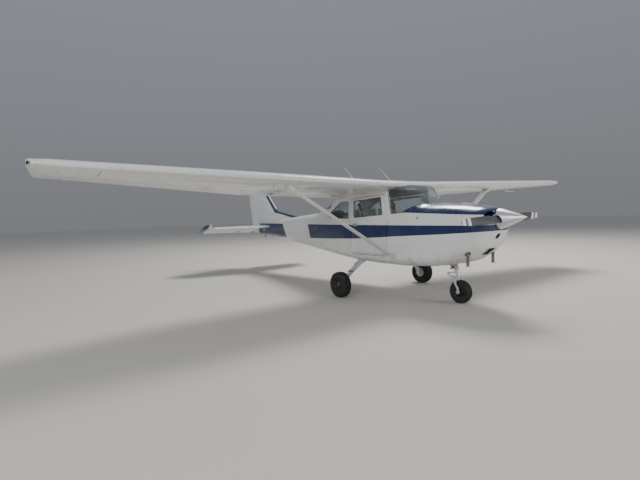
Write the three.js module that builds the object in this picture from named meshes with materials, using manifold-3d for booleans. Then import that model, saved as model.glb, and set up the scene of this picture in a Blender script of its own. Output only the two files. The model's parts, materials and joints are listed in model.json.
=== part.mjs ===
// A high-wing, strut-braced, single-engine light aircraft on tricycle gear, in millimetres.
// +Z is up, the nose points to -Y, +X is the port side. The origin is on the ground, under the
// middle of the whole aircraft. Inside the model, y is the station: millimetres aft of the datum.
import * as THREE from 'three';
import { mergeVertices } from 'three/addons/utils/BufferGeometryUtils.js';
import Module from 'manifold-3d';

const wasm = await Module();
wasm.setup();

const DEGREE = Math.PI / 180;
const PORT = 1;
const STARBOARD = -1;
const SIDES = [
  { name: 'left', side: PORT },
  { name: 'right', side: STARBOARD },
];

// Driving dimensions
const SPINNER_TIP_Y = -1265;
const RUDDER_TIP_Y = 7017;
const DATUM_TO_ORIGIN = (SPINNER_TIP_Y + RUDDER_TIP_Y) / 2;
const FIREWALL_Y = 100;
const TAIL_JOINT_Y = 3150;
const TAIL_END_Y = 6225;
const NOSE_UP = 3.5 * DEGREE;
const SEAT_GAP = 0.4;
const PANEL_GAP = 8;
const WALL = 12;
const SKIN = 24;
const THIN_SKIN = 9;
const GLASS = 6;

const HALF_SPAN = 5480;
const WING_ROOT_X = 562;
const WING_BREAK_X = 2540;
const WING_END_X = 5150;

const MAIN_AXLE_Y = 1478;
const HALF_TRACK = 1061;
const MAIN_TYRE = { radius: 222.25, halfWidth: 80, rimRadius: 92, segments: 32 };
const NOSE_AXLE_Y = -204;
const NOSE_TYRE = { radius: 180.3, halfWidth: 63, rimRadius: 76, segments: 32 };

// Paint, glass and rubber
const paint = (color, roughness = 0.35, metalness = 0) =>
  new THREE.MeshStandardMaterial({ color, roughness, metalness });
const WHITE = paint(0xe9eaea);
const BLUE = paint(0x14245a);
const TAN = paint(0xb9b2a4, 0.7);
const DARK = paint(0x1b1c20, 0.6);
const RUBBER = paint(0x101010, 0.85);
const BARE_METAL = paint(0xc8ccd0, 0.3, 0.9);
const ENGINE_METAL = paint(0x55585c, 0.6, 0.6);
const STEEL_PIPE = paint(0x6b5f4c, 0.5, 0.7);
const CLEAR = new THREE.MeshStandardMaterial({
  color: 0xbfd2d8,
  roughness: 0.05,
  transparent: true,
  opacity: 0.35,
});

const aircraft = new THREE.Group();
aircraft.position.y = -DATUM_TO_ORIGIN;

// Solids from geometry, and back
function solidOf(geometry) {
  const bare = geometry.clone();
  for (const name of Object.keys(bare.attributes)) {
    if (name !== 'position') bare.deleteAttribute(name);
  }
  const merged = mergeVertices(bare, 1e-3);
  const made = new wasm.Manifold(
    new wasm.Mesh({
      numProp: 3,
      vertProperties: merged.attributes.position.array,
      triVerts: new Uint32Array(merged.index.array),
    }),
  );
  return made;
}

function geometryOf(solid) {
  const mesh = solid.getMesh();
  const geometry = new THREE.BufferGeometry();
  geometry.setAttribute('position', new THREE.BufferAttribute(mesh.vertProperties, 3));
  geometry.setIndex(new THREE.BufferAttribute(mesh.triVerts, 1));
  geometry.computeVertexNormals();
  return geometry;
}

const union = (...solids) => solids.reduce((all, next) => all.add(next));

// A solid moved by a matrix, turned right side out again where the matrix mirrors it.
function moved(solid, matrix) {
  const geometry = geometryOf(solid).applyMatrix4(matrix);
  return solidOf(matrix.determinant() < 0 ? turned(geometry) : geometry);
}

const shift = (x, y, z) => new THREE.Matrix4().makeTranslation(x, y, z);
const mirrorX = (solid) => moved(solid, new THREE.Matrix4().makeScale(-1, 1, 1));
const onSide = (solid, side) => (side === PORT ? solid : mirrorX(solid));

function place(name, solid, material) {
  const mesh = new THREE.Mesh(geometryOf(solid), material);
  mesh.name = name;
  aircraft.add(mesh);
}

// Closed lofts through rings of points. Every ring has the same count, in the same sense.
function loft(rings) {
  const count = rings[0].length;
  const positions = rings.flat().flatMap((p) => [p.x, p.y, p.z]);
  const index = [];
  for (let r = 0; r + 1 < rings.length; r++) {
    for (let i = 0; i < count; i++) {
      const j = (i + 1) % count;
      const [a, b] = [r * count + i, r * count + j];
      index.push(a, b, b + count, a, b + count, a + count);
    }
  }
  for (const [ring, flip] of [[0, true], [rings.length - 1, false]]) {
    for (const [a, b, c] of capOf(rings[ring])) {
      const t = [a, b, c].map((k) => ring * count + k);
      index.push(...(flip ? t.reverse() : t));
    }
  }
  const geometry = new THREE.BufferGeometry();
  geometry.setAttribute('position', new THREE.Float32BufferAttribute(positions, 3));
  geometry.setIndex(index);
  return solidOf(volumeOf(geometry) < 0 ? turned(geometry) : geometry);
}

// The triangles that fill a ring, found in the plane it lies nearest to.
function capOf(ring) {
  const normal = new THREE.Vector3();
  ring.forEach((p, i) => {
    const q = ring[(i + 1) % ring.length];
    normal.x += (p.y - q.y) * (p.z + q.z);
    normal.y += (p.z - q.z) * (p.x + q.x);
    normal.z += (p.x - q.x) * (p.y + q.y);
  });
  normal.normalize();
  const turn = new THREE.Quaternion().setFromUnitVectors(normal, new THREE.Vector3(0, 0, 1));
  const flat = ring.map((p) => {
    const q = p.clone().applyQuaternion(turn);
    return new THREE.Vector2(q.x, q.y);
  });
  return THREE.ShapeUtils.triangulateShape(flat, []);
}

function volumeOf(geometry) {
  const at = geometry.attributes.position;
  const [a, b, c] = [0, 1, 2].map(() => new THREE.Vector3());
  let six = 0;
  for (let i = 0; i < geometry.index.count; i += 3) {
    a.fromBufferAttribute(at, geometry.index.getX(i));
    b.fromBufferAttribute(at, geometry.index.getX(i + 1));
    c.fromBufferAttribute(at, geometry.index.getX(i + 2));
    six += a.dot(b.cross(c));
  }
  return six;
}

function turned(geometry) {
  const order = geometry.index.array;
  for (let i = 0; i < order.length; i += 3) {
    [order[i + 1], order[i + 2]] = [order[i + 2], order[i + 1]];
  }
  return geometry;
}

// Simple solids
function box(low, high) {
  const size = high.map((v, i) => v - low[i]);
  const geometry = new THREE.BoxGeometry(...size);
  geometry.translate(...high.map((v, i) => (v + low[i]) / 2));
  return solidOf(geometry);
}

function bar(from, to, radius, segments = 12, radiusEnd = radius) {
  const [a, b] = [new THREE.Vector3(...from), new THREE.Vector3(...to)];
  const length = a.distanceTo(b);
  const geometry = new THREE.CylinderGeometry(radiusEnd, radius, length, segments);
  geometry.translate(0, length / 2, 0);
  const along = b.clone().sub(a).normalize();
  const turn = new THREE.Quaternion().setFromUnitVectors(new THREE.Vector3(0, 1, 0), along);
  geometry.applyQuaternion(turn);
  geometry.translate(a.x, a.y, a.z);
  return solidOf(geometry);
}

// A side-view outline of [y, z] corners, as wide as from x = low to x = high.
function sidePrism(outline, low, high) {
  const rings = [low, high].map((x) => outline.map(([y, z]) => new THREE.Vector3(x, y, z)));
  return loft(rings);
}

// A side-view outline with its corners rounded, from [y, z, radius] rows.
function rounded(corners, steps = 4) {
  const points = [];
  corners.forEach(([y, z, radius], i) => {
    const here = new THREE.Vector2(y, z);
    const [before, after] = [-1, 1].map((k) => {
      const [py, pz] = corners[(i + k + corners.length) % corners.length];
      return new THREE.Vector2(py, pz).sub(here);
    });
    const most = Math.min(before.length(), after.length()) * 0.45;
    const [u, v] = [before, after].map((way) => way.setLength(Math.min(radius, most)));
    for (let s = 0; s <= steps; s++) {
      const t = s / steps;
      const p = here.clone();
      p.addScaledVector(u, (1 - t) * (1 - t)).addScaledVector(v, t * t);
      points.push([p.x, p.y]);
    }
  });
  return points;
}

// A lathe about the x axis, from [x, radius] rows; flats lie below, so it stands on one.
function wheelSolid(profile, segments, [x, y, z]) {
  const points = profile.map(([along, radius]) => new THREE.Vector2(radius, along));
  const geometry = new THREE.LatheGeometry(points, segments);
  geometry.rotateY(Math.PI / segments);
  geometry.rotateZ(-Math.PI / 2);
  geometry.translate(x, y, z);
  return solidOf(volumeOf(indexed(geometry)) < 0 ? turned(indexed(geometry)) : geometry);
}

function indexed(geometry) {
  return geometry.index ? geometry : mergeVertices(geometry, 1e-3);
}

// A lathe about a line in the y-z plane through [0, y, z], nose-up by tilt. Rows are [ahead, radius].
function noseLathe(profile, segments, [y, z], tilt) {
  const points = profile.map(([ahead, radius]) => new THREE.Vector2(radius, ahead));
  const geometry = new THREE.LatheGeometry(points, segments);
  geometry.rotateX(Math.PI - tilt);
  geometry.translate(0, y, z);
  return solidOf(volumeOf(indexed(geometry)) < 0 ? turned(indexed(geometry)) : geometry);
}

// Fuselage sections. Each is a rounded box: half width at the bottom and top of its straight
// side, belly and roof height, and the half axes of its lower and upper corner ellipses. Lean is
// how far a section of the nose leans back with the thrust line, as a share.
const HULL_COLUMNS = ['y', 'low', 'high', 'belly', 'roof', 'lowX', 'lowZ', 'highX', 'highZ', 'lean'];
const THRUST = { y: -905, z: 1316 };
const COWL_ROWS = [
  [-866, 180, 190, 1144, 1463, 160, 150, 170, 139, 1],
  [-856, 238, 244, 1108, 1467, 218, 185, 208, 145, 1],
  [-834, 292, 295, 1064, 1473, 268, 218, 240, 150, 0.9],
  [-797, 344, 341, 998, 1481, 314, 245, 266, 158, 0.7],
  [-746, 392, 385, 905, 1490, 318, 240, 300, 166, 0.4],
  [-704, 418, 406, 854, 1497, 342, 270, 314, 172, 0.2],
  [-640, 436, 422, 796, 1506, 358, 270, 328, 178, 0],
  [-560, 456, 440, 748, 1520, 372, 265, 345, 184, 0],
  [-450, 474, 456, 690, 1536, 350, 235, 358, 188, 0],
  [-200, 503, 485, 618, 1558, 280, 170, 395, 190, 0],
  [100, 528, 505, 583, 1576, 250, 150, 430, 190, 0],
].map(rowOf);
const CABIN_ROWS = [
  [100, 528, 505, 583, 1576, 250, 150, 430, 190],
  [240, 534, 514, 572, 1578, 240, 145, 436, 175],
  [470, 543, 528, 558, 1745, 240, 145, 430, 300],
  [655, 548, 522, 553, 1900, 240, 140, 230, 170],
  [760, 550, 514, 551, 1930, 240, 140, 150, 110],
  [1200, 556, 518, 550, 1890, 240, 140, 60, 60],
  [1700, 552, 518, 566, 1830, 240, 140, 60, 60],
  [2290, 530, 492, 616, 1752, 230, 140, 120, 80],
  [2600, 508, 462, 648, 1658, 220, 140, 200, 120],
  [TAIL_JOINT_Y, 452, 405, 700, 1478, 200, 140, 260, 150],
].map(rowOf);
const TAIL_ROWS = [
  [TAIL_JOINT_Y, 452, 405, 700, 1478, 200, 140, 260, 150],
  [4300, 300, 262, 820, 1394, 150, 130, 190, 140],
  [5200, 192, 165, 884, 1328, 110, 110, 130, 120],
  [TAIL_END_Y, 92, 78, 915, 1240, 70, 90, 66, 90],
].map(rowOf);

function rowOf(values) {
  return Object.fromEntries(HULL_COLUMNS.map((name, i) => [name, values[i]]));
}

function hullRing(row, inset) {
  const [low, high] = [row.low - inset, row.high - inset];
  const [belly, roof] = [row.belly + inset, row.roof - inset];
  const corners = [
    { x: low, z: belly, rx: row.lowX, rz: row.lowZ, sx: 1, sz: 1, from: -90 },
    { x: high, z: roof, rx: row.highX, rz: row.highZ, sx: 1, sz: -1, from: 0 },
    { x: high, z: roof, rx: row.highX, rz: row.highZ, sx: -1, sz: -1, from: 90 },
    { x: low, z: belly, rx: row.lowX, rz: row.lowZ, sx: -1, sz: 1, from: 180 },
  ];
  const lean = Math.tan(NOSE_UP) * (row.lean || 0);
  const steps = 5;
  return corners.flatMap((c) => {
    const centre = { x: c.sx * (c.x - c.rx), z: c.z + c.sz * c.rz };
    return Array.from({ length: steps + 1 }, (_, i) => {
      const angle = (c.from + (90 * i) / steps) * DEGREE;
      const z = centre.z + c.rz * Math.sin(angle);
      return new THREE.Vector3(centre.x + c.rx * Math.cos(angle), row.y + (z - THRUST.z) * lean, z);
    });
  });
}

const hull = (rows, inset = 0) => loft(rows.map((row) => hullRing(row, inset)));

// The same hull, its ends pushed out by before and after, or drawn in where these are negative.
function longHull(rows, inset, before, after) {
  const first = { ...rows[0], y: rows[0].y - before };
  const last = { ...rows[rows.length - 1], y: rows[rows.length - 1].y + after };
  const between = rows.filter(({ y }) => y > first.y && y < last.y);
  return hull([first, ...between, last], inset);
}

// Side-view outlines of the openings, as [y, z, corner radius]
const WINDSHIELD = [
  [245, 1580, 1], [516, 1440, 20], [770, 1424, 30], [838, 1800, 40], [790, 1990, 1], [150, 1990, 1],
];
const DOOR = [[860, 712, 60], [860, 1420, 1], [908, 1752, 40], [1790, 1712, 40], [1782, 700, 60]];
const DOOR_WINDOW = [[966, 1410, 45], [1004, 1706, 40], [1706, 1668, 40], [1704, 1366, 45]];
const QUARTER_WINDOW = [[1868, 1352, 40], [1872, 1662, 40], [2120, 1655, 90], [2560, 1400, 60],
  [2470, 1360, 40]];
const REAR_WINDOW = [[2350, 1760, 1], [2480, 1560, 40], [2990, 1462, 1], [2990, 1700, 1]];
const BAGGAGE_DOOR = [[2120, 860, 40], [2120, 1230, 40], [2500, 1230, 40], [2500, 875, 40]];

// A convex outline moved out by a distance, every edge along its own normal.
function outset(corners, by) {
  const points = corners.map(([y, z]) => new THREE.Vector2(y, z));
  const clockwise = THREE.ShapeUtils.isClockWise(points);
  const normals = points.map((p, i) => {
    const along = points[(i + 1) % points.length].clone().sub(p).normalize();
    return clockwise ? new THREE.Vector2(-along.y, along.x) : new THREE.Vector2(along.y, -along.x);
  });
  return corners.map(([y, z, radius], i) => {
    const [a, b] = [normals[(i + normals.length - 1) % normals.length], normals[i]];
    const reach = by / (1 + a.dot(b));
    return [y + (a.x + b.x) * reach, z + (a.y + b.y) * reach, radius];
  });
}

const outline = (corners, by = 0) => rounded(outset(corners, by));

// The wing: leading edge, height, chord and nose-up angle at span position x
function wingAt(x) {
  const outboard = Math.max(0, (x - WING_BREAK_X) / (WING_END_X - WING_BREAK_X));
  const root = { lead: 662, chord: 1626, angle: 5.2 };
  const end = { lead: 805, chord: 1128, angle: 3.1 };
  const mix = (key) => root[key] + (end[key] - root[key]) * outboard;
  const height = 1900 + (x - WING_ROOT_X) * 0.028 + outboard * 12;
  return { lead: mix('lead'), chord: mix('chord'), angle: mix('angle') * DEGREE, height };
}

// A point at share u of the chord, w millimetres above the chord line.
function wingPoint(x, u, w) {
  const { lead, chord, angle, height } = wingAt(x);
  const along = u * chord;
  const y = lead + along * Math.cos(angle) + w * Math.sin(angle);
  const z = height - along * Math.sin(angle) + w * Math.cos(angle);
  return new THREE.Vector3(x, y, z);
}

// Half thickness and camber of a four-digit section, as shares of the chord.
function halfThickness(u, share) {
  const [a, b, c, d, e] = [0.2969, -0.126, -0.3516, 0.2843, -0.1036];
  return 5 * share * (a * Math.sqrt(u) + u * (b + u * (c + u * (d + u * e))));
}

function camber(u) {
  const [height, peak] = [0.02, 0.4];
  return u < peak
    ? (height / peak ** 2) * (2 * peak * u - u * u)
    : (height / (1 - peak) ** 2) * (1 - 2 * peak + 2 * peak * u - u * u);
}

const WING_SHARE = 0.12;
const EDGE_HALF = 2;
const wingUpper = (u, chord) => chord * (camber(u) + halfThickness(u, WING_SHARE)) + EDGE_HALF;
const wingLower = (u, chord) => chord * (camber(u) - halfThickness(u, WING_SHARE)) - EDGE_HALF;

// Chord shares, close together at the nose, from a first share to the trailing edge.
function shares(count, first = 0) {
  return Array.from({ length: count }, (_, i) => {
    const t = i / (count - 1);
    return first + (1 - first) * (first > 0 ? t : 1 - Math.cos((t * Math.PI) / 2));
  });
}

// A whole wing section at x. Over and under thin its two skins; the shifts draw in its edges.
function wingRing(x, { over = 1, under = 1, lead = 0, tail = 0, raise = 0 } = {}) {
  const { chord } = wingAt(x);
  const us = shares(13);
  const at = (u, w) => wingPoint(x, (lead + u * (chord - lead - tail)) / chord, w + raise);
  const lower = us.slice(1).map((u) => at(u, wingLower(u, chord) * under));
  const upper = us.slice(1).reverse().map((u) => at(u, wingUpper(u, chord) * over));
  return [at(0, 0), ...lower, ...upper];
}

// Control surfaces: a round nose about the hinge, then the section's own skin to the edge.
const FLAP = { from: 590, to: 2532, hinge: 0.765, gap: 12, margin: 10, hinges: [900, 2220] };
const AILERON = {
  from: 2590, to: WING_END_X - 40, hinge: 0.785, gap: 9, margin: 16, hinges: [2780, 3850, 4920],
};

function noseCircle(x, hinge) {
  const { chord } = wingAt(x);
  const [high, low] = [wingUpper(hinge, chord), wingLower(hinge, chord)];
  return { w: (high + low) / 2, radius: (high - low) / 2 };
}

function controlRing(x, hinge) {
  const { chord } = wingAt(x);
  const { w, radius } = noseCircle(x, hinge);
  const nose = Array.from({ length: 7 }, (_, i) => {
    const angle = (90 + i * 30) * DEGREE;
    return wingPoint(x, hinge + (radius * Math.cos(angle)) / chord, w + radius * Math.sin(angle));
  });
  const us = shares(5, hinge).slice(1);
  const lower = us.map((u) => wingPoint(x, u, wingLower(u, chord)));
  const upper = us.reverse().map((u) => wingPoint(x, u, wingUpper(u, chord)));
  return [...nose, ...lower, ...upper];
}

function coveRing(x, hinge, gap, round) {
  const { chord } = wingAt(x);
  const { w, radius } = noseCircle(x, hinge);
  const wide = radius + gap;
  const far = 1.1;
  const tall = 260;
  const front = round
    ? Array.from({ length: 9 }, (_, i) => {
      const angle = (90 + i * 22.5) * DEGREE;
      return [hinge + (wide * Math.cos(angle)) / chord, w + wide * Math.sin(angle)];
    })
    : [[hinge - wide / chord, tall], [hinge - wide / chord, -tall]];
  const back = round ? [[far, w - wide], [far, w + wide]] : [[far, -tall], [far, tall]];
  return [...front, ...back].map(([u, v]) => wingPoint(x, u, v));
}

// A hinge arm on a control's nose, its round front end in the hollow of the cove.
const PAD = { half: 12, slack: 0.7, from: 150, to: 210, steps: 6 };
const COVE_STEP = 22.5 * DEGREE;
const padAngles = Array.from({ length: PAD.steps + 1 }, (_, i) =>
  (PAD.from + ((PAD.to - PAD.from) * i) / PAD.steps) * DEGREE);
const padReach = (coveRadius) => coveRadius * Math.cos(COVE_STEP / 2) - PAD.slack;

function wingHinge(x, { from, to, margin, hinge, gap }) {
  const ends = [from - margin, to + margin];
  const [a, b] = ends.map((at) => {
    const { chord } = wingAt(at);
    const { w, radius } = noseCircle(at, hinge);
    const reach = padReach(radius + gap);
    const arc = padAngles.map((angle) => [reach * Math.cos(angle), reach * Math.sin(angle)]);
    return [...arc, [0, 0]].map(([along, up]) => wingPoint(at, hinge + along / chord, w + up));
  });
  const ring = (at) => a.map((p, i) => p.clone().lerp(b[i], (at - ends[0]) / (ends[1] - ends[0])));
  return loft([ring(x - PAD.half), ring(x + PAD.half)]);
}

// A flap's roller carrier, up against the front wall of its bay.
function flapCarrier(x) {
  const { chord } = wingAt(x);
  const { w, radius } = noseCircle(x, FLAP.hinge);
  const front = FLAP.hinge - (radius + FLAP.gap - SEAT_GAP) / chord;
  const corners = [[front, w - 22], [FLAP.hinge, w - 22], [FLAP.hinge, w + 22], [front, w + 22]];
  return loft([x - PAD.half, x + PAD.half].map((at) => corners.map(([u, v]) => wingPoint(at, u, v))));
}

function bay(control, round) {
  const [a, b] = [control.from - control.margin, control.to + control.margin];
  return loft([a, b].map((x) => coveRing(x, control.hinge, control.gap, round)));
}

const WING_TIP_ROWS = [
  { x: WING_END_X, over: 1, under: 1, lead: 0, tail: 0 },
  { x: 5310, over: 1, under: 0.86, lead: 0, tail: 0 },
  { x: 5395, over: 0.94, under: 0.56, lead: 12, tail: 14 },
  { x: 5430, over: 0.86, under: 0.4, lead: 26, tail: 330 },
  { x: 5460, over: 0.72, under: 0.2, lead: 50, tail: 640 },
  { x: HALF_SPAN, over: 0.45, under: 0.02, lead: 85, tail: 860 },
];

// Wing struts, legs and struts of the nose gear take a streamline or oblong ring
function streamRing(centre, chord, thickness, along, across) {
  const us = [0, 0.06, 0.2, 0.45, 0.75, 1];
  const half = (u) => (u === 1 ? 0.06 : Math.sqrt(u) * (1 - u * 0.86) * 1.35) * (thickness / 2);
  const point = (u, sign) => centre
    .clone()
    .addScaledVector(along, (u - 0.45) * chord)
    .addScaledVector(across, sign * half(u));
  const under = us.slice(1).map((u) => point(u, -1));
  const over = us.slice(1).reverse().map((u) => point(u, 1));
  return [point(0, 0), ...under, ...over];
}

const STRUT = {
  foot: new THREE.Vector3(512, 712, 684),
  head: new THREE.Vector3(2443, 905, 1868),
  chord: 134,
  thickness: 46,
};

function wingStrut() {
  const span = STRUT.head.clone().sub(STRUT.foot).normalize();
  const along = new THREE.Vector3(0, 1, 0).addScaledVector(span, -span.y).normalize();
  const across = span.clone().cross(along).normalize();
  const at = (t) => STRUT.foot.clone().lerp(STRUT.head, t);
  const fairing = [
    { t: -0.012, share: 0.55 }, { t: 0.03, share: 1 }, { t: 0.97, share: 1 }, { t: 1.03, share: 0.6 },
  ];
  return loft(
    fairing.map(({ t, share }) =>
      streamRing(at(t), STRUT.chord * share, STRUT.thickness * share, along, across)),
  );
}

// Tail surfaces: a symmetric section, thin, on a straight hinge line
const STAB = { z: 1150, hingeY: 6180, rootX: 0, tipX: 1530, rootLead: 5500, tipLead: 5790 };
const STAB_SHARE = 0.075;
const ELEVATOR = { rootX: 112, tipX: 1727, rootChord: 440, tipChord: 330, gap: 10, droop: 23 * DEGREE };
const HORN = { fromX: 1545, ahead: 250 };

function stabAt(x) {
  const t = x / STAB.tipX;
  const lead = STAB.rootLead + (STAB.tipLead - STAB.rootLead) * t;
  const tail = STAB.hingeY + ELEVATOR.rootChord + (ELEVATOR.tipChord - ELEVATOR.rootChord) * t;
  const chord = tail - lead;
  const hinge = (STAB.hingeY - lead) / chord;
  return { lead, chord, hinge, radius: chord * halfThickness(hinge, STAB_SHARE) + EDGE_HALF };
}

const HOLLOW_SHARES = [0.13, 0.4, 0.68, 0.84];
const stabHalf = (u, chord) => chord * halfThickness(u, STAB_SHARE) + EDGE_HALF;

function stabRing(x, extra = 0) {
  const { lead, chord, hinge } = stabAt(Math.abs(x));
  const us = shares(9).map((t) => t * hinge);
  const point = (u, sign) =>
    new THREE.Vector3(x, lead + u * chord, STAB.z + sign * (stabHalf(u, chord) + extra));
  const nose = new THREE.Vector3(x, lead - extra, STAB.z);
  const lower = us.slice(1).map((u) => point(u, -1));
  const upper = us.slice(1).reverse().map((u) => point(u, 1));
  return [nose, ...lower, ...upper];
}

function elevatorRing(x) {
  const { lead, chord, hinge, radius } = stabAt(x);
  const nose = Array.from({ length: 7 }, (_, i) => {
    const angle = (90 + i * 30) * DEGREE;
    const y = STAB.hingeY + radius * Math.cos(angle);
    return new THREE.Vector3(x, y, STAB.z + radius * Math.sin(angle));
  });
  const us = shares(4, hinge).slice(1);
  const point = (u, sign) =>
    new THREE.Vector3(x, lead + u * chord, STAB.z + sign * stabHalf(u, chord));
  const lower = us.map((u) => point(u, -1));
  const upper = us.reverse().map((u) => point(u, 1));
  return [...nose, ...lower, ...upper];
}

// Cabin, split where the doors, windows and roof meet it
const outer = hull(CABIN_ROWS);
const cabinShell = outer.subtract(longHull(CABIN_ROWS, SKIN, -WALL, 60));
const glassShell = hull(CABIN_ROWS, 8).subtract(longHull(CABIN_ROWS, 8 + GLASS, 60, 60));
const WIDE = 700;
const MIDDLE = 60;

const roofRing = (x, raise = 0) => wingRing(WING_ROOT_X, { raise }).map((p) => p.setX(x));
const ROOF_HALF = WING_ROOT_X - SEAT_GAP;
const roof = loft([roofRing(-ROOF_HALF), roofRing(ROOF_HALF)]);
const roofBed = loft([roofRing(-WIDE, -SEAT_GAP), roofRing(WIDE, -SEAT_GAP)]);
const ABOVE_ROOF = [[790, 1905], [2288, 1765], [2288, 2300], [700, 2300], [700, 1950]];
const aboveRoof = sidePrism(ABOVE_ROOF, -WIDE, WIDE);

// Door hinges: knuckles on a line that leans in with the skin, set 6 mm outside it
const DOOR_HINGE = { y: 862, low: [552.3, 850], high: [536.2, 1350], knuckles: [[0, 0.12], [0.88, 1]] };
const BAGGAGE_HINGE = { y: 2122, low: [535.9, 900], high: [524.8, 1190], knuckles: [[0, 0.15], [0.85, 1]] };
const KNUCKLE_RADIUS = 8;

const STRAP = { out: 2, into: 14, long: 30 };

function knuckles({ y, low, high, knuckles: spans }) {
  const at = (t) => [low[0] + (high[0] - low[0]) * t, y, low[1] + (high[1] - low[1]) * t];
  return union(...spans.map(([a, b]) => {
    const [from, to] = [at(a), at(b)];
    const strap = box([from[0] - STRAP.into, y + 2, from[2]], [to[0] - STRAP.out, y + STRAP.long, to[2]]);
    return bar(from, to, KNUCKLE_RADIUS, 12).add(strap);
  }));
}

const doorOf = (side, by = 0) => sidePrism(outline(DOOR, by), side * MIDDLE, side * WIDE);
const sideCut = (corners, side, by = 0) =>
  sidePrism(outline(corners, by), side * MIDDLE, side * WIDE);
const windshieldCut = (by) => sidePrism(outline(WINDSHIELD, by), -WIDE, WIDE);
const rearCut = (by) => sidePrism(outline(REAR_WINDOW, by), -WIDE, WIDE);

function cabin() {
  let shell = cabinShell;
  for (const { side } of SIDES) {
    shell = shell.subtract(doorOf(side, PANEL_GAP / 2));
    shell = shell.subtract(sideCut(QUARTER_WINDOW, side));
  }
  shell = shell.subtract(sideCut(BAGGAGE_DOOR, PORT, PANEL_GAP / 2));
  shell = shell.subtract(windshieldCut(0)).subtract(rearCut(0));
  shell = shell.subtract(roofBed).subtract(aboveRoof);
  return shell;
}

function largest(solid) {
  const parts = solid.decompose();
  return parts.reduce((best, next) => (next.volume() > best.volume() ? next : best));
}

const trimmed = (solid) => largest(solid.subtract(roofBed).subtract(aboveRoof));
place('cabin_shell', largest(cabin()), WHITE);
place('windshield', trimmed(glassShell.intersect(windshieldCut(-SEAT_GAP))), CLEAR);
place('rear_window', trimmed(glassShell.intersect(rearCut(-SEAT_GAP))), CLEAR);

for (const { name, side } of SIDES) {
  const pane = glassShell.intersect(sideCut(QUARTER_WINDOW, side, -SEAT_GAP));
  place(`quarter_window_${name}`, trimmed(pane), CLEAR);
  const leaf = cabinShell.intersect(doorOf(side, -PANEL_GAP / 2));
  const frame = leaf.subtract(sideCut(DOOR_WINDOW, side));
  place(`door_${name}`, trimmed(frame).add(onSide(knuckles(DOOR_HINGE), side)), WHITE);
  const doorPane = glassShell.intersect(sideCut(DOOR_WINDOW, side, -SEAT_GAP));
  place(`door_window_${name}`, trimmed(doorPane), CLEAR);
}
const baggageLeaf = largest(cabinShell.intersect(sideCut(BAGGAGE_DOOR, PORT, -PANEL_GAP / 2)));
place('baggage_door', baggageLeaf.add(knuckles(BAGGAGE_HINGE)), WHITE);

// Whip aerials stand on the roof skin
const AERIAL = { x: 470, foot: [1560, 1903], tip: [2037, 2330], radius: 7 };
let roofTop = roof;
for (const { side } of SIDES) {
  const foot = [side * AERIAL.x, ...AERIAL.foot];
  const tip = [side * AERIAL.x, ...AERIAL.tip];
  roofTop = roofTop.add(bar(foot, tip, AERIAL.radius, 6, AERIAL.radius * 0.45));
}
place('roof_center_section', roofTop, WHITE);

// Cowling: a hollow nose bowl, a top cowl and a bottom cowl
const BOWL_Y = -690;
const COWL_SPLIT_Z = 1215;
const thrustZ = (y) => THRUST.z + (THRUST.y - y) * Math.tan(NOSE_UP);
const cowlOuter = hull(COWL_ROWS);
const cowlInner = longHull(COWL_ROWS, THIN_SKIN, -WALL, 60);
const cowlShell = cowlOuter.subtract(cowlInner);
const shaftHole = bar([0, -1000, 1316], [0, -800, 1316], 96, 24);
const INLET = [[140, 1290, 40], [296, 1296, 40], [322, 1368, 30], [240, 1428, 60], [140, 1424, 30]];

function inlet(side) {
  const ring = (y) => rounded(INLET).map(([x, z]) => new THREE.Vector3(side * x, y, z));
  return loft([ring(-960), ring(-740)]);
}

const lampHole = bar([-25, -960, 990], [-25, -770, 1125], 44, 16);
const INTAKE = [[-900, 896], [-600, 896], [-600, 768], [-900, 768]];
const intakeHole = sidePrism(INTAKE, -112, 112);
const strutWell = box([-120, -290, 500], [120, 200, 720]);
const STACK = { x: 318, y: -556, low: 634, radius: 23 };
const stackHole = (side) =>
  bar([side * STACK.x, STACK.y, 600], [side * STACK.x, STACK.y, 1000], 42, 16);

let cowl = cowlShell.subtract(shaftHole).subtract(lampHole).subtract(intakeHole).subtract(strutWell);
for (const { side } of SIDES) {
  cowl = cowl.subtract(inlet(side)).subtract(stackHole(side));
}
const HUGE = 3000;
const bowlZone = box([-HUGE, -HUGE, 0], [HUGE, BOWL_Y - SEAT_GAP / 2, HUGE]);
const COWL_FRONT = BOWL_Y + SEAT_GAP / 2;
const COWL_BACK = FIREWALL_Y - SEAT_GAP;
const topZone = box([-HUGE, COWL_FRONT, COWL_SPLIT_Z + SEAT_GAP / 2], [HUGE, COWL_BACK, HUGE]);
const bottomZone = box([-HUGE, COWL_FRONT, 0], [HUGE, COWL_BACK, COWL_SPLIT_Z - SEAT_GAP / 2]);
place('cowl_nose_bowl', largest(cowl.intersect(bowlZone)), WHITE);
place('cowl_top', largest(cowl.intersect(topZone)), BLUE);
place('cowl_bottom', largest(cowl.intersect(bottomZone)), WHITE);

// Engine: one plain block, its shaft forward and four mount legs back to the firewall
const ENGINE = { halfWidth: 335, front: -690, back: -60, low: 1020, high: 1405 };
const SHAFT = { back: -670, front: -869.68, radius: 52 };
const shaftPoint = (y) => [0, y, thrustZ(y)];
const LEG = { x: 250, radius: 14, spread: 60 };
let engine = box(
  [-ENGINE.halfWidth, ENGINE.front, ENGINE.low],
  [ENGINE.halfWidth, ENGINE.back, ENGINE.high],
);
engine = engine.add(bar(shaftPoint(SHAFT.back), shaftPoint(SHAFT.front), SHAFT.radius, 20));
for (const x of [-LEG.x, LEG.x]) {
  for (const z of [ENGINE.low + LEG.spread, ENGINE.high - LEG.spread]) {
    engine = engine.add(bar([x, ENGINE.back - 20, z], [x, FIREWALL_Y - SEAT_GAP, z], LEG.radius, 8));
  }
}
place('engine_block', engine, ENGINE_METAL);

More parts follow.
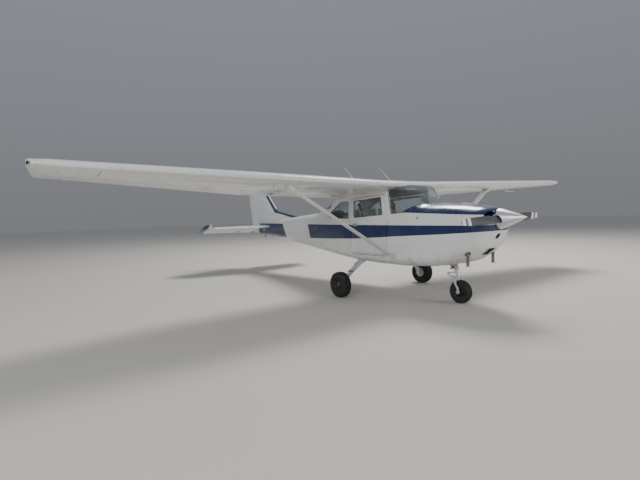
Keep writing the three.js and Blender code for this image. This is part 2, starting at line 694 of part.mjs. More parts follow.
// Exhaust stacks, joined by a crossover under the engine
const CROSS_Z = ENGINE.low - 60;
let stacks = bar([-STACK.x, STACK.y, CROSS_Z], [STACK.x, STACK.y, CROSS_Z], STACK.radius, 12);
for (const { side } of SIDES) {
  const x = side * STACK.x;
  stacks = stacks.add(bar([x, STACK.y, STACK.low], [x, STACK.y, CROSS_Z + 20], STACK.radius, 12));
  const riser = [side * 200, STACK.y, ENGINE.low - SEAT_GAP];
  stacks = stacks.add(bar([side * 200, STACK.y, CROSS_Z], riser, STACK.radius, 12));
}
place('exhaust_stacks', stacks, STEEL_PIPE);

// Tail cone, with slots for the stabilizer and the elevator tube
const stabSlot = loft([-400, 0, 400].map((x) => stabRing(x, SEAT_GAP)));
const TUBE = { radius: 19, clear: 27 };
const tubeSlot = bar([-400, STAB.hingeY, STAB.z], [400, STAB.hingeY, STAB.z], TUBE.clear, 16);
const slotBack = box([-400, STAB.hingeY - 70, STAB.z - 40], [400, STAB.hingeY, STAB.z + 40]);
const coneInner = longHull(TAIL_ROWS, THIN_SKIN, 60, -WALL);
const cone = hull(TAIL_ROWS).subtract(coneInner).subtract(stabSlot).subtract(tubeSlot).subtract(slotBack);
const joint = box([-HUGE, 0, 0], [HUGE, TAIL_JOINT_Y + SEAT_GAP, HUGE]);
const tailLug = box([-9, 6010, 868], [9, 6062, 914]);
place('tail_cone', largest(cone.subtract(joint)).add(tailLug), WHITE);

// Stabilizer with a concave cove for the elevator nose
function stabCove(from, to, gap) {
  const ring = (x) => {
    const wide = stabAt(Math.abs(x)).radius + gap;
    const front = Array.from({ length: 9 }, (_, i) => {
      const angle = (90 + i * 22.5) * DEGREE;
      const y = STAB.hingeY + wide * Math.cos(angle);
      return new THREE.Vector3(x, y, STAB.z + wide * Math.sin(angle));
    });
    const back = [-1, 1].map((s) => new THREE.Vector3(x, STAB.hingeY + 300, STAB.z + s * wide));
    return [...front, ...back];
  };
  return loft([ring(from), ring(to)]);
}

const stabWhole = loft([-STAB.tipX, 0, STAB.tipX].map((x) => stabRing(x)));

// The stabilizer is hollow, with a lightening hole inside the tail cone
function stabHollowRing(x) {
  const { lead, chord, hinge } = stabAt(Math.abs(x));
  const us = HOLLOW_SHARES.map((t) => t * hinge);
  const point = (u, s) =>
    new THREE.Vector3(x, lead + u * chord, STAB.z + s * (stabHalf(u, chord) - THIN_SKIN));
  return [...us.map((u) => point(u, 1)), ...us.reverse().map((u) => point(u, -1))];
}

const stabHollow = loft([-STAB.tipX + 60, 0, STAB.tipX - 60].map(stabHollowRing));
const lighteningHole = bar([0, 5820, STAB.z - 80], [0, 5820, STAB.z], 50, 12);
const stabilizer = stabWhole
  .subtract(stabHollow)
  .subtract(lighteningHole)
  .subtract(stabCove(0, STAB.tipX + 10, ELEVATOR.gap))
  .subtract(stabCove(-STAB.tipX - 10, 0, ELEVATOR.gap));
place('stabilizer', stabilizer, WHITE);

// Elevator halves on one tube, drooped on the lower stop, with horn balances and a trim tab
const TAB = { from: 560, to: 1180, chord: 130, gap: 8 };

function elevatorHalf() {
  const body = loft([ELEVATOR.rootX, STAB.tipX].map(elevatorRing));
  const tip = loft([STAB.tipX - 5, ELEVATOR.tipX - 40, ELEVATOR.tipX].map((x, i) => {
    const thin = [1, 0.9, 0.35][i];
    const { z } = STAB;
    return elevatorRing(x).map((p) => p.setZ(z + (p.z - z) * thin));
  }));
  const { hingeY, z } = STAB;
  const hornRing = (x, ahead, half) => [
    new THREE.Vector3(x, hingeY - ahead, z), new THREE.Vector3(x, hingeY - ahead + 40, z - half),
    new THREE.Vector3(x, hingeY + 60, z - half), new THREE.Vector3(x, hingeY + 60, z + half),
    new THREE.Vector3(x, hingeY - ahead + 40, z + half),
  ];
  const horn = loft([
    hornRing(HORN.fromX, HORN.ahead, 22), hornRing(ELEVATOR.tipX - 40, HORN.ahead - 20, 19),
    hornRing(ELEVATOR.tipX, HORN.ahead - 70, 7),
  ]);
  const [before, behind, reach] = [hingeY - 100, hingeY + 60, hingeY + 520];
  const spread = [[before, 95], [behind, 112], [reach, 250], [reach, 0], [before, 0]];
  const level = (h) => spread.map(([y, x]) => new THREE.Vector3(x, y, h));
  const rudderRoom = loft([level(z - 200), level(z + 200)]);
  return union(body, tip, horn).subtract(rudderRoom);
}

function tabZone(grow) {
  const tail = (x) => stabAt(x).lead + stabAt(x).chord;
  const [a, b] = [TAB.from - grow, TAB.to + grow];
  const plan = [[a, tail(a) - TAB.chord - grow], [b, tail(b) - TAB.chord - grow], [b, 6800], [a, 6800]];
  return loft([STAB.z - 100, STAB.z + 100].map((h) => plan.map(([x, y]) => new THREE.Vector3(-x, y, h))));
}

const droopMatrix = shift(0, STAB.hingeY, STAB.z)
  .multiply(new THREE.Matrix4().makeRotationX(-ELEVATOR.droop))
  .multiply(shift(0, -STAB.hingeY, -STAB.z));
const droop = (solid) => moved(solid, droopMatrix);
const tube = bar([-130, STAB.hingeY, STAB.z], [130, STAB.hingeY, STAB.z], TUBE.radius, 16);
const collars = [-1, 1].map((s) =>
  bar([s * 78, STAB.hingeY, STAB.z], [s * 104, STAB.hingeY, STAB.z], TUBE.clear - PAD.slack, 16));
const elevatorFlat = union(elevatorHalf(), mirrorX(elevatorHalf()), tube, ...collars);
const tabLine = (x) => [-x, stabAt(x).lead + stabAt(x).chord - TAB.chord, STAB.z];
const tabPin = bar(tabLine(TAB.from + 30), tabLine(TAB.to - 30), TAB.gap - 0.5, 8);
place('elevator', droop(elevatorFlat.subtract(tabZone(TAB.gap))), WHITE);
place('trim_tab', droop(elevatorFlat.intersect(tabZone(0)).add(tabPin)), WHITE);

// Fin with its long dorsal fillet, and the rudder
const FIN_TOP_Z = 2540;
const FIN = { kink: [5340, 1560], top: [6350, FIN_TOP_Z], share: 0.085 };
const RUDDER_LINE = { low: [6325, 1150], high: [6615, FIN_TOP_Z], tailLow: 6750, tailHigh: 7010 };
const rudderHingeY = (z) => lineAt(RUDDER_LINE.low, RUDDER_LINE.high, z);
const rudderTailY = (z) => lineAt([RUDDER_LINE.tailLow, 1150], [RUDDER_LINE.tailHigh, FIN_TOP_Z], z);
const finLeadY = (z) => lineAt(FIN.kink, FIN.top, z);
const RUDDER_GAP = 9;

function lineAt([y0, z0], [y1, z1], z) {
  return y0 + ((y1 - y0) * (z - z0)) / (z1 - z0);
}

function finAt(z) {
  const lead = finLeadY(z);
  const chord = rudderTailY(z) - lead;
  const hinge = (rudderHingeY(z) - lead) / chord;
  const half = (u) => chord * halfThickness(Math.min(Math.max(u, 0), 1), FIN.share) + EDGE_HALF;
  return { lead, chord, hinge, half, radius: half(hinge) };
}

function finRing(z, squash = 1) {
  const { lead, chord, hinge, half } = finAt(z);
  const us = shares(9).map((t) => t * (hinge + 0.02));
  const point = (u, s) => new THREE.Vector3(s * half(u) * squash, lead + u * chord, z);
  const port = us.slice(1).map((u) => point(u, 1));
  const starboard = us.slice(1).reverse().map((u) => point(u, -1));
  return [new THREE.Vector3(0, lead, z), ...port, ...starboard];
}

// The hollow inside the fin, open at its foot.
function finHollowRing(z) {
  const { lead, chord, hinge, half } = finAt(z);
  const us = HOLLOW_SHARES.map((t) => t * hinge);
  const point = (u, s) => new THREE.Vector3(s * (half(u) - THIN_SKIN), lead + u * chord, z);
  return [...us.map((u) => point(u, 1)), ...us.reverse().map((u) => point(u, -1))];
}

function rudderRing(z, squash = 1, cut = 0) {
  const { lead, chord, hinge, half, radius } = finAt(z);
  const y = rudderHingeY(z);
  const nose = Array.from({ length: 7 }, (_, i) => {
    const angle = (90 + i * 30) * DEGREE;
    return new THREE.Vector3(radius * squash * Math.sin(angle), y + radius * Math.cos(angle), z);
  });
  const us = shares(4, hinge).slice(1);
  const point = (u, s) => {
    const back = lead + u * chord - cut * (u - hinge) / (1 - hinge);
    return new THREE.Vector3(s * half(u) * squash, back, z);
  };
  return [...nose, ...us.map((u) => point(u, -1)), ...us.reverse().map((u) => point(u, 1))];
}

const COVE = { low: 900, high: 2700 };
const coveRadiusAt = (z) =>
  lineAt([finAt(COVE.low).radius, COVE.low], [finAt(COVE.high).radius, COVE.high], z) + RUDDER_GAP;

function rudderCove() {
  const ring = (z) => {
    const wide = coveRadiusAt(z);
    const y = rudderHingeY(z);
    const front = Array.from({ length: 9 }, (_, i) => {
      const angle = (90 + i * 22.5) * DEGREE;
      return new THREE.Vector3(wide * Math.sin(angle), y + wide * Math.cos(angle), z);
    });
    const back = [-1, 1].map((s) => new THREE.Vector3(s * wide, y + 600, z));
    return [...front, ...back];
  };
  return loft([ring(COVE.low), ring(COVE.high)]);
}

const [KINK_Y, KINK_Z] = FIN.kink;
const DORSAL = [[4300, 1380], [KINK_Y + 120, KINK_Z + 10], [KINK_Y + 300, 1300], [4300, 1300]];
const coneBed = hull(TAIL_ROWS, -SEAT_GAP);
const finBody = loft([finRing(1180), finRing(FIN_TOP_Z - 60), finRing(FIN_TOP_Z, 0.7)]);
const dorsal = sidePrism(DORSAL, -17, 17).add(
  loft([
    [4300, 1300, 26], [5600, 1300, 40],
  ].map(([y, z, x]) => [[-x, z], [x, z], [x * 0.5, z + 150], [-x * 0.5, z + 150]]
    .map(([px, pz]) => new THREE.Vector3(px, y, pz))))
    .intersect(sidePrism(DORSAL, -100, 100)),
);
const finHollow = loft([finHollowRing(1100), finHollowRing(FIN_TOP_Z - 110)]);
const finAll = finBody.subtract(finHollow).add(dorsal).subtract(coneBed).subtract(rudderCove());
const BEACON = { y: 6470, radius: 42, height: 66 };
const beaconTop = [0, BEACON.y, FIN_TOP_Z + BEACON.height];
const beacon = bar([0, BEACON.y, FIN_TOP_Z - 20], beaconTop, BEACON.radius, 16, 26);
place('fin', largest(finAll).add(beacon), WHITE);

const RUDDER_HINGES = [1480, 1900, 2320];

function rudderHinge(z) {
  const wide = padReach(coveRadiusAt(z));
  const ring = (at) => {
    const y = rudderHingeY(at);
    const arc = padAngles.map((angle) =>
      new THREE.Vector3(wide * Math.sin(angle), y + wide * Math.cos(angle), at));
    return [...arc, new THREE.Vector3(0, y, at)];
  };
  return loft([ring(z - PAD.half), ring(z + PAD.half)]);
}

const RUDDER_ROWS = [
  { z: 968, squash: 0.8, cut: 30 }, { z: 1010, squash: 1, cut: 0 },
  { z: FIN_TOP_Z - 50, squash: 1, cut: 0 }, { z: FIN_TOP_Z + 10, squash: 0.6, cut: -8 },
];
const rudder = loft(RUDDER_ROWS.map(({ z, squash, cut }) => rudderRing(z, squash, cut)));
place('rudder', union(rudder, ...RUDDER_HINGES.map(rudderHinge)), WHITE);

// Wings, flaps and ailerons
function wing(side) {
  const rows = [{ x: WING_ROOT_X + SEAT_GAP }, { x: WING_BREAK_X }, ...WING_TIP_ROWS];
  const whole = loft(rows.map((row) => wingRing(row.x, row)));
  return onSide(whole.subtract(bay(FLAP, false)).subtract(bay(AILERON, true)), side);
}

const PITOT = { x: 3050, ahead: 0.03, drop: 95, length: 170 };

function pitot() {
  const top = wingPoint(PITOT.x, 0.1, wingLower(0.1, wingAt(PITOT.x).chord) + 12);
  const knee = top.clone().add(new THREE.Vector3(0, 0, -PITOT.drop));
  const tip = knee.clone().add(new THREE.Vector3(0, -PITOT.length, 0));
  const lowerTop = knee.clone().add(new THREE.Vector3(0, 9, 0));
  const upper = bar(top.toArray(), knee.toArray(), 9, 6);
  return upper.add(bar(lowerTop.toArray(), tip.toArray(), 8, 6));
}

// A tie-down lug under each wing, beside the strut
const LUG = { x: 2600, u: 0.2, half: 9, long: 26, drop: 44 };

function tieDown() {
  const { chord } = wingAt(LUG.x);
  const p = wingPoint(LUG.x, LUG.u, wingLower(LUG.u, chord));
  return box([p.x - LUG.half, p.y - LUG.long, p.z - LUG.drop], [p.x + LUG.half, p.y + LUG.long, p.z + 14]);
}

const CONTROLS = [['flap', FLAP, flapCarrier], ['aileron', AILERON, wingHinge]];
const strut = wingStrut();
for (const { name, side } of SIDES) {
  const extras = side === PORT ? tieDown().add(pitot()) : tieDown();
  place(`wing_${name}`, wing(side).add(onSide(extras, side)), WHITE);
  for (const [kind, control, hanger] of CONTROLS) {
    const surface = loft([control.from, control.to].map((x) => controlRing(x, control.hinge)));
    const piece = union(surface, ...control.hinges.map((x) => hanger(x, control)));
    place(`${kind}_${name}`, onSide(piece, side), WHITE);
  }
  const clearOfSkins = strut
    .subtract(hull(CABIN_ROWS, -SEAT_GAP))
    .subtract(loft([2000, WING_BREAK_X, 2900].map((x) => wingRing(x, { raise: -SEAT_GAP }))));
  place(`wing_strut_${name}`, onSide(largest(clearOfSkins), side), WHITE);
}

// Main gear: a flat spring leg with a step, an axle and a brake block
const MAIN_AXLE_Z = MAIN_TYRE.radius * Math.cos(Math.PI / MAIN_TYRE.segments);
const LEG_ROWS = [
  { x: 300, y: 1625, z: 600, width: 200 },
  { x: 420, y: 1615, z: 585, width: 190 },
  { x: 560, y: 1575, z: 530, width: 150 },
  { x: 760, y: 1515, z: 428, width: 108 },
  { x: 905, y: 1480, z: 330, width: 84 },
  { x: 950, y: MAIN_AXLE_Y, z: 250, width: 84 },
  { x: 956, y: MAIN_AXLE_Y, z: 178, width: 84 },
];
const LEG_THICKNESS = 24;

function gearLeg() {
  const path = LEG_ROWS.map(({ x, y, z }) => new THREE.Vector3(x, y, z));
  const rings = LEG_ROWS.map(({ width }, i) => {
    const ahead = path[Math.min(i + 1, path.length - 1)].clone().sub(path[Math.max(i - 1, 0)]);
    const thick = new THREE.Vector3(ahead.z, 0, -ahead.x).normalize();
    const corner = (sy, st) => path[i]
      .clone()
      .add(new THREE.Vector3(0, (sy * width) / 2, 0))
      .addScaledVector(thick, (st * LEG_THICKNESS) / 2);
    return [corner(-1, -1), corner(1, -1), corner(1, 1), corner(-1, 1)];
  });
  const z = MAIN_AXLE_Z;
  const axle = bar([946, MAIN_AXLE_Y, z], [HALF_TRACK + 40, MAIN_AXLE_Y, z], AXLE.main, 16);
  const brake = box([950, MAIN_AXLE_Y + 44, z - 32], [986, MAIN_AXLE_Y + 84, z + 32]);
  const carrier = box([950, MAIN_AXLE_Y, z - 20], [964, MAIN_AXLE_Y + 60, z + 20]);
  const step = box([800, 1400, 424], [920, 1500, 434]);
  return union(loft(rings), axle, brake, carrier, step);
}

// A tyre's closed profile and its wheel, as [x, radius] rows about the wheel's middle
const tyreProfile = ({ radius, halfWidth, rimRadius }) => {
  const wall = (x, share) => [x * halfWidth, rimRadius + (radius - rimRadius) * share];
  return [
    wall(-0.72, 0), wall(-0.95, 0.3), wall(-1, 0.55), wall(-0.9, 0.84), wall(-0.58, 1),
    wall(0.58, 1), wall(0.9, 0.84), wall(1, 0.55), wall(0.95, 0.3), wall(0.72, 0), wall(-0.72, 0),
  ];
};

const AXLE = { main: 17, nose: 15, slack: 0.8 };

function hubProfile({ halfWidth, rimRadius }, bore, disc) {
  const rim = rimRadius - 2 * SEAT_GAP;
  const face = halfWidth * 0.72;
  const rows = [
    [-face, bore], [-face, 44], [-face * 0.55, 52], [-face * 0.55, rim - 14], [-face, rim - 8],
    [-face, rim], [face, rim], [face, rim - 8], [face * 0.55, rim - 14], [face * 0.55, 52],
    [face, 44], [face, bore],
  ];
  const brakeDisc = disc
    ? [[-face - 16, bore], [-face - 16, 42], [-face - 10, 42], [-face - 10, disc], [-face - 4, disc],
      [-face - 4, 46], [-face, 46]]
    : [];
  const kept = disc ? rows.slice(2) : rows;
  return [...brakeDisc, ...kept, disc ? [-face - 16, bore] : rows[0]];
}

const DISC_RADIUS = 84;
const leg = gearLeg();
const bedForLeg = hull(CABIN_ROWS, -SEAT_GAP);
for (const { name, side } of SIDES) {
  const centre = [HALF_TRACK, MAIN_AXLE_Y, MAIN_AXLE_Z];
  const tyre = wheelSolid(tyreProfile(MAIN_TYRE), MAIN_TYRE.segments, centre);
  const hub = wheelSolid(hubProfile(MAIN_TYRE, AXLE.main + AXLE.slack, DISC_RADIUS), 20, centre);
  place(`gear_leg_${name}`, onSide(largest(leg.subtract(bedForLeg)), side), WHITE);
  place(`main_tyre_${name}`, onSide(tyre, side), RUBBER);
  place(`main_wheel_${name}`, onSide(hub, side), BARE_METAL);
}

// Nose gear: a housing on the firewall, then a steered fork with its links, wheel and tyre
const NOSE_AXLE_Z = NOSE_TYRE.radius * Math.cos(Math.PI / NOSE_TYRE.segments);
const RAKE = 14 * DEGREE;
const strutY = (z) => -165 + (z - 385) * Math.tan(RAKE);
const HOUSING = { low: 500, high: 1000, radius: 36 };
const strutPoint = (z) => [0, strutY(z), z];
let housing = bar(strutPoint(HOUSING.low), strutPoint(HOUSING.high), HOUSING.radius, 20);
for (const z of [660, 960]) {
  housing = housing.add(box([-44, strutY(z) - 10, z - 22], [44, FIREWALL_Y - SEAT_GAP, z + 22]));
}
place('nose_strut_housing', housing, WHITE);

const PISTON_RADIUS = 24;
const FORK = { arm: 80, crownZ: 392, thick: 15, wide: 44 };

function noseFork() {
  const top = HOUSING.low - 0.6;
  const piston = bar([0, strutY(FORK.crownZ), FORK.crownZ], [0, strutY(top), top], PISTON_RADIUS, 20);
  const crownX = FORK.arm + 8;
  const crownY = strutY(380);
  const crown = box([-crownX, crownY - 32, FORK.crownZ - 20], [crownX, crownY + 32, FORK.crownZ + 14]);
  const arms = [-1, 1].map((s) => {
    const ring = (y, z, half) => [[-1, -1], [1, -1], [1, 1], [-1, 1]].map(([a, b]) =>
      new THREE.Vector3(s * FORK.arm + (a * FORK.thick) / 2, y + b * half, z));
    const foot = ring(NOSE_AXLE_Y, NOSE_AXLE_Z - 24, 24);
    return loft([ring(crownY, FORK.crownZ, 30), ring(-192, 250, 20), foot]);
  });
  const axleX = FORK.arm + 14;
  const axle = bar([-axleX, NOSE_AXLE_Y, NOSE_AXLE_Z], [axleX, NOSE_AXLE_Y, NOSE_AXLE_Z], AXLE.nose, 16);
  const collar = bar([0, strutY(462), 462], [0, strutY(488), 488], 42, 20);
  const kneeY = strutY(430) + 185;
  const upperLink = box([-13, strutY(475), 466], [13, kneeY, 484]);
  const knee = bar([0, kneeY - 8, 420], [0, kneeY - 8, 484], 12, 8);
  const lowerLink = bar([0, kneeY - 8, 426], [0, strutY(385) + 10, FORK.crownZ - 4], 11, 8);
  return union(piston, crown, ...arms, axle, collar, upperLink, knee, lowerLink);
}

place('nose_fork', noseFork(), WHITE);
const noseCentre = [0, NOSE_AXLE_Y, NOSE_AXLE_Z];
place('nose_tyre', wheelSolid(tyreProfile(NOSE_TYRE), NOSE_TYRE.segments, noseCentre), RUBBER);
const noseHub = wheelSolid(hubProfile(NOSE_TYRE, AXLE.nose + AXLE.slack, 0), 20, noseCentre);
place('nose_wheel', noseHub, BARE_METAL);

// Propeller and spinner, on a thrust line that the parked attitude tilts up
const PROP = { y: -915, radius: 968, hubRadius: 58, hubFront: 41.6, hubBack: 45, pitch: 900 };
const BLADE_ROWS = [
  { r: 36, chord: 96, thick: 44 }, { r: 150, chord: 116, thick: 34 }, { r: 300, chord: 127, thick: 25 },
  { r: 480, chord: 125, thick: 18 }, { r: 680, chord: 113, thick: 13 }, { r: 860, chord: 92, thick: 9 },
  { r: 940, chord: 70, thick: 6 }, { r: PROP.radius, chord: 36, thick: 4 },
];
const BLADE_TURN = -1.5 * DEGREE;

function blade(sign) {
  const rings = BLADE_ROWS.map(({ r, chord, thick }) => {
    const angle = Math.atan2(PROP.pitch, 2 * Math.PI * Math.max(r, 230));
    const section = [
      [-0.5, 0], [-0.42, 0.32], [-0.2, 0.5], [0.1, 0.45], [0.35, 0.22], [0.5, 0.04],
      [0.35, -0.1], [0, -0.25], [-0.3, -0.3], [-0.45, -0.22],
    ];
    return section.map(([u, v]) => {
      const [a, b] = [u * chord, v * thick];
      const down = a * Math.cos(angle) + b * Math.sin(angle);
      const back = a * Math.sin(angle) - b * Math.cos(angle);
      return new THREE.Vector3(sign * r, back, -sign * down);
    });
  });
  return loft(rings);
}

const thrustMatrix = shift(0, PROP.y, thrustZ(PROP.y))
  .multiply(new THREE.Matrix4().makeRotationX(-NOSE_UP));
const onThrustLine = (solid) => moved(solid, thrustMatrix);
const bladeMatrix = new THREE.Matrix4().makeRotationY(BLADE_TURN);

const hubBarrel = bar([0, -PROP.hubFront, 0], [0, PROP.hubBack, 0], PROP.hubRadius, 20);
const propeller = moved(union(hubBarrel, blade(1), blade(-1)), bladeMatrix);
place('propeller', onThrustLine(propeller), DARK);

const SPINNER = { base: 42, tip: PROP.y - SPINNER_TIP_Y };
const SPINNER_ROWS = [
  [-SPINNER.base, 0], [-SPINNER.base, 148], [0, 139], [80, 112], [160, 83], [240, 51], [300, 26],
  [SPINNER.tip - 8, 7], [SPINNER.tip, 0],
];
const spinnerLathe = (rows) => noseLathe(rows, 28, [0, 0], 0);
const bladeSlot = moved(box([-220, -42, -74], [220, 60, 74]), bladeMatrix);
const spinner = spinnerLathe(SPINNER_ROWS).subtract(bladeSlot);
place('spinner', onThrustLine(spinner), BARE_METAL);

// Cabin fit-out: floor, panel with both control wheels, two seats and a rear bench
const FLOOR_Z = 640;
const floorTub = longHull(CABIN_ROWS, SKIN + SEAT_GAP, -WALL - 1, 60);
const SHELF = { y: 2230, z: 812 };
const floorZone = box([-HUGE, FIREWALL_Y + WALL + 1, FLOOR_Z - 12], [HUGE, SHELF.y, FLOOR_Z]);
const shelfZone = box([-HUGE, SHELF.y, SHELF.z - 12], [HUGE, TAIL_JOINT_Y - 30, SHELF.z]);
const riserZone = box([-HUGE, SHELF.y - 12, FLOOR_Z - 12], [HUGE, SHELF.y, SHELF.z]);
const backZone = box([-HUGE, TAIL_JOINT_Y - 42, 760], [HUGE, TAIL_JOINT_Y - 30, 1500]);
const flooring = union(floorZone, shelfZone, riserZone, backZone);
place('cabin_floor', largest(floorTub.intersect(flooring)), TAN);

const PANEL = { y: 395, top: 1520, low: 1120, lean: 45, thick: 15 };
const panelFaces = [PANEL.y, PANEL.y - PANEL.thick];
const [nearLow, farLow] = panelFaces.map((y) => [y, PANEL.low]);
const [nearTop, farTop] = panelFaces.map((y) => [y - PANEL.lean, PANEL.top]);
const panelBoard = floorTub.intersect(sidePrism([nearLow, nearTop, farTop, farLow], -WIDE, WIDE));
const WHEEL = { x: 250, y: 610, z: 1285, half: 135 };

function controlWheel(x) {
  const shaft = bar([x, PANEL.y - 40, WHEEL.z - 8], [x, WHEEL.y, WHEEL.z], 13, 10);
  const { half, y, z } = WHEEL;
  const cross = box([x - half, y - 14, z - 16], [x + half, y + 14, z + 16]);
  const horns = [-1, 1].map((s) => box(
    [x + s * WHEEL.half - 14, WHEEL.y - 14, WHEEL.z - 16],
    [x + s * WHEEL.half + 14, WHEEL.y + 14, WHEEL.z + 100],
  ));
  return union(shaft, cross, ...horns);
}

const panel = union(panelBoard, controlWheel(-WHEEL.x), controlWheel(WHEEL.x));
place('instrument_panel', largest(panel), DARK);

// A seat is a base on the floor, a cushion and a leaning back, in one solid. Rows are [y, z].
const FRONT_SEAT = { x: 258, half: 205, y: 1010 };
const SEAT_SIDE = [
  [0, 860], [20, 1000], [60, 1030], [430, 1010], [470, 1080], [600, 1540], [680, 1520],
  [560, 1020], [520, 900], [500, 860],
];

function seat({ x, half, y, scale = 1 }) {
  const side = SEAT_SIDE.map(([dy, z]) => [y + dy, z - (1 - scale) * 60]);
  const cushion = sidePrism(side, x - half, x + half);
  const rails = [-1, 1].map((s) => box(
    [x + s * (half - 40) - 14, y + 40, FLOOR_Z + SEAT_GAP],
    [x + s * (half - 40) + 14, y + 460, 900],
  ));
  return union(cushion, ...rails);
}

place('seat_pilot', seat(FRONT_SEAT), TAN);
place('seat_copilot', seat({ ...FRONT_SEAT, x: -FRONT_SEAT.x }), TAN);
const BENCH = { y: 1730, half: 405 };
const benchSide = [
  [BENCH.y, FLOOR_Z + SEAT_GAP], [BENCH.y, 990], [BENCH.y + 40, 1010], [BENCH.y + 240, 1000],
  [BENCH.y + 380, 1440], [BENCH.y + 450, 1420], [BENCH.y + 330, 940], [BENCH.y + 270, FLOOR_Z + SEAT_GAP],
];
place('rear_seat', sidePrism(benchSide, -BENCH.half, BENCH.half), TAN);

export default aircraft;
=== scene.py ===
"""The looks of a high-wing, single-engine light aircraft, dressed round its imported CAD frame.

Every length is in metres in the part's own frame: +X is the port side, the nose points to -Y and
+Z is up. A station is a distance aft of the aircraft's datum, and aft() turns it into this Y.
"""

from __future__ import annotations

import json
import logging
import math
import sys
from collections.abc import Callable, Iterable, Sequence
from dataclasses import dataclass, field
from enum import Enum
from functools import cache

import bmesh
import bpy
from mathutils import Matrix, Vector
from mathutils.bvhtree import BVHTree

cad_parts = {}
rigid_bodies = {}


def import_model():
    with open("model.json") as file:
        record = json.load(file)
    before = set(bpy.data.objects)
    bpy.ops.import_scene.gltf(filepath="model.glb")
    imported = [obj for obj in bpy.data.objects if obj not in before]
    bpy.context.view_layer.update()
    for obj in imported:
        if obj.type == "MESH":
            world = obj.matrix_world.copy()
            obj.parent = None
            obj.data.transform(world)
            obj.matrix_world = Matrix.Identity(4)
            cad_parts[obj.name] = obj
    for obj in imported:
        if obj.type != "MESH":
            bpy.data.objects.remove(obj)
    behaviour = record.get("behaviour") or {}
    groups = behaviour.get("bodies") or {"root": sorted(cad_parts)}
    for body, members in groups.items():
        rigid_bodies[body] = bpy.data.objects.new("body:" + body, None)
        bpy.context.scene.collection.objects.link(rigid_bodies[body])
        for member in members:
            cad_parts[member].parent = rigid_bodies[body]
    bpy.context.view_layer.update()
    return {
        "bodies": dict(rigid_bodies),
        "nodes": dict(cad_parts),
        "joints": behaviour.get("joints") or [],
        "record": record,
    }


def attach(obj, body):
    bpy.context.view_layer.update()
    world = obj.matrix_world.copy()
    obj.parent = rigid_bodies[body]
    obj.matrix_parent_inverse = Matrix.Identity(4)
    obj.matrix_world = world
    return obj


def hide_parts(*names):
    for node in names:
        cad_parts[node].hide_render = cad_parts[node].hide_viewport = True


LOG = logging.getLogger("light_aircraft")

DATUM_TO_ORIGIN = 2.876
NOSE_UP = math.radians(3.5)
THRUST_Y, THRUST_Z = -0.905, 1.316

Pair = tuple[float, float]
Triple = tuple[float, float, float]
Colour = Triple
Spot = tuple[Vector, Vector]
Node = bpy.types.Node
Socket = bpy.types.NodeSocket
Level = float | Socket

NUMBER = "NodeSocketFloat"
VECTOR = "NodeSocketVector"

FRAME: dict[str, dict] = {}


def aft(station: float) -> float:
    """Turns a station into the Y of the part's frame.

    Args:
        station: metres aft of the aircraft's datum.

    Returns:
        Y in the part's frame, in metres.
    """
    return station - DATUM_TO_ORIGIN


def at(x: float, station: float, z: float) -> Vector:
    """Makes a point from a station.

    Args:
        x: distance to port of the middle.
        station: metres aft of the datum.
        z: height above the ground.

    Returns:
        The point in the part's frame.
    """
    return Vector((x, aft(station), z))


def thrust_z(station: float) -> float:
    """Gives the height of the propeller's axis at a station.

    Args:
        station: metres aft of the datum.

    Returns:
        Height above the ground, in metres.
    """
    return THRUST_Z + (THRUST_Y - station) * math.tan(NOSE_UP)


class Side(Enum):
    """The two sides of the aircraft, with the sign of X on each."""

    PORT = 1
    STARBOARD = -1

    @property
    def word(self) -> str:
        """The side's word in the names of nodes and bodies."""
        return "left" if self is Side.PORT else "right"


# Node networks


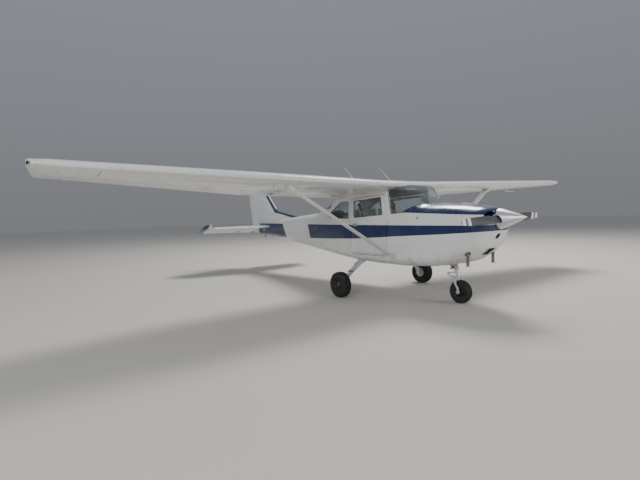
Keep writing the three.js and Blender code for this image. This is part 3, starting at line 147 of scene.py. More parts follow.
class Net:
    """Adds nodes to one node tree and joins them up."""

    def __init__(self, tree: bpy.types.NodeTree) -> None:
        """Starts on a tree.

        Args:
            tree: the node tree that the nodes go into.
        """
        self.tree = tree

    def node(self, kind: str, inputs: dict[str, object] | None = None, **settings: object) -> Node:
        """Adds one node.

        Args:
            kind: the node's type name in Blender.
            inputs: values or sockets for its inputs, by name.
            **settings: the node's own properties.

        Returns:
            The new node.
        """
        made = self.tree.nodes.new(kind)
        for name, value in settings.items():
            setattr(made, name, value)
        self.fill(made, inputs or {})
        return made

    def fill(self, node: Node, inputs: dict[str, object]) -> None:
        """Feeds several inputs of a node.

        Args:
            node: the node.
            inputs: values or sockets for its inputs, by name.
        """
        for name, value in inputs.items():
            self.feed(node.inputs[name], value)

    def feed(self, socket: Socket, value: object) -> None:
        """Links a socket into an input, or sets the input to a plain value.

        Args:
            socket: the input.
            value: a socket, a number, a colour or a vector.
        """
        if isinstance(value, bpy.types.NodeSocket):
            self.tree.links.new(value, socket)
        elif socket.type == "RGBA" and len(value) == 3:
            socket.default_value = (*value, 1.0)
        else:
            socket.default_value = value

    def math(self, operation: str, a: Level, b: Level = 0.0, clamp: bool = False) -> Socket:
        """Adds a Math node.

        Args:
            operation: its operation.
            a: the first value.
            b: the second value.
            clamp: whether the result is kept from 0 to 1.

        Returns:
            The result's socket.
        """
        made = self.node("ShaderNodeMath", operation=operation, use_clamp=clamp)
        self.feed(made.inputs[0], a)
        self.feed(made.inputs[1], b)
        return made.outputs[0]

    def total(self, *levels: Level) -> Socket:
        """Adds up masks and keeps the sum from 0 to 1.

        Args:
            *levels: the masks.

        Returns:
            The sum's socket.
        """
        found = levels[0]
        for level in levels[1:]:
            found = self.math("ADD", found, level, clamp=True)
        return found

    def product(self, *levels: Level) -> Socket:
        """Multiplies masks.

        Args:
            *levels: the masks.

        Returns:
            The product's socket.
        """
        found = levels[0]
        for level in levels[1:]:
            found = self.math("MULTIPLY", found, level)
        return found

    def above(self, value: Level, edge: Level, soft: float = 0.002) -> Socket:
        """Makes a mask that is 1 where a value is above an edge.

        Args:
            value: the value.
            edge: the edge.
            soft: the width over which the mask turns from 0 to 1.

        Returns:
            The mask's socket.
        """
        past = self.math("SUBTRACT", value, edge)
        return self.remap(past, -soft / 2, soft / 2, 0.0, 1.0)

    def between(self, value: Level, low: Level, high: Level, soft: float = 0.002) -> Socket:
        """Makes a mask that is 1 where a value lies between two edges.

        Args:
            value: the value.
            low: the lower edge.
            high: the upper edge.
            soft: the width of each soft edge.

        Returns:
            The mask's socket.
        """
        return self.product(self.above(value, low, soft), self.above(high, value, soft))

    def remap(self, value: Level, low: float, high: float, to_low: float, to_high: float) -> Socket:
        """Maps one range to another and keeps the result inside it.

        Args:
            value: the value.
            low: where the range starts.
            high: where it ends.
            to_low: what its start turns into.
            to_high: what its end turns into.

        Returns:
            The mapped value's socket.
        """
        inputs = {
            "Value": value, "From Min": low, "From Max": high, "To Min": to_low, "To Max": to_high,
        }
        return self.node("ShaderNodeMapRange", inputs, clamp=True).outputs["Result"]

    def tint(self, share: Level, under: object, over: object) -> Socket:
        """Lays one colour over another.

        Args:
            share: how much of the upper colour shows.
            under: the lower colour, or its socket.
            over: the upper colour, or its socket.

        Returns:
            The mixed colour's socket.
        """
        made = self.node("ShaderNodeMix", data_type="RGBA", clamp_factor=True)
        self.feed(made.inputs[0], share)
        self.feed(made.inputs[6], under)
        self.feed(made.inputs[7], over)
        return made.outputs[2]

    def spots(self, where: Socket, scale: float, detail: float = 3.0) -> Socket:
        """Adds a noise texture.

        Args:
            where: the coordinates.
            scale: how many features a metre holds.
            detail: its octaves.

        Returns:
            The noise, from 0 to 1.
        """
        inputs = {"Vector": where, "Scale": scale, "Detail": detail}
        return self.node("ShaderNodeTexNoise", inputs).outputs["Fac"]

    def place(self) -> Socket:
        """The point's place in its object, which is the part's frame at rest."""
        return self.node("ShaderNodeTexCoord").outputs["Object"]

    def parts(self, where: Socket) -> tuple[Socket, Socket, Socket]:
        """Splits a vector.

        Args:
            where: the vector.

        Returns:
            Its X, its station (Y counted from the datum) and its Z.
        """
        split = self.node("ShaderNodeSeparateXYZ", {"Vector": where})
        station = self.math("ADD", split.outputs["Y"], DATUM_TO_ORIGIN)
        return split.outputs["X"], station, split.outputs["Z"]

    def line(self, value: Level, points: Sequence[Pair]) -> Socket:
        """Makes a value that runs through corners, straight from each to the next.

        Args:
            value: the value along the line.
            points: its corners, as (value, height), in rising order.

        Returns:
            The height's socket.
        """
        (first, height), *others = points
        found: Level = height
        start, level = first, height
        for end, next_level in others:
            rise = self.remap(value, start, end, 0.0, next_level - level)
            found = self.math("ADD", found, rise)
            start, level = end, next_level
        return found

    def effect(self, group: bpy.types.NodeTree, **inputs: object) -> Node:
        """Places a shared effect.

        Args:
            group: the effect's node group.
            **inputs: its inputs, by name with underscores for spaces.

        Returns:
            The group node.
        """
        made = self.node("ShaderNodeGroup", node_tree=group)
        for name, value in inputs.items():
            self.feed(made.inputs[name.replace("_", " ")], value)
        return made


class Effects:
    """The effects that several finishes share, each built once as a node group."""

    @staticmethod
    def _group(
        name: str, inputs: dict[str, tuple[str, object]], outputs: dict[str, str]
    ) -> tuple[bpy.types.NodeTree, Net, Node, Node]:
        """Starts a group with named sockets.

        Args:
            name: the group's name.
            inputs: socket type and starting value of each input, by name.
            outputs: socket type of each output, by name.

        Returns:
            The tree, its net, its input node and its output node.
        """
        tree = bpy.data.node_groups.new(name, "ShaderNodeTree")
        for title, (kind, value) in inputs.items():
            socket = tree.interface.new_socket(title, in_out="INPUT", socket_type=kind)
            if value is not None:
                socket.default_value = value
        for title, kind in outputs.items():
            tree.interface.new_socket(title, in_out="OUTPUT", socket_type=kind)
        net = Net(tree)
        return tree, net, net.node("NodeGroupInput"), net.node("NodeGroupOutput")

    @staticmethod
    @cache
    def grain() -> bpy.types.NodeTree:
        """A fine uneven surface: Scale and Height in, a Normal and a Mask out.

        Returns:
            The effect's node group.
        """
        tree, net, given, result = Effects._group(
            "fine_grain",
            {"Place": (VECTOR, None), "Scale": (NUMBER, 200.0), "Height": (NUMBER, 0.0002)},
            {"Normal": VECTOR, "Mask": NUMBER},
        )
        noise = net.node("ShaderNodeTexNoise", {"Detail": 4.0, "Vector": given.outputs["Place"]})
        net.feed(noise.inputs["Scale"], given.outputs["Scale"])
        bump = net.node("ShaderNodeBump", {"Strength": 0.6, "Height": noise.outputs["Fac"]})
        net.feed(bump.inputs["Distance"], given.outputs["Height"])
        net.feed(result.inputs["Normal"], bump.outputs["Normal"])
        net.feed(result.inputs["Mask"], noise.outputs["Fac"])
        return tree

    @staticmethod
    @cache
    def wear() -> bpy.types.NodeTree:
        """Rubbed edges: Amount in, a Mask of the raised edges out.

        Returns:
            The effect's node group.
        """
        tree, net, given, result = Effects._group(
            "edge_wear",
            {"Place": (VECTOR, None), "Amount": (NUMBER, 0.5)},
            {"Mask": NUMBER},
        )
        sharp = net.node("ShaderNodeNewGeometry").outputs["Pointiness"]
        edge = net.remap(sharp, 0.53, 0.62, 0.0, 1.0)
        broken = net.remap(net.spots(given.outputs["Place"], 60.0), 0.4, 0.65, 0.0, 1.0)
        mask = net.product(edge, broken, given.outputs["Amount"])
        net.feed(result.inputs["Mask"], mask)
        return tree

    @staticmethod
    @cache
    def dust() -> bpy.types.NodeTree:
        """Settled dust and grime: Scale and Amount in, a cloudy Mask out.

        Returns:
            The effect's node group.
        """
        tree, net, given, result = Effects._group(
            "dust",
            {"Place": (VECTOR, None), "Scale": (NUMBER, 3.0), "Amount": (NUMBER, 0.3)},
            {"Mask": NUMBER},
        )
        broad = net.node("ShaderNodeTexNoise", {"Detail": 5.0, "Vector": given.outputs["Place"]})
        net.feed(broad.inputs["Scale"], given.outputs["Scale"])
        fine = net.spots(given.outputs["Place"], 90.0)
        cloud = net.remap(broad.outputs["Fac"], 0.42, 0.7, 0.0, 1.0)
        speckled = net.product(cloud, net.remap(fine, 0.3, 0.7, 0.5, 1.0))
        net.feed(result.inputs["Mask"], net.product(speckled, given.outputs["Amount"]))
        return tree

    @staticmethod
    @cache
    def rivets() -> bpy.types.NodeTree:
        """Rows of rivets: where they run, Row Gap, Pitch and Radius in, their Mask and Seam out.

        Returns:
            The effect's node group.
        """
        tree, net, given, result = Effects._group(
            "rivet_rows",
            {
                "Along": (NUMBER, 0.0),
                "Across": (NUMBER, 0.0),
                "Row Gap": (NUMBER, 0.3),
                "Pitch": (NUMBER, 0.03),
                "Radius": (NUMBER, 0.0026),
            },
            {"Mask": NUMBER, "Seam": NUMBER},
        )
        offsets = []
        for name, gap in (("Along", "Pitch"), ("Across", "Row Gap")):
            share = net.math("DIVIDE", given.outputs[name], given.outputs[gap])
            nearest = net.math("ROUND", share)
            apart = net.math("SUBTRACT", share, nearest)
            offsets.append(net.math("MULTIPLY", apart, given.outputs[gap]))
        squares = [net.math("MULTIPLY", offset, offset) for offset in offsets]
        distance = net.math("SQRT", net.math("ADD", *squares))
        inside = net.math("SUBTRACT", given.outputs["Radius"], distance)
        net.feed(result.inputs["Mask"], net.remap(inside, 0.0, 0.0012, 0.0, 1.0))
        beside = net.math("ABSOLUTE", net.math("SUBTRACT", net.math("ABSOLUTE", offsets[1]), 0.012))
        net.feed(result.inputs["Seam"], net.remap(beside, 0.0004, 0.0016, 1.0, 0.0))
        return tree

    @staticmethod
    @cache
    def weave() -> bpy.types.NodeTree:
        """Woven threads: Threads a metre in, a Normal and a Mask of the high threads out.

        Returns:
            The effect's node group.
        """
        tree, net, given, result = Effects._group(
            "weave",
            {"Place": (VECTOR, None), "Threads": (NUMBER, 400.0)},
            {"Normal": VECTOR, "Mask": NUMBER},
        )
        split = net.node("ShaderNodeSeparateXYZ", {"Vector": given.outputs["Place"]})
        turn = net.math("MULTIPLY", given.outputs["Threads"], math.pi)
        slant = net.math("ADD", split.outputs["Y"], split.outputs["Z"])
        waves = [net.math("SINE", net.math("MULTIPLY", way, turn)) for way in (split.outputs["X"], slant)]
        height = net.math("MULTIPLY", waves[0], waves[1])
        bump = net.node("ShaderNodeBump", {"Strength": 0.5, "Distance": 0.0006, "Height": height})
        net.feed(result.inputs["Normal"], bump.outputs["Normal"])
        net.feed(result.inputs["Mask"], net.remap(height, -1.0, 1.0, 0.0, 1.0))
        return tree


# Finishes

WHITE: Colour = (0.78, 0.79, 0.78)
AGED_WHITE: Colour = (0.66, 0.65, 0.61)
NAVY: Colour = (0.005, 0.017, 0.082)
NAVY_FADED: Colour = (0.014, 0.04, 0.125)
TEAL: Colour = (0.012, 0.085, 0.12)
SOOT: Colour = (0.05, 0.042, 0.035)
DUST: Colour = (0.42, 0.38, 0.32)
OIL: Colour = (0.22, 0.17, 0.11)


@dataclass(frozen=True)
class Finish:
    """A finish, made into one Blender material the first time it is asked for."""

    name: str

    def material(self) -> bpy.types.Material:
        """The finish's material.

        Returns:
            The material, made on the first call and found again after it.
        """
        found = bpy.data.materials.get(self.name)
        if found:
            return found
        made = bpy.data.materials.new(self.name)
        made.use_nodes = True
        made.node_tree.nodes.clear()
        net = Net(made.node_tree)
        shader = net.node("ShaderNodeBsdfPrincipled")
        output = net.node("ShaderNodeOutputMaterial")
        net.feed(output.inputs["Surface"], shader.outputs["BSDF"])
        self.dress(net, shader)
        return made

    def dress(self, net: Net, shader: Node) -> None:
        """Feeds the shader. Each finish has its own way.

        Args:
            net: the material's net.
            shader: its Principled shader.
        """
        raise NotImplementedError


class Livery(Enum):
    """Which painted pattern a surface carries."""

    BARE = "bare"
    HULL = "hull"
    FIN = "fin"
    TAILPLANE = "tailplane"


class Rows(Enum):
    """Which way the rivet rows run on a skin."""

    NONE = "none"
    FRAMES = "frames"
    RIBS = "ribs"
    LEVELS = "levels"


STRIPE_LOW = [(-0.90, 1.150), (-0.18, 1.10), (0.63, 1.053), (1.63, 0.984), (2.43, 0.958), (6.3, 0.86)]
STRIPE_TOP = 1.234
STRIPE_GAP = {"front": 3.27, "front_slant": 0.52, "back": 4.49, "back_slant": 0.92, "foot": 0.93}
HOOD_LOW = [(-0.96, 1.374), (-0.65, 1.387), (-0.19, 1.407), (0.49, 1.438)]
HOOD_END = 0.53
FIN_FOOT, FIN_HEAD, DORSAL_FOOT = (5.34, 1.56), (6.35, 2.54), (4.30, 1.38)
FIN_BAND = (0.012, 0.085)
TIP_BAND = 1.60


@dataclass(frozen=True)
class Paint(Finish):
    """Gloss aircraft paint with its pattern, rivets, seams and age."""

    base: Colour = WHITE
    aged: Colour = AGED_WHITE
    livery: Livery = Livery.BARE
    rows: Rows = Rows.NONE
    row_gap: float = 0.38
    grime: float = 0.35
    gloss: float = 0.24

    def dress(self, net: Net, shader: Node) -> None:
        """Paints the pattern over the base coat, then adds rivets, seams and grime.

        Args:
            net: the material's net.
            shader: its Principled shader.
        """
        where = net.place()
        x, station, z = net.parts(where)
        dust = net.effect(Effects.dust(), Place=where, Scale=2.6, Amount=self.grime)
        colour = net.tint(dust.outputs["Mask"], self.base, self.aged)
        mask = self._pattern(net, x, station, z)
        if mask is not None:
            sun = net.remap(net.spots(where, 1.7), 0.3, 0.8, 0.0, 0.7)
            accent = TEAL if self.livery in (Livery.FIN, Livery.TAILPLANE) else NAVY
            blue = net.tint(sun, accent, NAVY_FADED)
            colour = net.tint(mask, colour, blue)
        rough = net.remap(net.spots(where, 5.0), 0.3, 0.8, self.gloss, self.gloss + 0.14)
        height: Level = 0.0
        if self.rows is not Rows.NONE:
            along, across = {
                Rows.FRAMES: (z, station),
                Rows.RIBS: (station, x),
                Rows.LEVELS: (station, z),
            }[self.rows]
            rivets = net.effect(Effects.rivets(), Along=along, Across=across, Row_Gap=self.row_gap)
            dark = net.math("MULTIPLY", rivets.outputs["Seam"], 0.55)
            colour = net.tint(dark, colour, SOOT)
            ring = net.math("MULTIPLY", rivets.outputs["Mask"], 0.18)
            colour = net.tint(ring, colour, DUST)
            height = net.math("SUBTRACT", rivets.outputs["Mask"], rivets.outputs["Seam"])
        belly = net.product(
            net.remap(z, 0.95, 0.55, 0.0, 1.0),
            net.remap(net.spots(where, 7.0, 6.0), 0.45, 0.75, 0.0, 0.55),
        )
        colour = net.tint(belly, colour, OIL)
        grain = net.effect(Effects.grain(), Place=where, Scale=260.0, Height=0.00004)
        bump = net.node("ShaderNodeBump", {"Strength": 0.5, "Distance": 0.0006})
        net.feed(bump.inputs["Height"], height)
        net.feed(bump.inputs["Normal"], grain.outputs["Normal"])
        net.fill(shader, {
            "Base Color": colour,
            "Roughness": rough,
            "Normal": bump.outputs["Normal"],
            "Coat Weight": 0.45,
            "Coat Roughness": 0.08,
        })

    def _pattern(self, net: Net, x: Socket, station: Socket, z: Socket) -> Socket | None:
        """Makes the mask of the coloured paint.

        Args:
            net: the material's net.
            x: the point's X.
            station: its station.
            z: its height.

        Returns:
            The mask's socket, or None on a plain surface.
        """
        if self.livery is Livery.HULL:
            band = net.between(z, net.line(station, STRIPE_LOW), STRIPE_TOP)
            rise = net.math("SUBTRACT", z, STRIPE_GAP["foot"])
            edges = [
                net.math("ADD", STRIPE_GAP[end], net.math("MULTIPLY", rise, STRIPE_GAP[f"{end}_slant"]))
                for end in ("front", "back")
            ]
            bare = net.between(station, *edges)
            band = net.product(band, net.math("SUBTRACT", 1.0, bare))
            hood = net.product(
                net.above(z, net.line(station, HOOD_LOW)), net.above(HOOD_END, station)
            )
            return net.total(band, hood)
        if self.livery is Livery.FIN:
            slope = (FIN_HEAD[0] - FIN_FOOT[0]) / (FIN_HEAD[1] - FIN_FOOT[1])
            lead = net.math("ADD", FIN_FOOT[0] - FIN_FOOT[1] * slope, net.math("MULTIPLY", z, slope))
            behind = net.math("MULTIPLY", net.math("SUBTRACT", station, lead), 1 / math.hypot(1, slope))
            ridge = net.line(station, [DORSAL_FOOT, FIN_FOOT, (FIN_FOOT[0] + 0.3, FIN_FOOT[1] + 0.3)])
            below = net.math("SUBTRACT", ridge, z)
            front = net.product(net.between(behind, *FIN_BAND), net.above(z, FIN_FOOT[1] - 0.06))
            spine = net.product(net.between(below, -0.02, 0.06), net.above(FIN_FOOT[0] + 0.05, station))
            return net.total(front, spine)
        if self.livery is Livery.TAILPLANE:
            return net.above(net.math("ABSOLUTE", x), TIP_BAND)
        return None


@dataclass(frozen=True)
class Metal(Finish):
    """Bare, polished or cast metal with fine scratches and rubbed edges."""

    colour: Colour = (0.75, 0.76, 0.78)
    dull: Colour = (0.45, 0.45, 0.46)
    roughness: float = 0.2
    scratches: float = 0.1

    def dress(self, net: Net, shader: Node) -> None:
        """Feeds the shader with scratched metal.

        Args:
            net: the material's net.
            shader: its Principled shader.
        """
        where = net.place()
        stretch = net.node("ShaderNodeMapping", {"Vector": where, "Scale": (180.0, 12.0, 180.0)})
        lines = net.spots(stretch.outputs["Vector"], 1.0, 2.0)
        dust = net.effect(Effects.dust(), Place=where, Scale=9.0, Amount=0.5)
        colour = net.tint(dust.outputs["Mask"], self.colour, self.dull)
        wear = net.effect(Effects.wear(), Place=where, Amount=0.5)
        colour = net.tint(wear.outputs["Mask"], colour, (0.9, 0.9, 0.9))
        top = self.roughness + self.scratches
        grain = net.effect(Effects.grain(), Place=where, Scale=150.0, Height=0.00006)
        net.fill(shader, {
            "Base Color": colour,
            "Roughness": net.remap(lines, 0.35, 0.7, self.roughness, top),
            "Normal": grain.outputs["Normal"],
            "Metallic": 1.0,
        })


@dataclass(frozen=True)
class Coated(Finish):
    """Painted or moulded hard surface, satin, with worn edges and dust."""

    colour: Colour = (0.1, 0.1, 0.1)
    worn: Colour = (0.5, 0.5, 0.5)
    roughness: float = 0.45
    grime: float = 0.4
    grain: float = 120.0
    relief: float = 0.0001

    def dress(self, net: Net, shader: Node) -> None:
        """Feeds the shader with satin paint or plastic.

        Args:
            net: the material's net.
            shader: its Principled shader.
        """
        where = net.place()
        dust = net.effect(Effects.dust(), Place=where, Scale=6.0, Amount=self.grime)
        wear = net.effect(Effects.wear(), Place=where, Amount=0.8)
        grain = net.effect(Effects.grain(), Place=where, Scale=self.grain, Height=self.relief)
        shade = net.remap(grain.outputs["Mask"], 0.3, 0.7, 0.0, 0.25)
        lighter = tuple(min(1.0, level * 1.35 + 0.01) for level in self.colour)
        colour = net.tint(shade, self.colour, lighter)
        colour = net.tint(dust.outputs["Mask"], colour, DUST)
        colour = net.tint(wear.outputs["Mask"], colour, self.worn)
        rough = net.remap(dust.outputs["Mask"], 0.0, 0.4, self.roughness, self.roughness + 0.2)
        net.fill(shader, {
            "Base Color": colour,
            "Roughness": rough,
            "Normal": grain.outputs["Normal"],
        })


@dataclass(frozen=True)
class Bladed(Finish):
    """Satin dark grey propeller paint with two white stripes near each tip."""

    body: Colour = (0.055, 0.06, 0.07)
    stripe: Colour = (0.85, 0.85, 0.84)
    stripes: tuple[Pair, ...] = ((0.765, 0.832), (0.872, 0.950))

    def dress(self, net: Net, shader: Node) -> None:
        """Paints the stripes by distance from the shaft, and nicks the leading edges.

        Args:
            net: the material's net.
            shader: its Principled shader.
        """
        where = net.place()
        x, _, _ = net.parts(where)
        reach = net.math("ABSOLUTE", x)
        mask = net.total(*(net.between(reach, low, high) for low, high in self.stripes))
        dust = net.effect(Effects.dust(), Place=where, Scale=5.0, Amount=0.14)
        wear = net.effect(Effects.wear(), Place=where, Amount=1.0)
        grain = net.effect(Effects.grain(), Place=where, Scale=220.0, Height=0.00005)
        colour = net.tint(dust.outputs["Mask"], self.body, DUST)
        colour = net.tint(mask, colour, self.stripe)
        colour = net.tint(wear.outputs["Mask"], colour, (0.6, 0.6, 0.6))
        net.fill(shader, {
            "Base Color": colour,
            "Roughness": net.remap(grain.outputs["Mask"], 0.3, 0.7, 0.28, 0.42),
            "Normal": grain.outputs["Normal"],
        })


@dataclass(frozen=True)
class Rubber(Finish):
    """Black rubber with cloudy patches of dust."""

    colour: Colour = (0.012, 0.012, 0.013)
    dusty: Colour = (0.09, 0.085, 0.078)
    roughness: float = 0.72

    def dress(self, net: Net, shader: Node) -> None:
        """Feeds the shader with weathered rubber.

        Args:
            net: the material's net.
            shader: its Principled shader.
        """
        where = net.place()
        dust = net.effect(Effects.dust(), Place=where, Scale=14.0, Amount=0.3)
        grain = net.effect(Effects.grain(), Place=where, Scale=420.0, Height=0.0003)
        colour = net.tint(dust.outputs["Mask"], self.colour, self.dusty)
        rough = net.remap(grain.outputs["Mask"], 0.3, 0.7, self.roughness - 0.1, self.roughness + 0.1)
        net.fill(shader, {
            "Base Color": colour,
            "Roughness": rough,
            "Normal": grain.outputs["Normal"],
        })


@dataclass(frozen=True)
class Clear(Finish):
    """Acrylic panes and glass lenses, with a faint film of dust and polishing swirls."""

    colour: Colour = (0.86, 0.92, 0.93)
    index: float = 1.49

    def dress(self, net: Net, shader: Node) -> None:
        """Feeds the shader with clear, slightly marked acrylic.

        Args:
            net: the material's net.
            shader: its Principled shader.
        """
        where = net.place()
        film = net.remap(net.spots(where, 5.0, 5.0), 0.4, 0.8, 0.0, 0.3)
        colour = net.tint(film, self.colour, tuple(level * 0.9 for level in self.colour))
        rough = net.remap(net.spots(where, 26.0, 4.0), 0.45, 0.8, 0.01, 0.06)
        grain = net.effect(Effects.grain(), Place=where, Scale=1.3, Height=0.0006)
        net.fill(shader, {
            "Base Color": colour,
            "Roughness": rough,
            "Normal": grain.outputs["Normal"],
            "Transmission Weight": 1.0,
            "IOR": self.index,
        })


@dataclass(frozen=True)
class Cloth(Finish):
    """Woven upholstery, carpet or webbing."""

    colour: Colour = (0.42, 0.4, 0.37)
    shade: Colour = (0.27, 0.26, 0.24)
    threads: float = 320.0
    sheen: float = 0.25

    def dress(self, net: Net, shader: Node) -> None:
        """Feeds the shader with a weave and worn patches.

        Args:
            net: the material's net.
            shader: its Principled shader.
        """
        where = net.place()
        weave = net.effect(Effects.weave(), Place=where, Threads=self.threads)
        dust = net.effect(Effects.dust(), Place=where, Scale=12.0, Amount=0.5)
        colour = net.tint(weave.outputs["Mask"], self.shade, self.colour)
        colour = net.tint(dust.outputs["Mask"], colour, self.shade)
        net.fill(shader, {
            "Base Color": colour,
            "Roughness": net.remap(weave.outputs["Mask"], 0.0, 1.0, 0.95, 0.8),
            "Normal": weave.outputs["Normal"],
            "Sheen Weight": self.sheen,
        })


@dataclass(frozen=True)
class HeatStained(Finish):
    """Exhaust steel: brown heat tint in patches over sooty grey."""

    tint: Colour = (0.23, 0.175, 0.12)
    grey: Colour = (0.12, 0.11, 0.10)

    def dress(self, net: Net, shader: Node) -> None:
        """Feeds the shader with heat-stained steel.

        Args:
            net: the material's net.
            shader: its Principled shader.
        """
        where = net.place()
        patch = net.remap(net.spots(where, 24.0, 5.0), 0.35, 0.7, 0.0, 1.0)
        dust = net.effect(Effects.dust(), Place=where, Scale=30.0, Amount=0.35)
        grain = net.effect(Effects.grain(), Place=where, Scale=300.0, Height=0.0002)
        colour = net.tint(patch, self.tint, self.grey)
        colour = net.tint(dust.outputs["Mask"], colour, (0.5, 0.45, 0.38))
        net.fill(shader, {
            "Base Color": colour,
            "Roughness": net.remap(patch, 0.0, 1.0, 0.4, 0.65),
            "Metallic": net.remap(patch, 0.0, 1.0, 0.75, 0.45),
            "Normal": grain.outputs["Normal"],
        })


@dataclass(frozen=True)
class Lamp(Finish):
    """A coloured lens."""

    colour: Colour = (0.42, 0.012, 0.012)

    def dress(self, net: Net, shader: Node) -> None:
        """Feeds the shader with a moulded, coloured lens.

        Args:
            net: the material's net.
            shader: its Principled shader.
        """
        where = net.place()
        grain = net.effect(Effects.grain(), Place=where, Scale=90.0, Height=0.0004)
        darker = tuple(level * 0.6 for level in self.colour)
        net.fill(shader, {
            "Base Color": net.tint(grain.outputs["Mask"], self.colour, darker),
            "Roughness": net.remap(grain.outputs["Mask"], 0.2, 0.8, 0.08, 0.2),
            "Normal": grain.outputs["Normal"],
            "Coat Weight": 0.8,
            "Transmission Weight": 0.35,
        })


@dataclass(frozen=True)
class Concrete(Finish):
    """The plain pale floor."""

    colour: Colour = (0.60, 0.57, 0.52)

    def dress(self, net: Net, shader: Node) -> None:
        """Feeds the shader with a pale, almost even floor.

        Args:
            net: the material's net.
            shader: its Principled shader.
        """
        where = net.place()
        dust = net.effect(Effects.dust(), Place=where, Scale=0.6, Amount=0.18)
        colour = net.tint(dust.outputs["Mask"], self.colour, tuple(c * 0.88 for c in self.colour))
        net.fill(shader, {
            "Base Color": colour,
            "Roughness": 0.85,
        })


class Finishes:
    """Every finish of the aircraft, by what it covers."""

    HULL = Paint("hull_paint", livery=Livery.HULL, rows=Rows.FRAMES, row_gap=0.46)
    COWL = Paint("cowl_paint", livery=Livery.HULL)
    WING = Paint("wing_paint", rows=Rows.RIBS, row_gap=0.385, grime=0.28)
    FIN = Paint("fin_paint", livery=Livery.FIN, rows=Rows.LEVELS, row_gap=0.30)
    TAILPLANE = Paint("tailplane_paint", rows=Rows.RIBS, row_gap=0.34)
    ELEVATOR = Paint("elevator_paint", livery=Livery.TAILPLANE, rows=Rows.RIBS, row_gap=0.155)
    PLAIN = Paint("trim_paint", grime=0.25)
    GEAR = Paint("gear_paint", base=(0.56, 0.55, 0.62), aged=(0.4, 0.38, 0.42), grime=0.6)
    # near-black dished wheels, main hub caps and nose wheel; the brake discs inboard stay pale
    HUB_DARK = Coated("near_black_wheel", colour=(0.014, 0.014, 0.015), roughness=0.5, grime=0.15)
    HUB_PALE = Coated("pale_wheel_paint", colour=(0.62, 0.61, 0.62), worn=(0.3, 0.3, 0.3), roughness=0.4)
    SPINNER = Metal("polished_metal", colour=(0.86, 0.87, 0.88), dull=(0.74, 0.75, 0.76), roughness=0.06)
    STEEL = Metal("brushed_steel", colour=(0.6, 0.6, 0.62), roughness=0.3)
    CHROME = Metal("chromed_piston", colour=(0.85, 0.85, 0.86), roughness=0.06, scratches=0.05)
    CAST = Metal("cast_metal", colour=(0.3, 0.3, 0.31), dull=(0.16, 0.15, 0.14), roughness=0.5)
    PROPELLER = Bladed("propeller_paint")
    TYRE = Rubber("tyre_rubber_black")
    SEAL = Rubber("seal_rubber", colour=(0.02, 0.02, 0.022), roughness=0.6)
    PANE = Clear("acrylic_pane")
    LENS = Clear("lens_glass", colour=(0.95, 0.97, 0.98))
    PIPE = HeatStained("exhaust_pipe")
    BLACK = Coated("panel_black", colour=(0.02, 0.02, 0.022), roughness=0.6, grime=0.06, grain=700.0)
    BAFFLE = Coated("engine_dark", colour=(0.012, 0.012, 0.012), roughness=0.75, grime=0.12)
    TRIM = Coated("cabin_trim_grey", colour=(0.3, 0.29, 0.28), roughness=0.6, grime=0.12, grain=900.0)
    CARPET = Cloth("cabin_carpet", colour=(0.1, 0.1, 0.11), shade=(0.05, 0.05, 0.055), threads=160.0)
    SEAT = Cloth("seat_cloth", colour=(0.62, 0.6, 0.56), shade=(0.45, 0.43, 0.4))
    SEAT_EDGE = Cloth("seat_bolster", colour=(0.22, 0.23, 0.26), shade=(0.14, 0.15, 0.17))
    WEBBING = Cloth("belt_webbing", colour=(0.1, 0.1, 0.11), shade=(0.05, 0.05, 0.05), threads=600.0)
    RED = Lamp("red_lens")
    GREEN = Lamp("green_lens", colour=(0.003, 0.07, 0.035))
    FLOOR = Concrete("pale_floor")


# Shapes


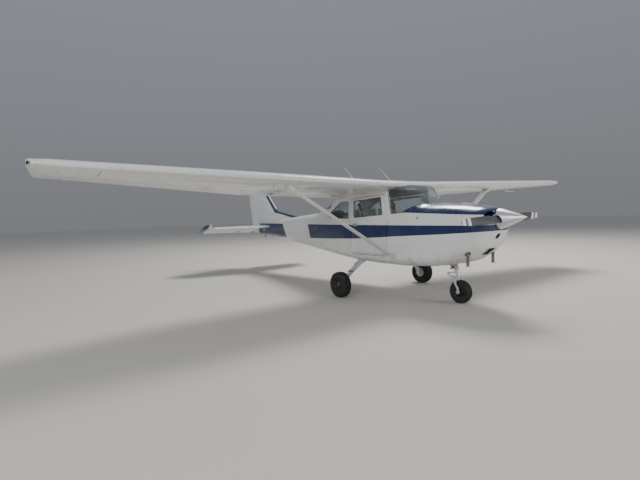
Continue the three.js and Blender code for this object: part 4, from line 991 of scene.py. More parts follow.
@dataclass
class Form:
    """The points and faces of a piece in the making, in the part's frame."""

    points: list[Vector] = field(default_factory=list)
    faces: list[tuple[int, ...]] = field(default_factory=list)

    def loft(self, rings: Sequence[Sequence[Vector]], caps: bool = True) -> Form:
        """Adds a skin through rings of points.

        Args:
            rings: the rings, each with the same count of points.
            caps: whether the first and last rings are filled.

        Returns:
            The form itself.
        """
        start, count = len(self.points), len(rings[0])
        for ring in rings:
            self.points.extend(Vector(p) for p in ring)
        last = start + (len(rings) - 1) * count
        for row in range(start, last, count):
            for i in range(count):
                a, b = row + i, row + (i + 1) % count
                self.faces.append((a, b, b + count, a + count))
        if caps:
            self.faces += [tuple(range(end, end + count)) for end in (start, last)]
        return self

    def lathe(
        self, rows: Iterable[Pair], frame: Matrix, sides: int = 32, caps: bool = True
    ) -> Form:
        """Adds a turned shape.

        Args:
            rows: its profile, as (distance along the axis, radius).
            frame: turns the local Z axis into the shape's axis.
            sides: how many sides it has.
            caps: whether its ends are filled. A profile that closes on itself has none.

        Returns:
            The form itself.
        """
        turns = circle(sides)
        return self.loft([[around(frame, r, turn, along) for turn in turns] for along, r in rows], caps=caps)

    def tube(self, path: Sequence[Vector], radii: float | Sequence[float], sides: int = 12) -> Form:
        """Adds a round bar along a path.

        Args:
            path: its centreline.
            radii: its radius, or one radius for each point of the path.
            sides: how many sides it has.

        Returns:
            The form itself.
        """
        line = [Vector(p) for p in path]
        sizes = [radii] * len(line) if isinstance(radii, (int, float)) else list(radii)
        heading = (line[1] - line[0]).normalized()
        across = heading.orthogonal().normalized()
        rings = []
        for i, (point, size) in enumerate(zip(line, sizes, strict=True)):
            ahead = line[min(i + 1, len(line) - 1)] - line[max(i - 1, 0)]
            heading = ahead.normalized()
            across = (across - heading * across.dot(heading)).normalized()
            up = heading.cross(across)
            rings.append([point + (across * math.cos(t) + up * math.sin(t)) * size for t in circle(sides)])
        return self.loft(rings)

    def block(self, low: Sequence[float], high: Sequence[float], frame: Matrix | None = None) -> Form:
        """Adds a box.

        Args:
            low: its low corner.
            high: its high corner.
            frame: what turns and moves it, if anything does.

        Returns:
            The form itself.
        """
        (x0, y0, z0), (x1, y1, z1) = low, high
        turn = frame or Matrix.Identity(4)
        rings = [
            [turn @ Vector((x, y, z)) for x, y in ((x0, y0), (x1, y0), (x1, y1), (x0, y1))]
            for z in (z0, z1)
        ]
        return self.loft(rings)

    def stud(self, point: Vector, normal: Vector, radius: float, rise: float, sides: int = 8) -> Form:
        """Adds a domed head on a surface, such as a screw or a rivet.

        Args:
            point: where it sits.
            normal: the way it faces.
            radius: its radius.
            rise: its height.
            sides: how many sides it has.

        Returns:
            The form itself.
        """
        rows = [(-rise, radius), (0.3 * rise, radius), (0.8 * rise, 0.7 * radius), (rise, 0.25 * radius)]
        return self.lathe(rows, facing(point, normal), sides)

    def bolts(
        self, frame: Matrix, count: int, ring: Pair, radius: float, rise: float,
        sides: int = 6, way: int = 1, shift: float = 0.0,
    ) -> Form:
        """Adds a ring of studs round a frame's Z axis.

        Args:
            frame: the ring's frame.
            count: how many studs there are.
            ring: the ring's radius, and its place along the axis.
            radius: each stud's radius.
            rise: each stud's height.
            sides: how many sides each stud has.
            way: 1 if the heads face along the axis, -1 if against it.
            shift: the first stud's turn, as a share of the gap between two.

        Returns:
            The form itself.
        """
        reach, along = ring
        normal = frame.to_3x3() @ Vector((0, 0, way))
        for turn in circle(count, shift):
            self.stud(around(frame, reach, turn, along), normal, radius, rise, sides)
        return self

    def mirrored(self) -> Form:
        """A copy on the other side of the aircraft."""
        flip = Vector((-1, 1, 1))
        return Form([p * flip for p in self.points], list(self.faces))

    def on(self, side: Side) -> Form:
        """The form on one side, as it was made to port."""
        return self if side is Side.PORT else self.mirrored()

    def piece(
        self,
        name: str,
        body: str,
        finish: Finish,
        slot: str,
        stands_for: Sequence[str] = (),
        bevel: float = 0.0,
        angle: float = 32.0,
    ) -> bpy.types.Object:
        """Turns the form into a Blender object that rides on a body.

        Args:
            name: the piece's name.
            body: the body that it moves with.
            finish: its finish.
            slot: the record's material slot of the piece. It is not used.
            stands_for: the CAD nodes that it replaces.
            bevel: how much its sharp edges are rounded.
            angle: an edge sharper than this stays sharp, in degrees.

        Returns:
            The object.
        """
        mesh = bpy.data.meshes.new(name)
        mesh.from_pydata(self.points, [], self.faces)
        tidy(mesh)
        obj = bpy.data.objects.new(name, mesh)
        bpy.context.scene.collection.objects.link(obj)
        mesh.materials.append(finish.material())
        mesh.shade_smooth()
        mesh.set_sharp_from_angle(angle=math.radians(angle))
        if bevel:
            round_edges(obj, bevel, angle)
        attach(obj, body)
        if stands_for:
            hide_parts(*stands_for)
        LOG.info("%s rides on %s with %d faces", name, body, len(mesh.polygons))
        return obj


def tidy(mesh: bpy.types.Mesh) -> None:
    """Merges doubled points, drops empty faces and turns every face outwards.

    Args:
        mesh: the mesh to put right.
    """
    work = bmesh.new()
    work.from_mesh(mesh)
    bmesh.ops.remove_doubles(work, verts=work.verts, dist=1e-6)
    bmesh.ops.dissolve_degenerate(work, edges=work.edges, dist=1e-7)
    bmesh.ops.recalc_face_normals(work, faces=work.faces)
    work.to_mesh(mesh)
    work.free()


def round_edges(obj: bpy.types.Object, width: float, angle: float) -> None:
    """Rounds an object's sharp edges with a bevel modifier.

    Args:
        obj: the object.
        width: how wide the round is.
        angle: edges sharper than this are rounded, in degrees.
    """
    bevel = obj.modifiers.new("rounded_edges", "BEVEL")
    bevel.width = width
    bevel.segments = 2
    bevel.limit_method = "ANGLE"
    bevel.angle_limit = math.radians(angle)
    bevel.harden_normals = True


def cut_away(obj: bpy.types.Object, tool: Form) -> None:
    """Cuts a closed form out of an object for good.

    Args:
        obj: the object that is cut.
        tool: the form that is taken away.
    """
    mesh = bpy.data.meshes.new("cutter")
    mesh.from_pydata(tool.points, [], tool.faces)
    tidy(mesh)
    cutter = bpy.data.objects.new("cutter", mesh)
    bpy.context.scene.collection.objects.link(cutter)
    cut = obj.modifiers.new("cut", "BOOLEAN")
    cut.operation, cut.object, cut.solver = "DIFFERENCE", cutter, "EXACT"
    bpy.context.view_layer.update()
    graph = bpy.context.evaluated_depsgraph_get()
    done = bpy.data.meshes.new_from_object(obj.evaluated_get(graph))
    obj.modifiers.remove(cut)
    old, obj.data = obj.data, done
    done.name = obj.name
    bpy.data.meshes.remove(old)
    bpy.data.objects.remove(cutter)


def circle(count: int, shift: float = 0.0) -> list[float]:
    """Spaces angles evenly round a circle.

    Args:
        count: how many angles there are.
        shift: the first one's turn, as a share of the gap between two.

    Returns:
        The angles, in radians.
    """
    return [math.tau * (k + shift) / count for k in range(count)]


def around(frame: Matrix, radius: float, turn: float, along: float = 0.0) -> Vector:
    """Finds a point on a circle round a frame's Z axis.

    Args:
        frame: the circle's frame.
        radius: its radius.
        turn: the angle, in radians.
        along: how far along the axis the circle lies.

    Returns:
        The point.
    """
    return frame @ Vector((radius * math.cos(turn), radius * math.sin(turn), along))


def oval(middle: Vector, wide: float, deep: float, sides: int = 16, level: bool = False) -> list[Vector]:
    """Makes an oval ring round a point.

    Args:
        middle: its middle.
        wide: half its size across the aircraft.
        deep: half its size the other way.
        sides: how many points it has.
        level: whether it lies level. If not, it stands upright.

    Returns:
        Its points.
    """
    ring = [(wide * math.cos(turn), deep * math.sin(turn)) for turn in circle(sides)]
    return [middle + Vector((a, b, 0) if level else (a, 0, b)) for a, b in ring]


def facing(point: Vector, direction: Vector) -> Matrix:
    """Makes a frame whose Z axis points along a direction.

    Args:
        point: the frame's origin.
        direction: where its Z axis points.

    Returns:
        The frame's matrix.
    """
    turn = Vector(direction).to_track_quat("Z", "Y").to_matrix().to_4x4()
    return Matrix.Translation(point) @ turn


def bend(points: Sequence[Sequence[float]], steps: int = 6) -> list[Vector]:
    """Runs a smooth curve through points.

    Args:
        points: what the curve passes through.
        steps: how many pieces each stretch is cut into.

    Returns:
        The curve's points.
    """
    line = [Vector(p) for p in points]
    line = [line[0] * 2 - line[1], *line, line[-1] * 2 - line[-2]]
    curve = []
    for a, b, c, d in zip(line, line[1:], line[2:], line[3:], strict=False):
        for i in range(steps):
            t = i / steps
            curve.append(
                (b * 2 + (c - a) * t + (a * 2 - b * 5 + c * 4 - d) * t**2
                 + (b * 3 - a - c * 3 + d) * t**3) / 2
            )
    return [*curve, line[-2]]


class Skin:
    """The outside of some CAD nodes, to set small pieces on."""

    def __init__(self, *nodes: str) -> None:
        """Gathers the nodes' faces.

        Args:
            *nodes: the nodes' names.
        """
        points: list[Vector] = []
        faces: list[tuple[int, ...]] = []
        for name in nodes:
            mesh = FRAME["nodes"][name].data
            start = len(points)
            points.extend(v.co.copy() for v in mesh.vertices)
            faces.extend(tuple(start + i for i in p.vertices) for p in mesh.polygons)
        self.tree = BVHTree.FromPolygons(points, faces)

    def hit(self, start: Vector, way: Sequence[float]) -> Spot | None:
        """Finds where a ray meets the skin.

        Args:
            start: where the ray starts.
            way: where it goes.

        Returns:
            The point and the outward normal there, or None.
        """
        direction = Vector(way).normalized()
        point, normal, _, _ = self.tree.ray_cast(start, direction)
        if point is None:
            return None
        return point, normal if normal.dot(direction) < 0 else -normal

    def beside(self, side: Side, station: float, z: float) -> Spot | None:
        """Finds the skin's point beside a station and height, from outside."""
        return self.hit(at(side.value * 1.2, station, z), (-side.value, 0, 0))

    def ahead(self, x: float, z: float, start: float = 0.2) -> Spot | None:
        """Finds the skin's foremost point at a place and height, seen from a station ahead of it."""
        return self.hit(at(x, start, z), (0, 1, 0))

    def above(self, x: float, station: float, start: float = 3.0) -> Spot | None:
        """Finds the skin's highest point at a place and station, seen from a height above it."""
        return self.hit(at(x, station, start), (0, 0, -1))

    def below(self, x: float, station: float, start: float = 1.2) -> Spot | None:
        """Finds the skin's lowest point at a place and station, seen from a height below it."""
        return self.hit(at(x, station, start), (0, 0, 1))


# The studio


@dataclass
class Studio:
    """Camera, floor and lights. The camera stands where the photograph was taken."""

    eye: Vector = field(default_factory=lambda: at(-5.649, -4.269, 1.472))
    ahead: Vector = field(default_factory=lambda: Vector((0.5865, 0.8075, -0.0635)))
    right: Vector = field(default_factory=lambda: Vector((0.8077, -0.5889, -0.0286)))
    lens: float = 23.985
    sensor: float = 36.0
    floor_half: float = 60.0
    lit: Vector = field(default_factory=lambda: Vector((0.0, -1.0, 1.2)))
    lights: tuple[tuple[str, Triple, Pair, float, Colour], ...] = (
        ("key", (8.0, 4.0, 14.0), (5.0, 5.0), 2600.0, (1.0, 0.97, 0.92)),
        ("front", (-13.0, -10.0, 6.0), (8.0, 5.0), 900.0, (0.97, 0.98, 1.0)),
        ("nose", (6.0, -13.0, 5.0), (6.0, 5.0), 380.0, (1.0, 0.99, 0.97)),
    )

    def build(self) -> None:
        """Makes the camera, the floor and the lights."""
        self._camera()
        self._floor()
        self._world()
        for light in self.lights:
            self._light(*light)

    def _camera(self) -> None:
        """Places the camera at the photograph's viewing angle."""
        lens = bpy.data.cameras.new("photo_camera")
        lens.lens = self.lens
        lens.sensor_width = self.sensor
        lens.sensor_fit = "HORIZONTAL"
        lens.clip_end = 200.0
        camera = bpy.data.objects.new("photo_camera", lens)
        ahead, right = self.ahead.normalized(), self.right.normalized()
        up = right.cross(ahead).normalized()
        axes = Matrix((right, up, -ahead)).transposed().to_4x4()
        camera.matrix_world = Matrix.Translation(self.eye) @ axes
        bpy.context.scene.collection.objects.link(camera)
        bpy.context.scene.camera = camera

    def _floor(self) -> None:
        """Lays the plain pale floor."""
        half = self.floor_half
        mesh = bpy.data.meshes.new("floor")
        corners = [(-half, -half, 0.0), (half, -half, 0.0), (half, half, 0.0), (-half, half, 0.0)]
        mesh.from_pydata(corners, [], [(0, 1, 2, 3)])
        mesh.materials.append(Finishes.FLOOR.material())
        floor = bpy.data.objects.new("floor", mesh)
        bpy.context.scene.collection.objects.link(floor)

    def _world(self) -> None:
        """Sets a soft dome of light, a little cooler overhead."""
        world = bpy.data.worlds.new("soft_dome")
        world.use_nodes = True
        world.node_tree.nodes.clear()
        net = Net(world.node_tree)
        place = net.node("ShaderNodeTexCoord").outputs["Generated"]
        height = net.node("ShaderNodeSeparateXYZ", {"Vector": place}).outputs["Z"]
        rise = net.remap(height, 0.0, 0.75, 0.0, 1.0)
        colour = net.tint(rise, (0.36, 0.37, 0.39), (0.56, 0.61, 0.70))
        sky = net.node("ShaderNodeBackground", {"Color": colour, "Strength": 0.55})
        output = net.node("ShaderNodeOutputWorld")
        net.feed(output.inputs["Surface"], sky.outputs["Background"])
        bpy.context.scene.world = world

    def _light(self, name: str, place: Triple, size: Pair, power: float, colour: Colour) -> None:
        """Hangs one soft area light that faces the aircraft.

        Args:
            name: the light's name.
            place: where it hangs.
            size: its width and height.
            power: its power, in watts.
            colour: its colour.
        """
        lamp = bpy.data.lights.new(name, "AREA")
        lamp.shape = "RECTANGLE"
        lamp.size, lamp.size_y = size
        lamp.energy = power
        lamp.color = colour
        light = bpy.data.objects.new(name, lamp)
        light.location = place
        light.rotation_euler = (self.lit - Vector(place)).to_track_quat("-Z", "Y").to_euler()
        bpy.context.scene.collection.objects.link(light)


# The aircraft


class Airframe:
    """The CAD nodes whose shape is right: each keeps its mesh and gets its finish and soft shading."""

    finishes: dict[Finish, tuple[str, ...]] = {
        Finishes.HULL: ("cabin_shell", "door_left", "door_right", "baggage_door", "tail_cone"),
        Finishes.COWL: ("cowl_nose_bowl", "cowl_top", "cowl_bottom"),
        Finishes.WING: (
            "wing_left", "wing_right", "flap_left", "flap_right",
            "aileron_left", "aileron_right", "roof_center_section",
        ),
        Finishes.FIN: ("fin",),
        Finishes.TAILPLANE: ("stabilizer",),
        Finishes.ELEVATOR: ("elevator", "trim_tab"),
        Finishes.PLAIN: ("rudder", "wing_strut_left", "wing_strut_right"),
        Finishes.GEAR: ("gear_leg_left", "gear_leg_right", "nose_strut_housing", "nose_fork"),
        Finishes.PANE: (
            "windshield", "rear_window", "quarter_window_left", "quarter_window_right",
            "door_window_left", "door_window_right",
        ),
        Finishes.CAST: ("engine_block",),
        Finishes.PIPE: ("exhaust_stacks",),
        Finishes.CARPET: ("cabin_floor",),
        Finishes.BLACK: ("instrument_panel",),
        Finishes.SEAT: ("seat_pilot", "seat_copilot", "rear_seat"),
        Finishes.TYRE: ("main_tyre_left", "main_tyre_right", "nose_tyre"),
        Finishes.HUB_PALE: ("main_wheel_left", "main_wheel_right", "nose_wheel"),
        Finishes.PROPELLER: ("propeller",),
        Finishes.SPINNER: ("spinner",),
    }
    shading_angle: float = 30.0

    def build(self) -> None:
        """Gives every CAD node its finish."""
        shading = self._soft_shading()
        for finish, nodes in self.finishes.items():
            material = finish.material()
            for name in nodes:
                obj = FRAME["nodes"][name]
                for slot in obj.material_slots:
                    slot.link = "OBJECT"
                    slot.material = material
                obj.modifiers.new("soft_shading", "NODES").node_group = shading
            LOG.info("%s covers %s", finish.name, ", ".join(nodes))

    def _soft_shading(self) -> bpy.types.NodeTree:
        """Makes the modifier that smooths a node's rounded faces and keeps its corners sharp.

        Returns:
            The modifier's node group.
        """
        group = bpy.data.node_groups.new("soft_shading", "GeometryNodeTree")
        for way in ("INPUT", "OUTPUT"):
            group.interface.new_socket("Geometry", in_out=way, socket_type="NodeSocketGeometry")
        net = Net(group)
        given, result = net.node("NodeGroupInput"), net.node("NodeGroupOutput")
        merged = net.node("GeometryNodeMergeByDistance", {"Geometry": given.outputs[0], "Distance": 5e-5})
        bare = net.node(
            "GeometryNodeRemoveAttribute",
            {"Geometry": merged.outputs["Geometry"], "Name": "custom_normal"},
        )
        smooth = net.node("GeometryNodeSetShadeSmooth", {"Geometry": bare.outputs["Geometry"]})
        bend_angle = net.node("GeometryNodeInputMeshEdgeAngle").outputs["Unsigned Angle"]
        corner = net.node("FunctionNodeCompare", operation="GREATER_THAN")
        net.feed(corner.inputs[0], bend_angle)
        net.feed(corner.inputs[1], math.radians(self.shading_angle))
        sharp = net.node("GeometryNodeSetShadeSmooth", {"Shade Smooth": False}, domain="EDGE")
        net.feed(sharp.inputs["Geometry"], smooth.outputs["Geometry"])
        net.feed(sharp.inputs["Selection"], corner.outputs["Result"])
        net.feed(result.inputs[0], sharp.outputs["Geometry"])
        return group


# Undercarriage and propeller


@dataclass
class Wheels:
    """The three tyres with their ribs, the wheels with their bolts, and the brake discs."""

    main_radius: float = 0.22118
    main_half: float = 0.08
    main_rim: float = 0.092
    main_station: float = 1.478
    half_track: float = 1.061
    nose_radius: float = 0.179432
    nose_half: float = 0.063
    nose_rim: float = 0.076
    nose_station: float = -0.204
    sides: int = 96
    ribs: int = 5
    groove: float = 0.0045
    wall: tuple[Pair, ...] = (
        (0.70, 0.0), (0.76, 0.02), (0.80, 0.08), (0.78, 0.11), (0.88, 0.2), (0.96, 0.34), (0.99, 0.46),
        (1.0, 0.52), (0.985, 0.54), (0.995, 0.56), (0.98, 0.68), (0.94, 0.78), (0.88, 0.86),
        (0.80, 0.925),
    )

    def build(self) -> None:
        """Makes the tyres and wheels on both legs and the nose fork."""
        for side in Side:
            centre = at(side.value * self.half_track, self.main_station, self.main_radius)
            frame = facing(centre, Vector((side.value, 0, 0)))
            word = side.word
            body = f"main_wheel_{word}"
            self._tyre(f"ribbed_tyre_{word}", body, frame, f"main_tyre_{word}", nose=False)
            self._main_wheel(word, body, frame)
        centre = at(0.0, self.nose_station, self.nose_radius)
        frame = facing(centre, Vector((1, 0, 0)))
        self._tyre("ribbed_tyre_nose", "nose_wheel", frame, "nose_tyre", nose=True)
        self._nose_wheel(frame)

    def _tyre(self, name: str, body: str, frame: Matrix, node: str, nose: bool) -> None:
        """Turns one tyre with a rounded crown, four grooves and a rim bead.

        Args:
            name: the piece's name.
            body: the wheel's body.
            frame: the wheel's middle, its Z axis along the axle.
            node: the CAD node that the tyre stands for.
            nose: whether it is the smaller nose tyre.
        """
        radius = self.nose_radius if nose else self.main_radius
        half = self.nose_half if nose else self.main_half
        rim = self.nose_rim if nose else self.main_rim
        height = radius - rim
        crown = []
        for rib in range(self.ribs):
            low = -0.7 + 1.4 * rib / self.ribs
            high = low + 1.4 / self.ribs
            for x, depth in ((low + 0.03, 1.0), (low + 0.055, 0.0), (high - 0.055, 0.0), (high - 0.03, 1.0)):
                top = radius - 0.035 * height * (abs(x) / 0.7) ** 2.2
                crown.append((x * half, top - self.groove * depth))
        outer = [(x * half, rim + share * height) for x, share in self.wall]
        inner = [(-x, r) for x, r in outer]
        rows = [*inner, *crown, *reversed(outer)]
        Form().lathe([*rows, rows[0]], frame, self.sides, caps=False).piece(
            name, body, Finishes.TYRE, slot="tyre_rubber", stands_for=(node,), angle=40
        )

    def _main_wheel(self, word: str, body: str, frame: Matrix) -> None:
        """Makes one main wheel: a dished rim, its cap and bolts, and the brake disc inboard.

        Args:
            word: the side's word.
            body: the wheel's body.
            frame: the wheel's middle, its Z axis outboard.
        """
        face = self.main_half * 0.72
        rim = self.main_rim - 0.0012
        bore = 0.0178
        rows = [
            (-face * 0.6, bore), (-face * 0.6, rim - 0.012), (-face, rim - 0.006), (-face, rim),
            (face, rim), (face + 0.002, rim - 0.004), (face - 0.004, rim - 0.010),
            (face * 0.45, rim - 0.016), (face * 0.38, 0.060), (face * 0.55, 0.052), (face * 0.98, 0.046),
            (face * 1.04, 0.040), (face * 1.04, bore), (-face * 0.6, bore),
        ]
        form = Form().lathe(rows, frame, 64, caps=False)
        form.bolts(frame, 6, (0.066, face * 0.44), 0.0065, 0.006)
        stem = [Vector((0.0, 0.07, face * 0.5)), Vector((0.0, 0.074, face * 0.9))]
        form.tube([frame @ p for p in stem], 0.003, 8)
        form.piece(
            f"dished_wheel_{word}", body, Finishes.HUB_DARK,
            slot="wheel_metal", stands_for=(f"main_wheel_{word}",), bevel=0.0008,
        )
        cap = [(face * 1.04, 0.0), (face * 1.04, 0.036), (face * 1.16, 0.034), (face * 1.24, 0.026)]
        Form().lathe([*cap, (face * 1.28, 0.012), (face * 1.285, 0.0)], frame, 40).piece(
            f"hub_cap_{word}", body, Finishes.HUB_DARK, slot="wheel_metal"
        )
        disc = [(-face - 0.016, bore), (-face - 0.016, 0.042), (-face - 0.010, 0.042),
                (-face - 0.010, 0.089), (-face - 0.004, 0.089), (-face - 0.004, 0.046),
                (-face * 0.6, 0.046), (-face * 0.6, bore), (-face - 0.016, bore)]
        plate = Form().lathe(disc, frame, 64, caps=False)
        plate.bolts(frame, 6, (0.034, -face - 0.016), 0.004, 0.003, way=-1, shift=0.5)
        plate.piece(f"brake_disc_{word}", body, Finishes.HUB_PALE, slot="wheel_metal", bevel=0.0006)

    def _nose_wheel(self, frame: Matrix) -> None:
        """Makes the nose wheel, the same on both faces.

        Args:
            frame: the wheel's middle, its Z axis to port.
        """
        face = self.nose_half * 0.72
        rim = self.nose_rim - 0.0012
        bore = 0.0158
        side = [(face, rim), (face + 0.002, rim - 0.004), (face - 0.004, rim - 0.009),
                (face * 0.5, rim - 0.014), (face * 0.42, 0.050), (face * 0.6, 0.043),
                (face * 0.98, 0.038), (face * 1.02, 0.034), (face * 1.02, bore)]
        rows = [*reversed([(-x, r) for x, r in side]), *side]
        form = Form().lathe([*rows, rows[0]], frame, 64, caps=False)
        for way in (1, -1):
            form.bolts(frame, 6, (0.055, way * face * 0.43), 0.005, 0.005, way=way)
        form.piece(
            "dished_wheel_nose", "nose_wheel", Finishes.HUB_DARK,
            slot="wheel_metal", stands_for=("nose_wheel",), bevel=0.0008,
        )


@dataclass
class MainGear:
    """What is fastened to the two main legs: brakes, brake lines, step treads and leg fairings."""

    axle_z: float = 0.22118
    axle_station: float = 1.478
    leg: tuple[tuple[float, float, float, float], ...] = (
        (0.42, 1.615, 0.585, 0.190), (0.56, 1.575, 0.530, 0.150), (0.76, 1.515, 0.428, 0.108),
        (0.905, 1.480, 0.330, 0.084), (0.950, 1.478, 0.250, 0.084),
    )
    collar: tuple[tuple[float, float, float, float, float], ...] = (
        (0.400, 1.618, 0.604, 0.110, 0.036), (0.440, 1.608, 0.590, 0.101, 0.026),
        (0.475, 1.599, 0.573, 0.092, 0.0195), (0.500, 1.592, 0.561, 0.088, 0.0165),
    )

    def build(self) -> None:
        """Makes both sides."""
        for side in Side:
            self._brake(side)
            self._line(side)
            self._step(side)
            self._fairing(side)

    def _brake(self, side: Side) -> None:
        """Makes the caliper behind the axle, with its bolts and bleed nipple.

        Args:
            side: the leg's side.
        """
        y, z = aft(self.axle_station), self.axle_z
        form = Form().block((0.9695, y + 0.040, z - 0.036), (0.990, y + 0.086, z + 0.036))
        form.block((0.9470, y + 0.046, z - 0.030), (0.9655, y + 0.084, z + 0.030))
        form.tube([Vector((x, y + 0.066, z)) for x in (0.947, 0.934)], [0.019, 0.017], 20)
        for dz in (-0.024, 0.024):
            form.stud(Vector((0.947, y + 0.066, z + dz)), Vector((-1, 0, 0)), 0.006, 0.006, 6)
        form.on(side).piece(
            f"brake_caliper_{side.word}", "airframe", Finishes.BLACK, slot="gear_steel", bevel=0.002
        )
        bolts = Form()
        for dy in (-0.024, 0.024):
            for dz in (0.026, -0.026):
                bolts.stud(Vector((0.945, y + dy, z + dz)), Vector((-1, 0, 0)), 0.008, 0.007, 6)
        bolts.tube([Vector((0.9425, y, z)), Vector((0.928, y, z))], [0.026, 0.022], 24)
        bolts.on(side).piece(f"axle_bolts_{side.word}", "airframe", Finishes.STEEL, slot="gear_steel")

    def _line(self, side: Side) -> None:
        """Runs the brake line down the leg's trailing edge.

        Args:
            side: the leg's side.
        """
        path = [(x, aft(s + w / 2 + 0.004), z) for x, s, z, w in self.leg]
        path.append((0.945, aft(self.axle_station + 0.074), self.axle_z + 0.030))
        form = Form().tube(bend(path), 0.0045, 8)
        for x, s, z, w in self.leg[1:4]:
            y = aft(s + w / 2)
            form.block((x - 0.014, y - 0.010, z - 0.016), (x + 0.014, y + 0.010, z + 0.016))
        form.on(side).piece(
            f"brake_line_{side.word}", "airframe", Finishes.SEAL, slot="gear_steel", bevel=0.001
        )

    def _step(self, side: Side) -> None:
        """Makes the gritty step pad over the leg's step.

        Args:
            side: the leg's side.
        """
        form = Form().block((0.802, aft(1.402), 0.4343), (0.918, aft(1.478), 0.4385))
        for i in range(5):
            y = aft(1.410 + 0.014 * i)
            form.block((0.806, y, 0.4385), (0.914, y + 0.005, 0.4402))
        form.on(side).piece(
            f"step_pad_{side.word}", "airframe", Finishes.BLACK, slot="gear_steel", bevel=0.001
        )

    def _fairing(self, side: Side) -> None:
        """Makes the moulded collar where the leg leaves the belly.

        Args:
            side: the leg's side.
        """
        rings = []
        for x, station, z, half, thick in self.collar:
            rings.append([
                at(x + math.sin(t) * thick * 0.45, station + math.cos(t) * half, z + math.sin(t) * thick)
                for t in circle(24)
            ])
        Form().loft(rings).on(side).piece(
            f"leg_fairing_{side.word}", "airframe", Finishes.GEAR, slot="gear_steel"
        )


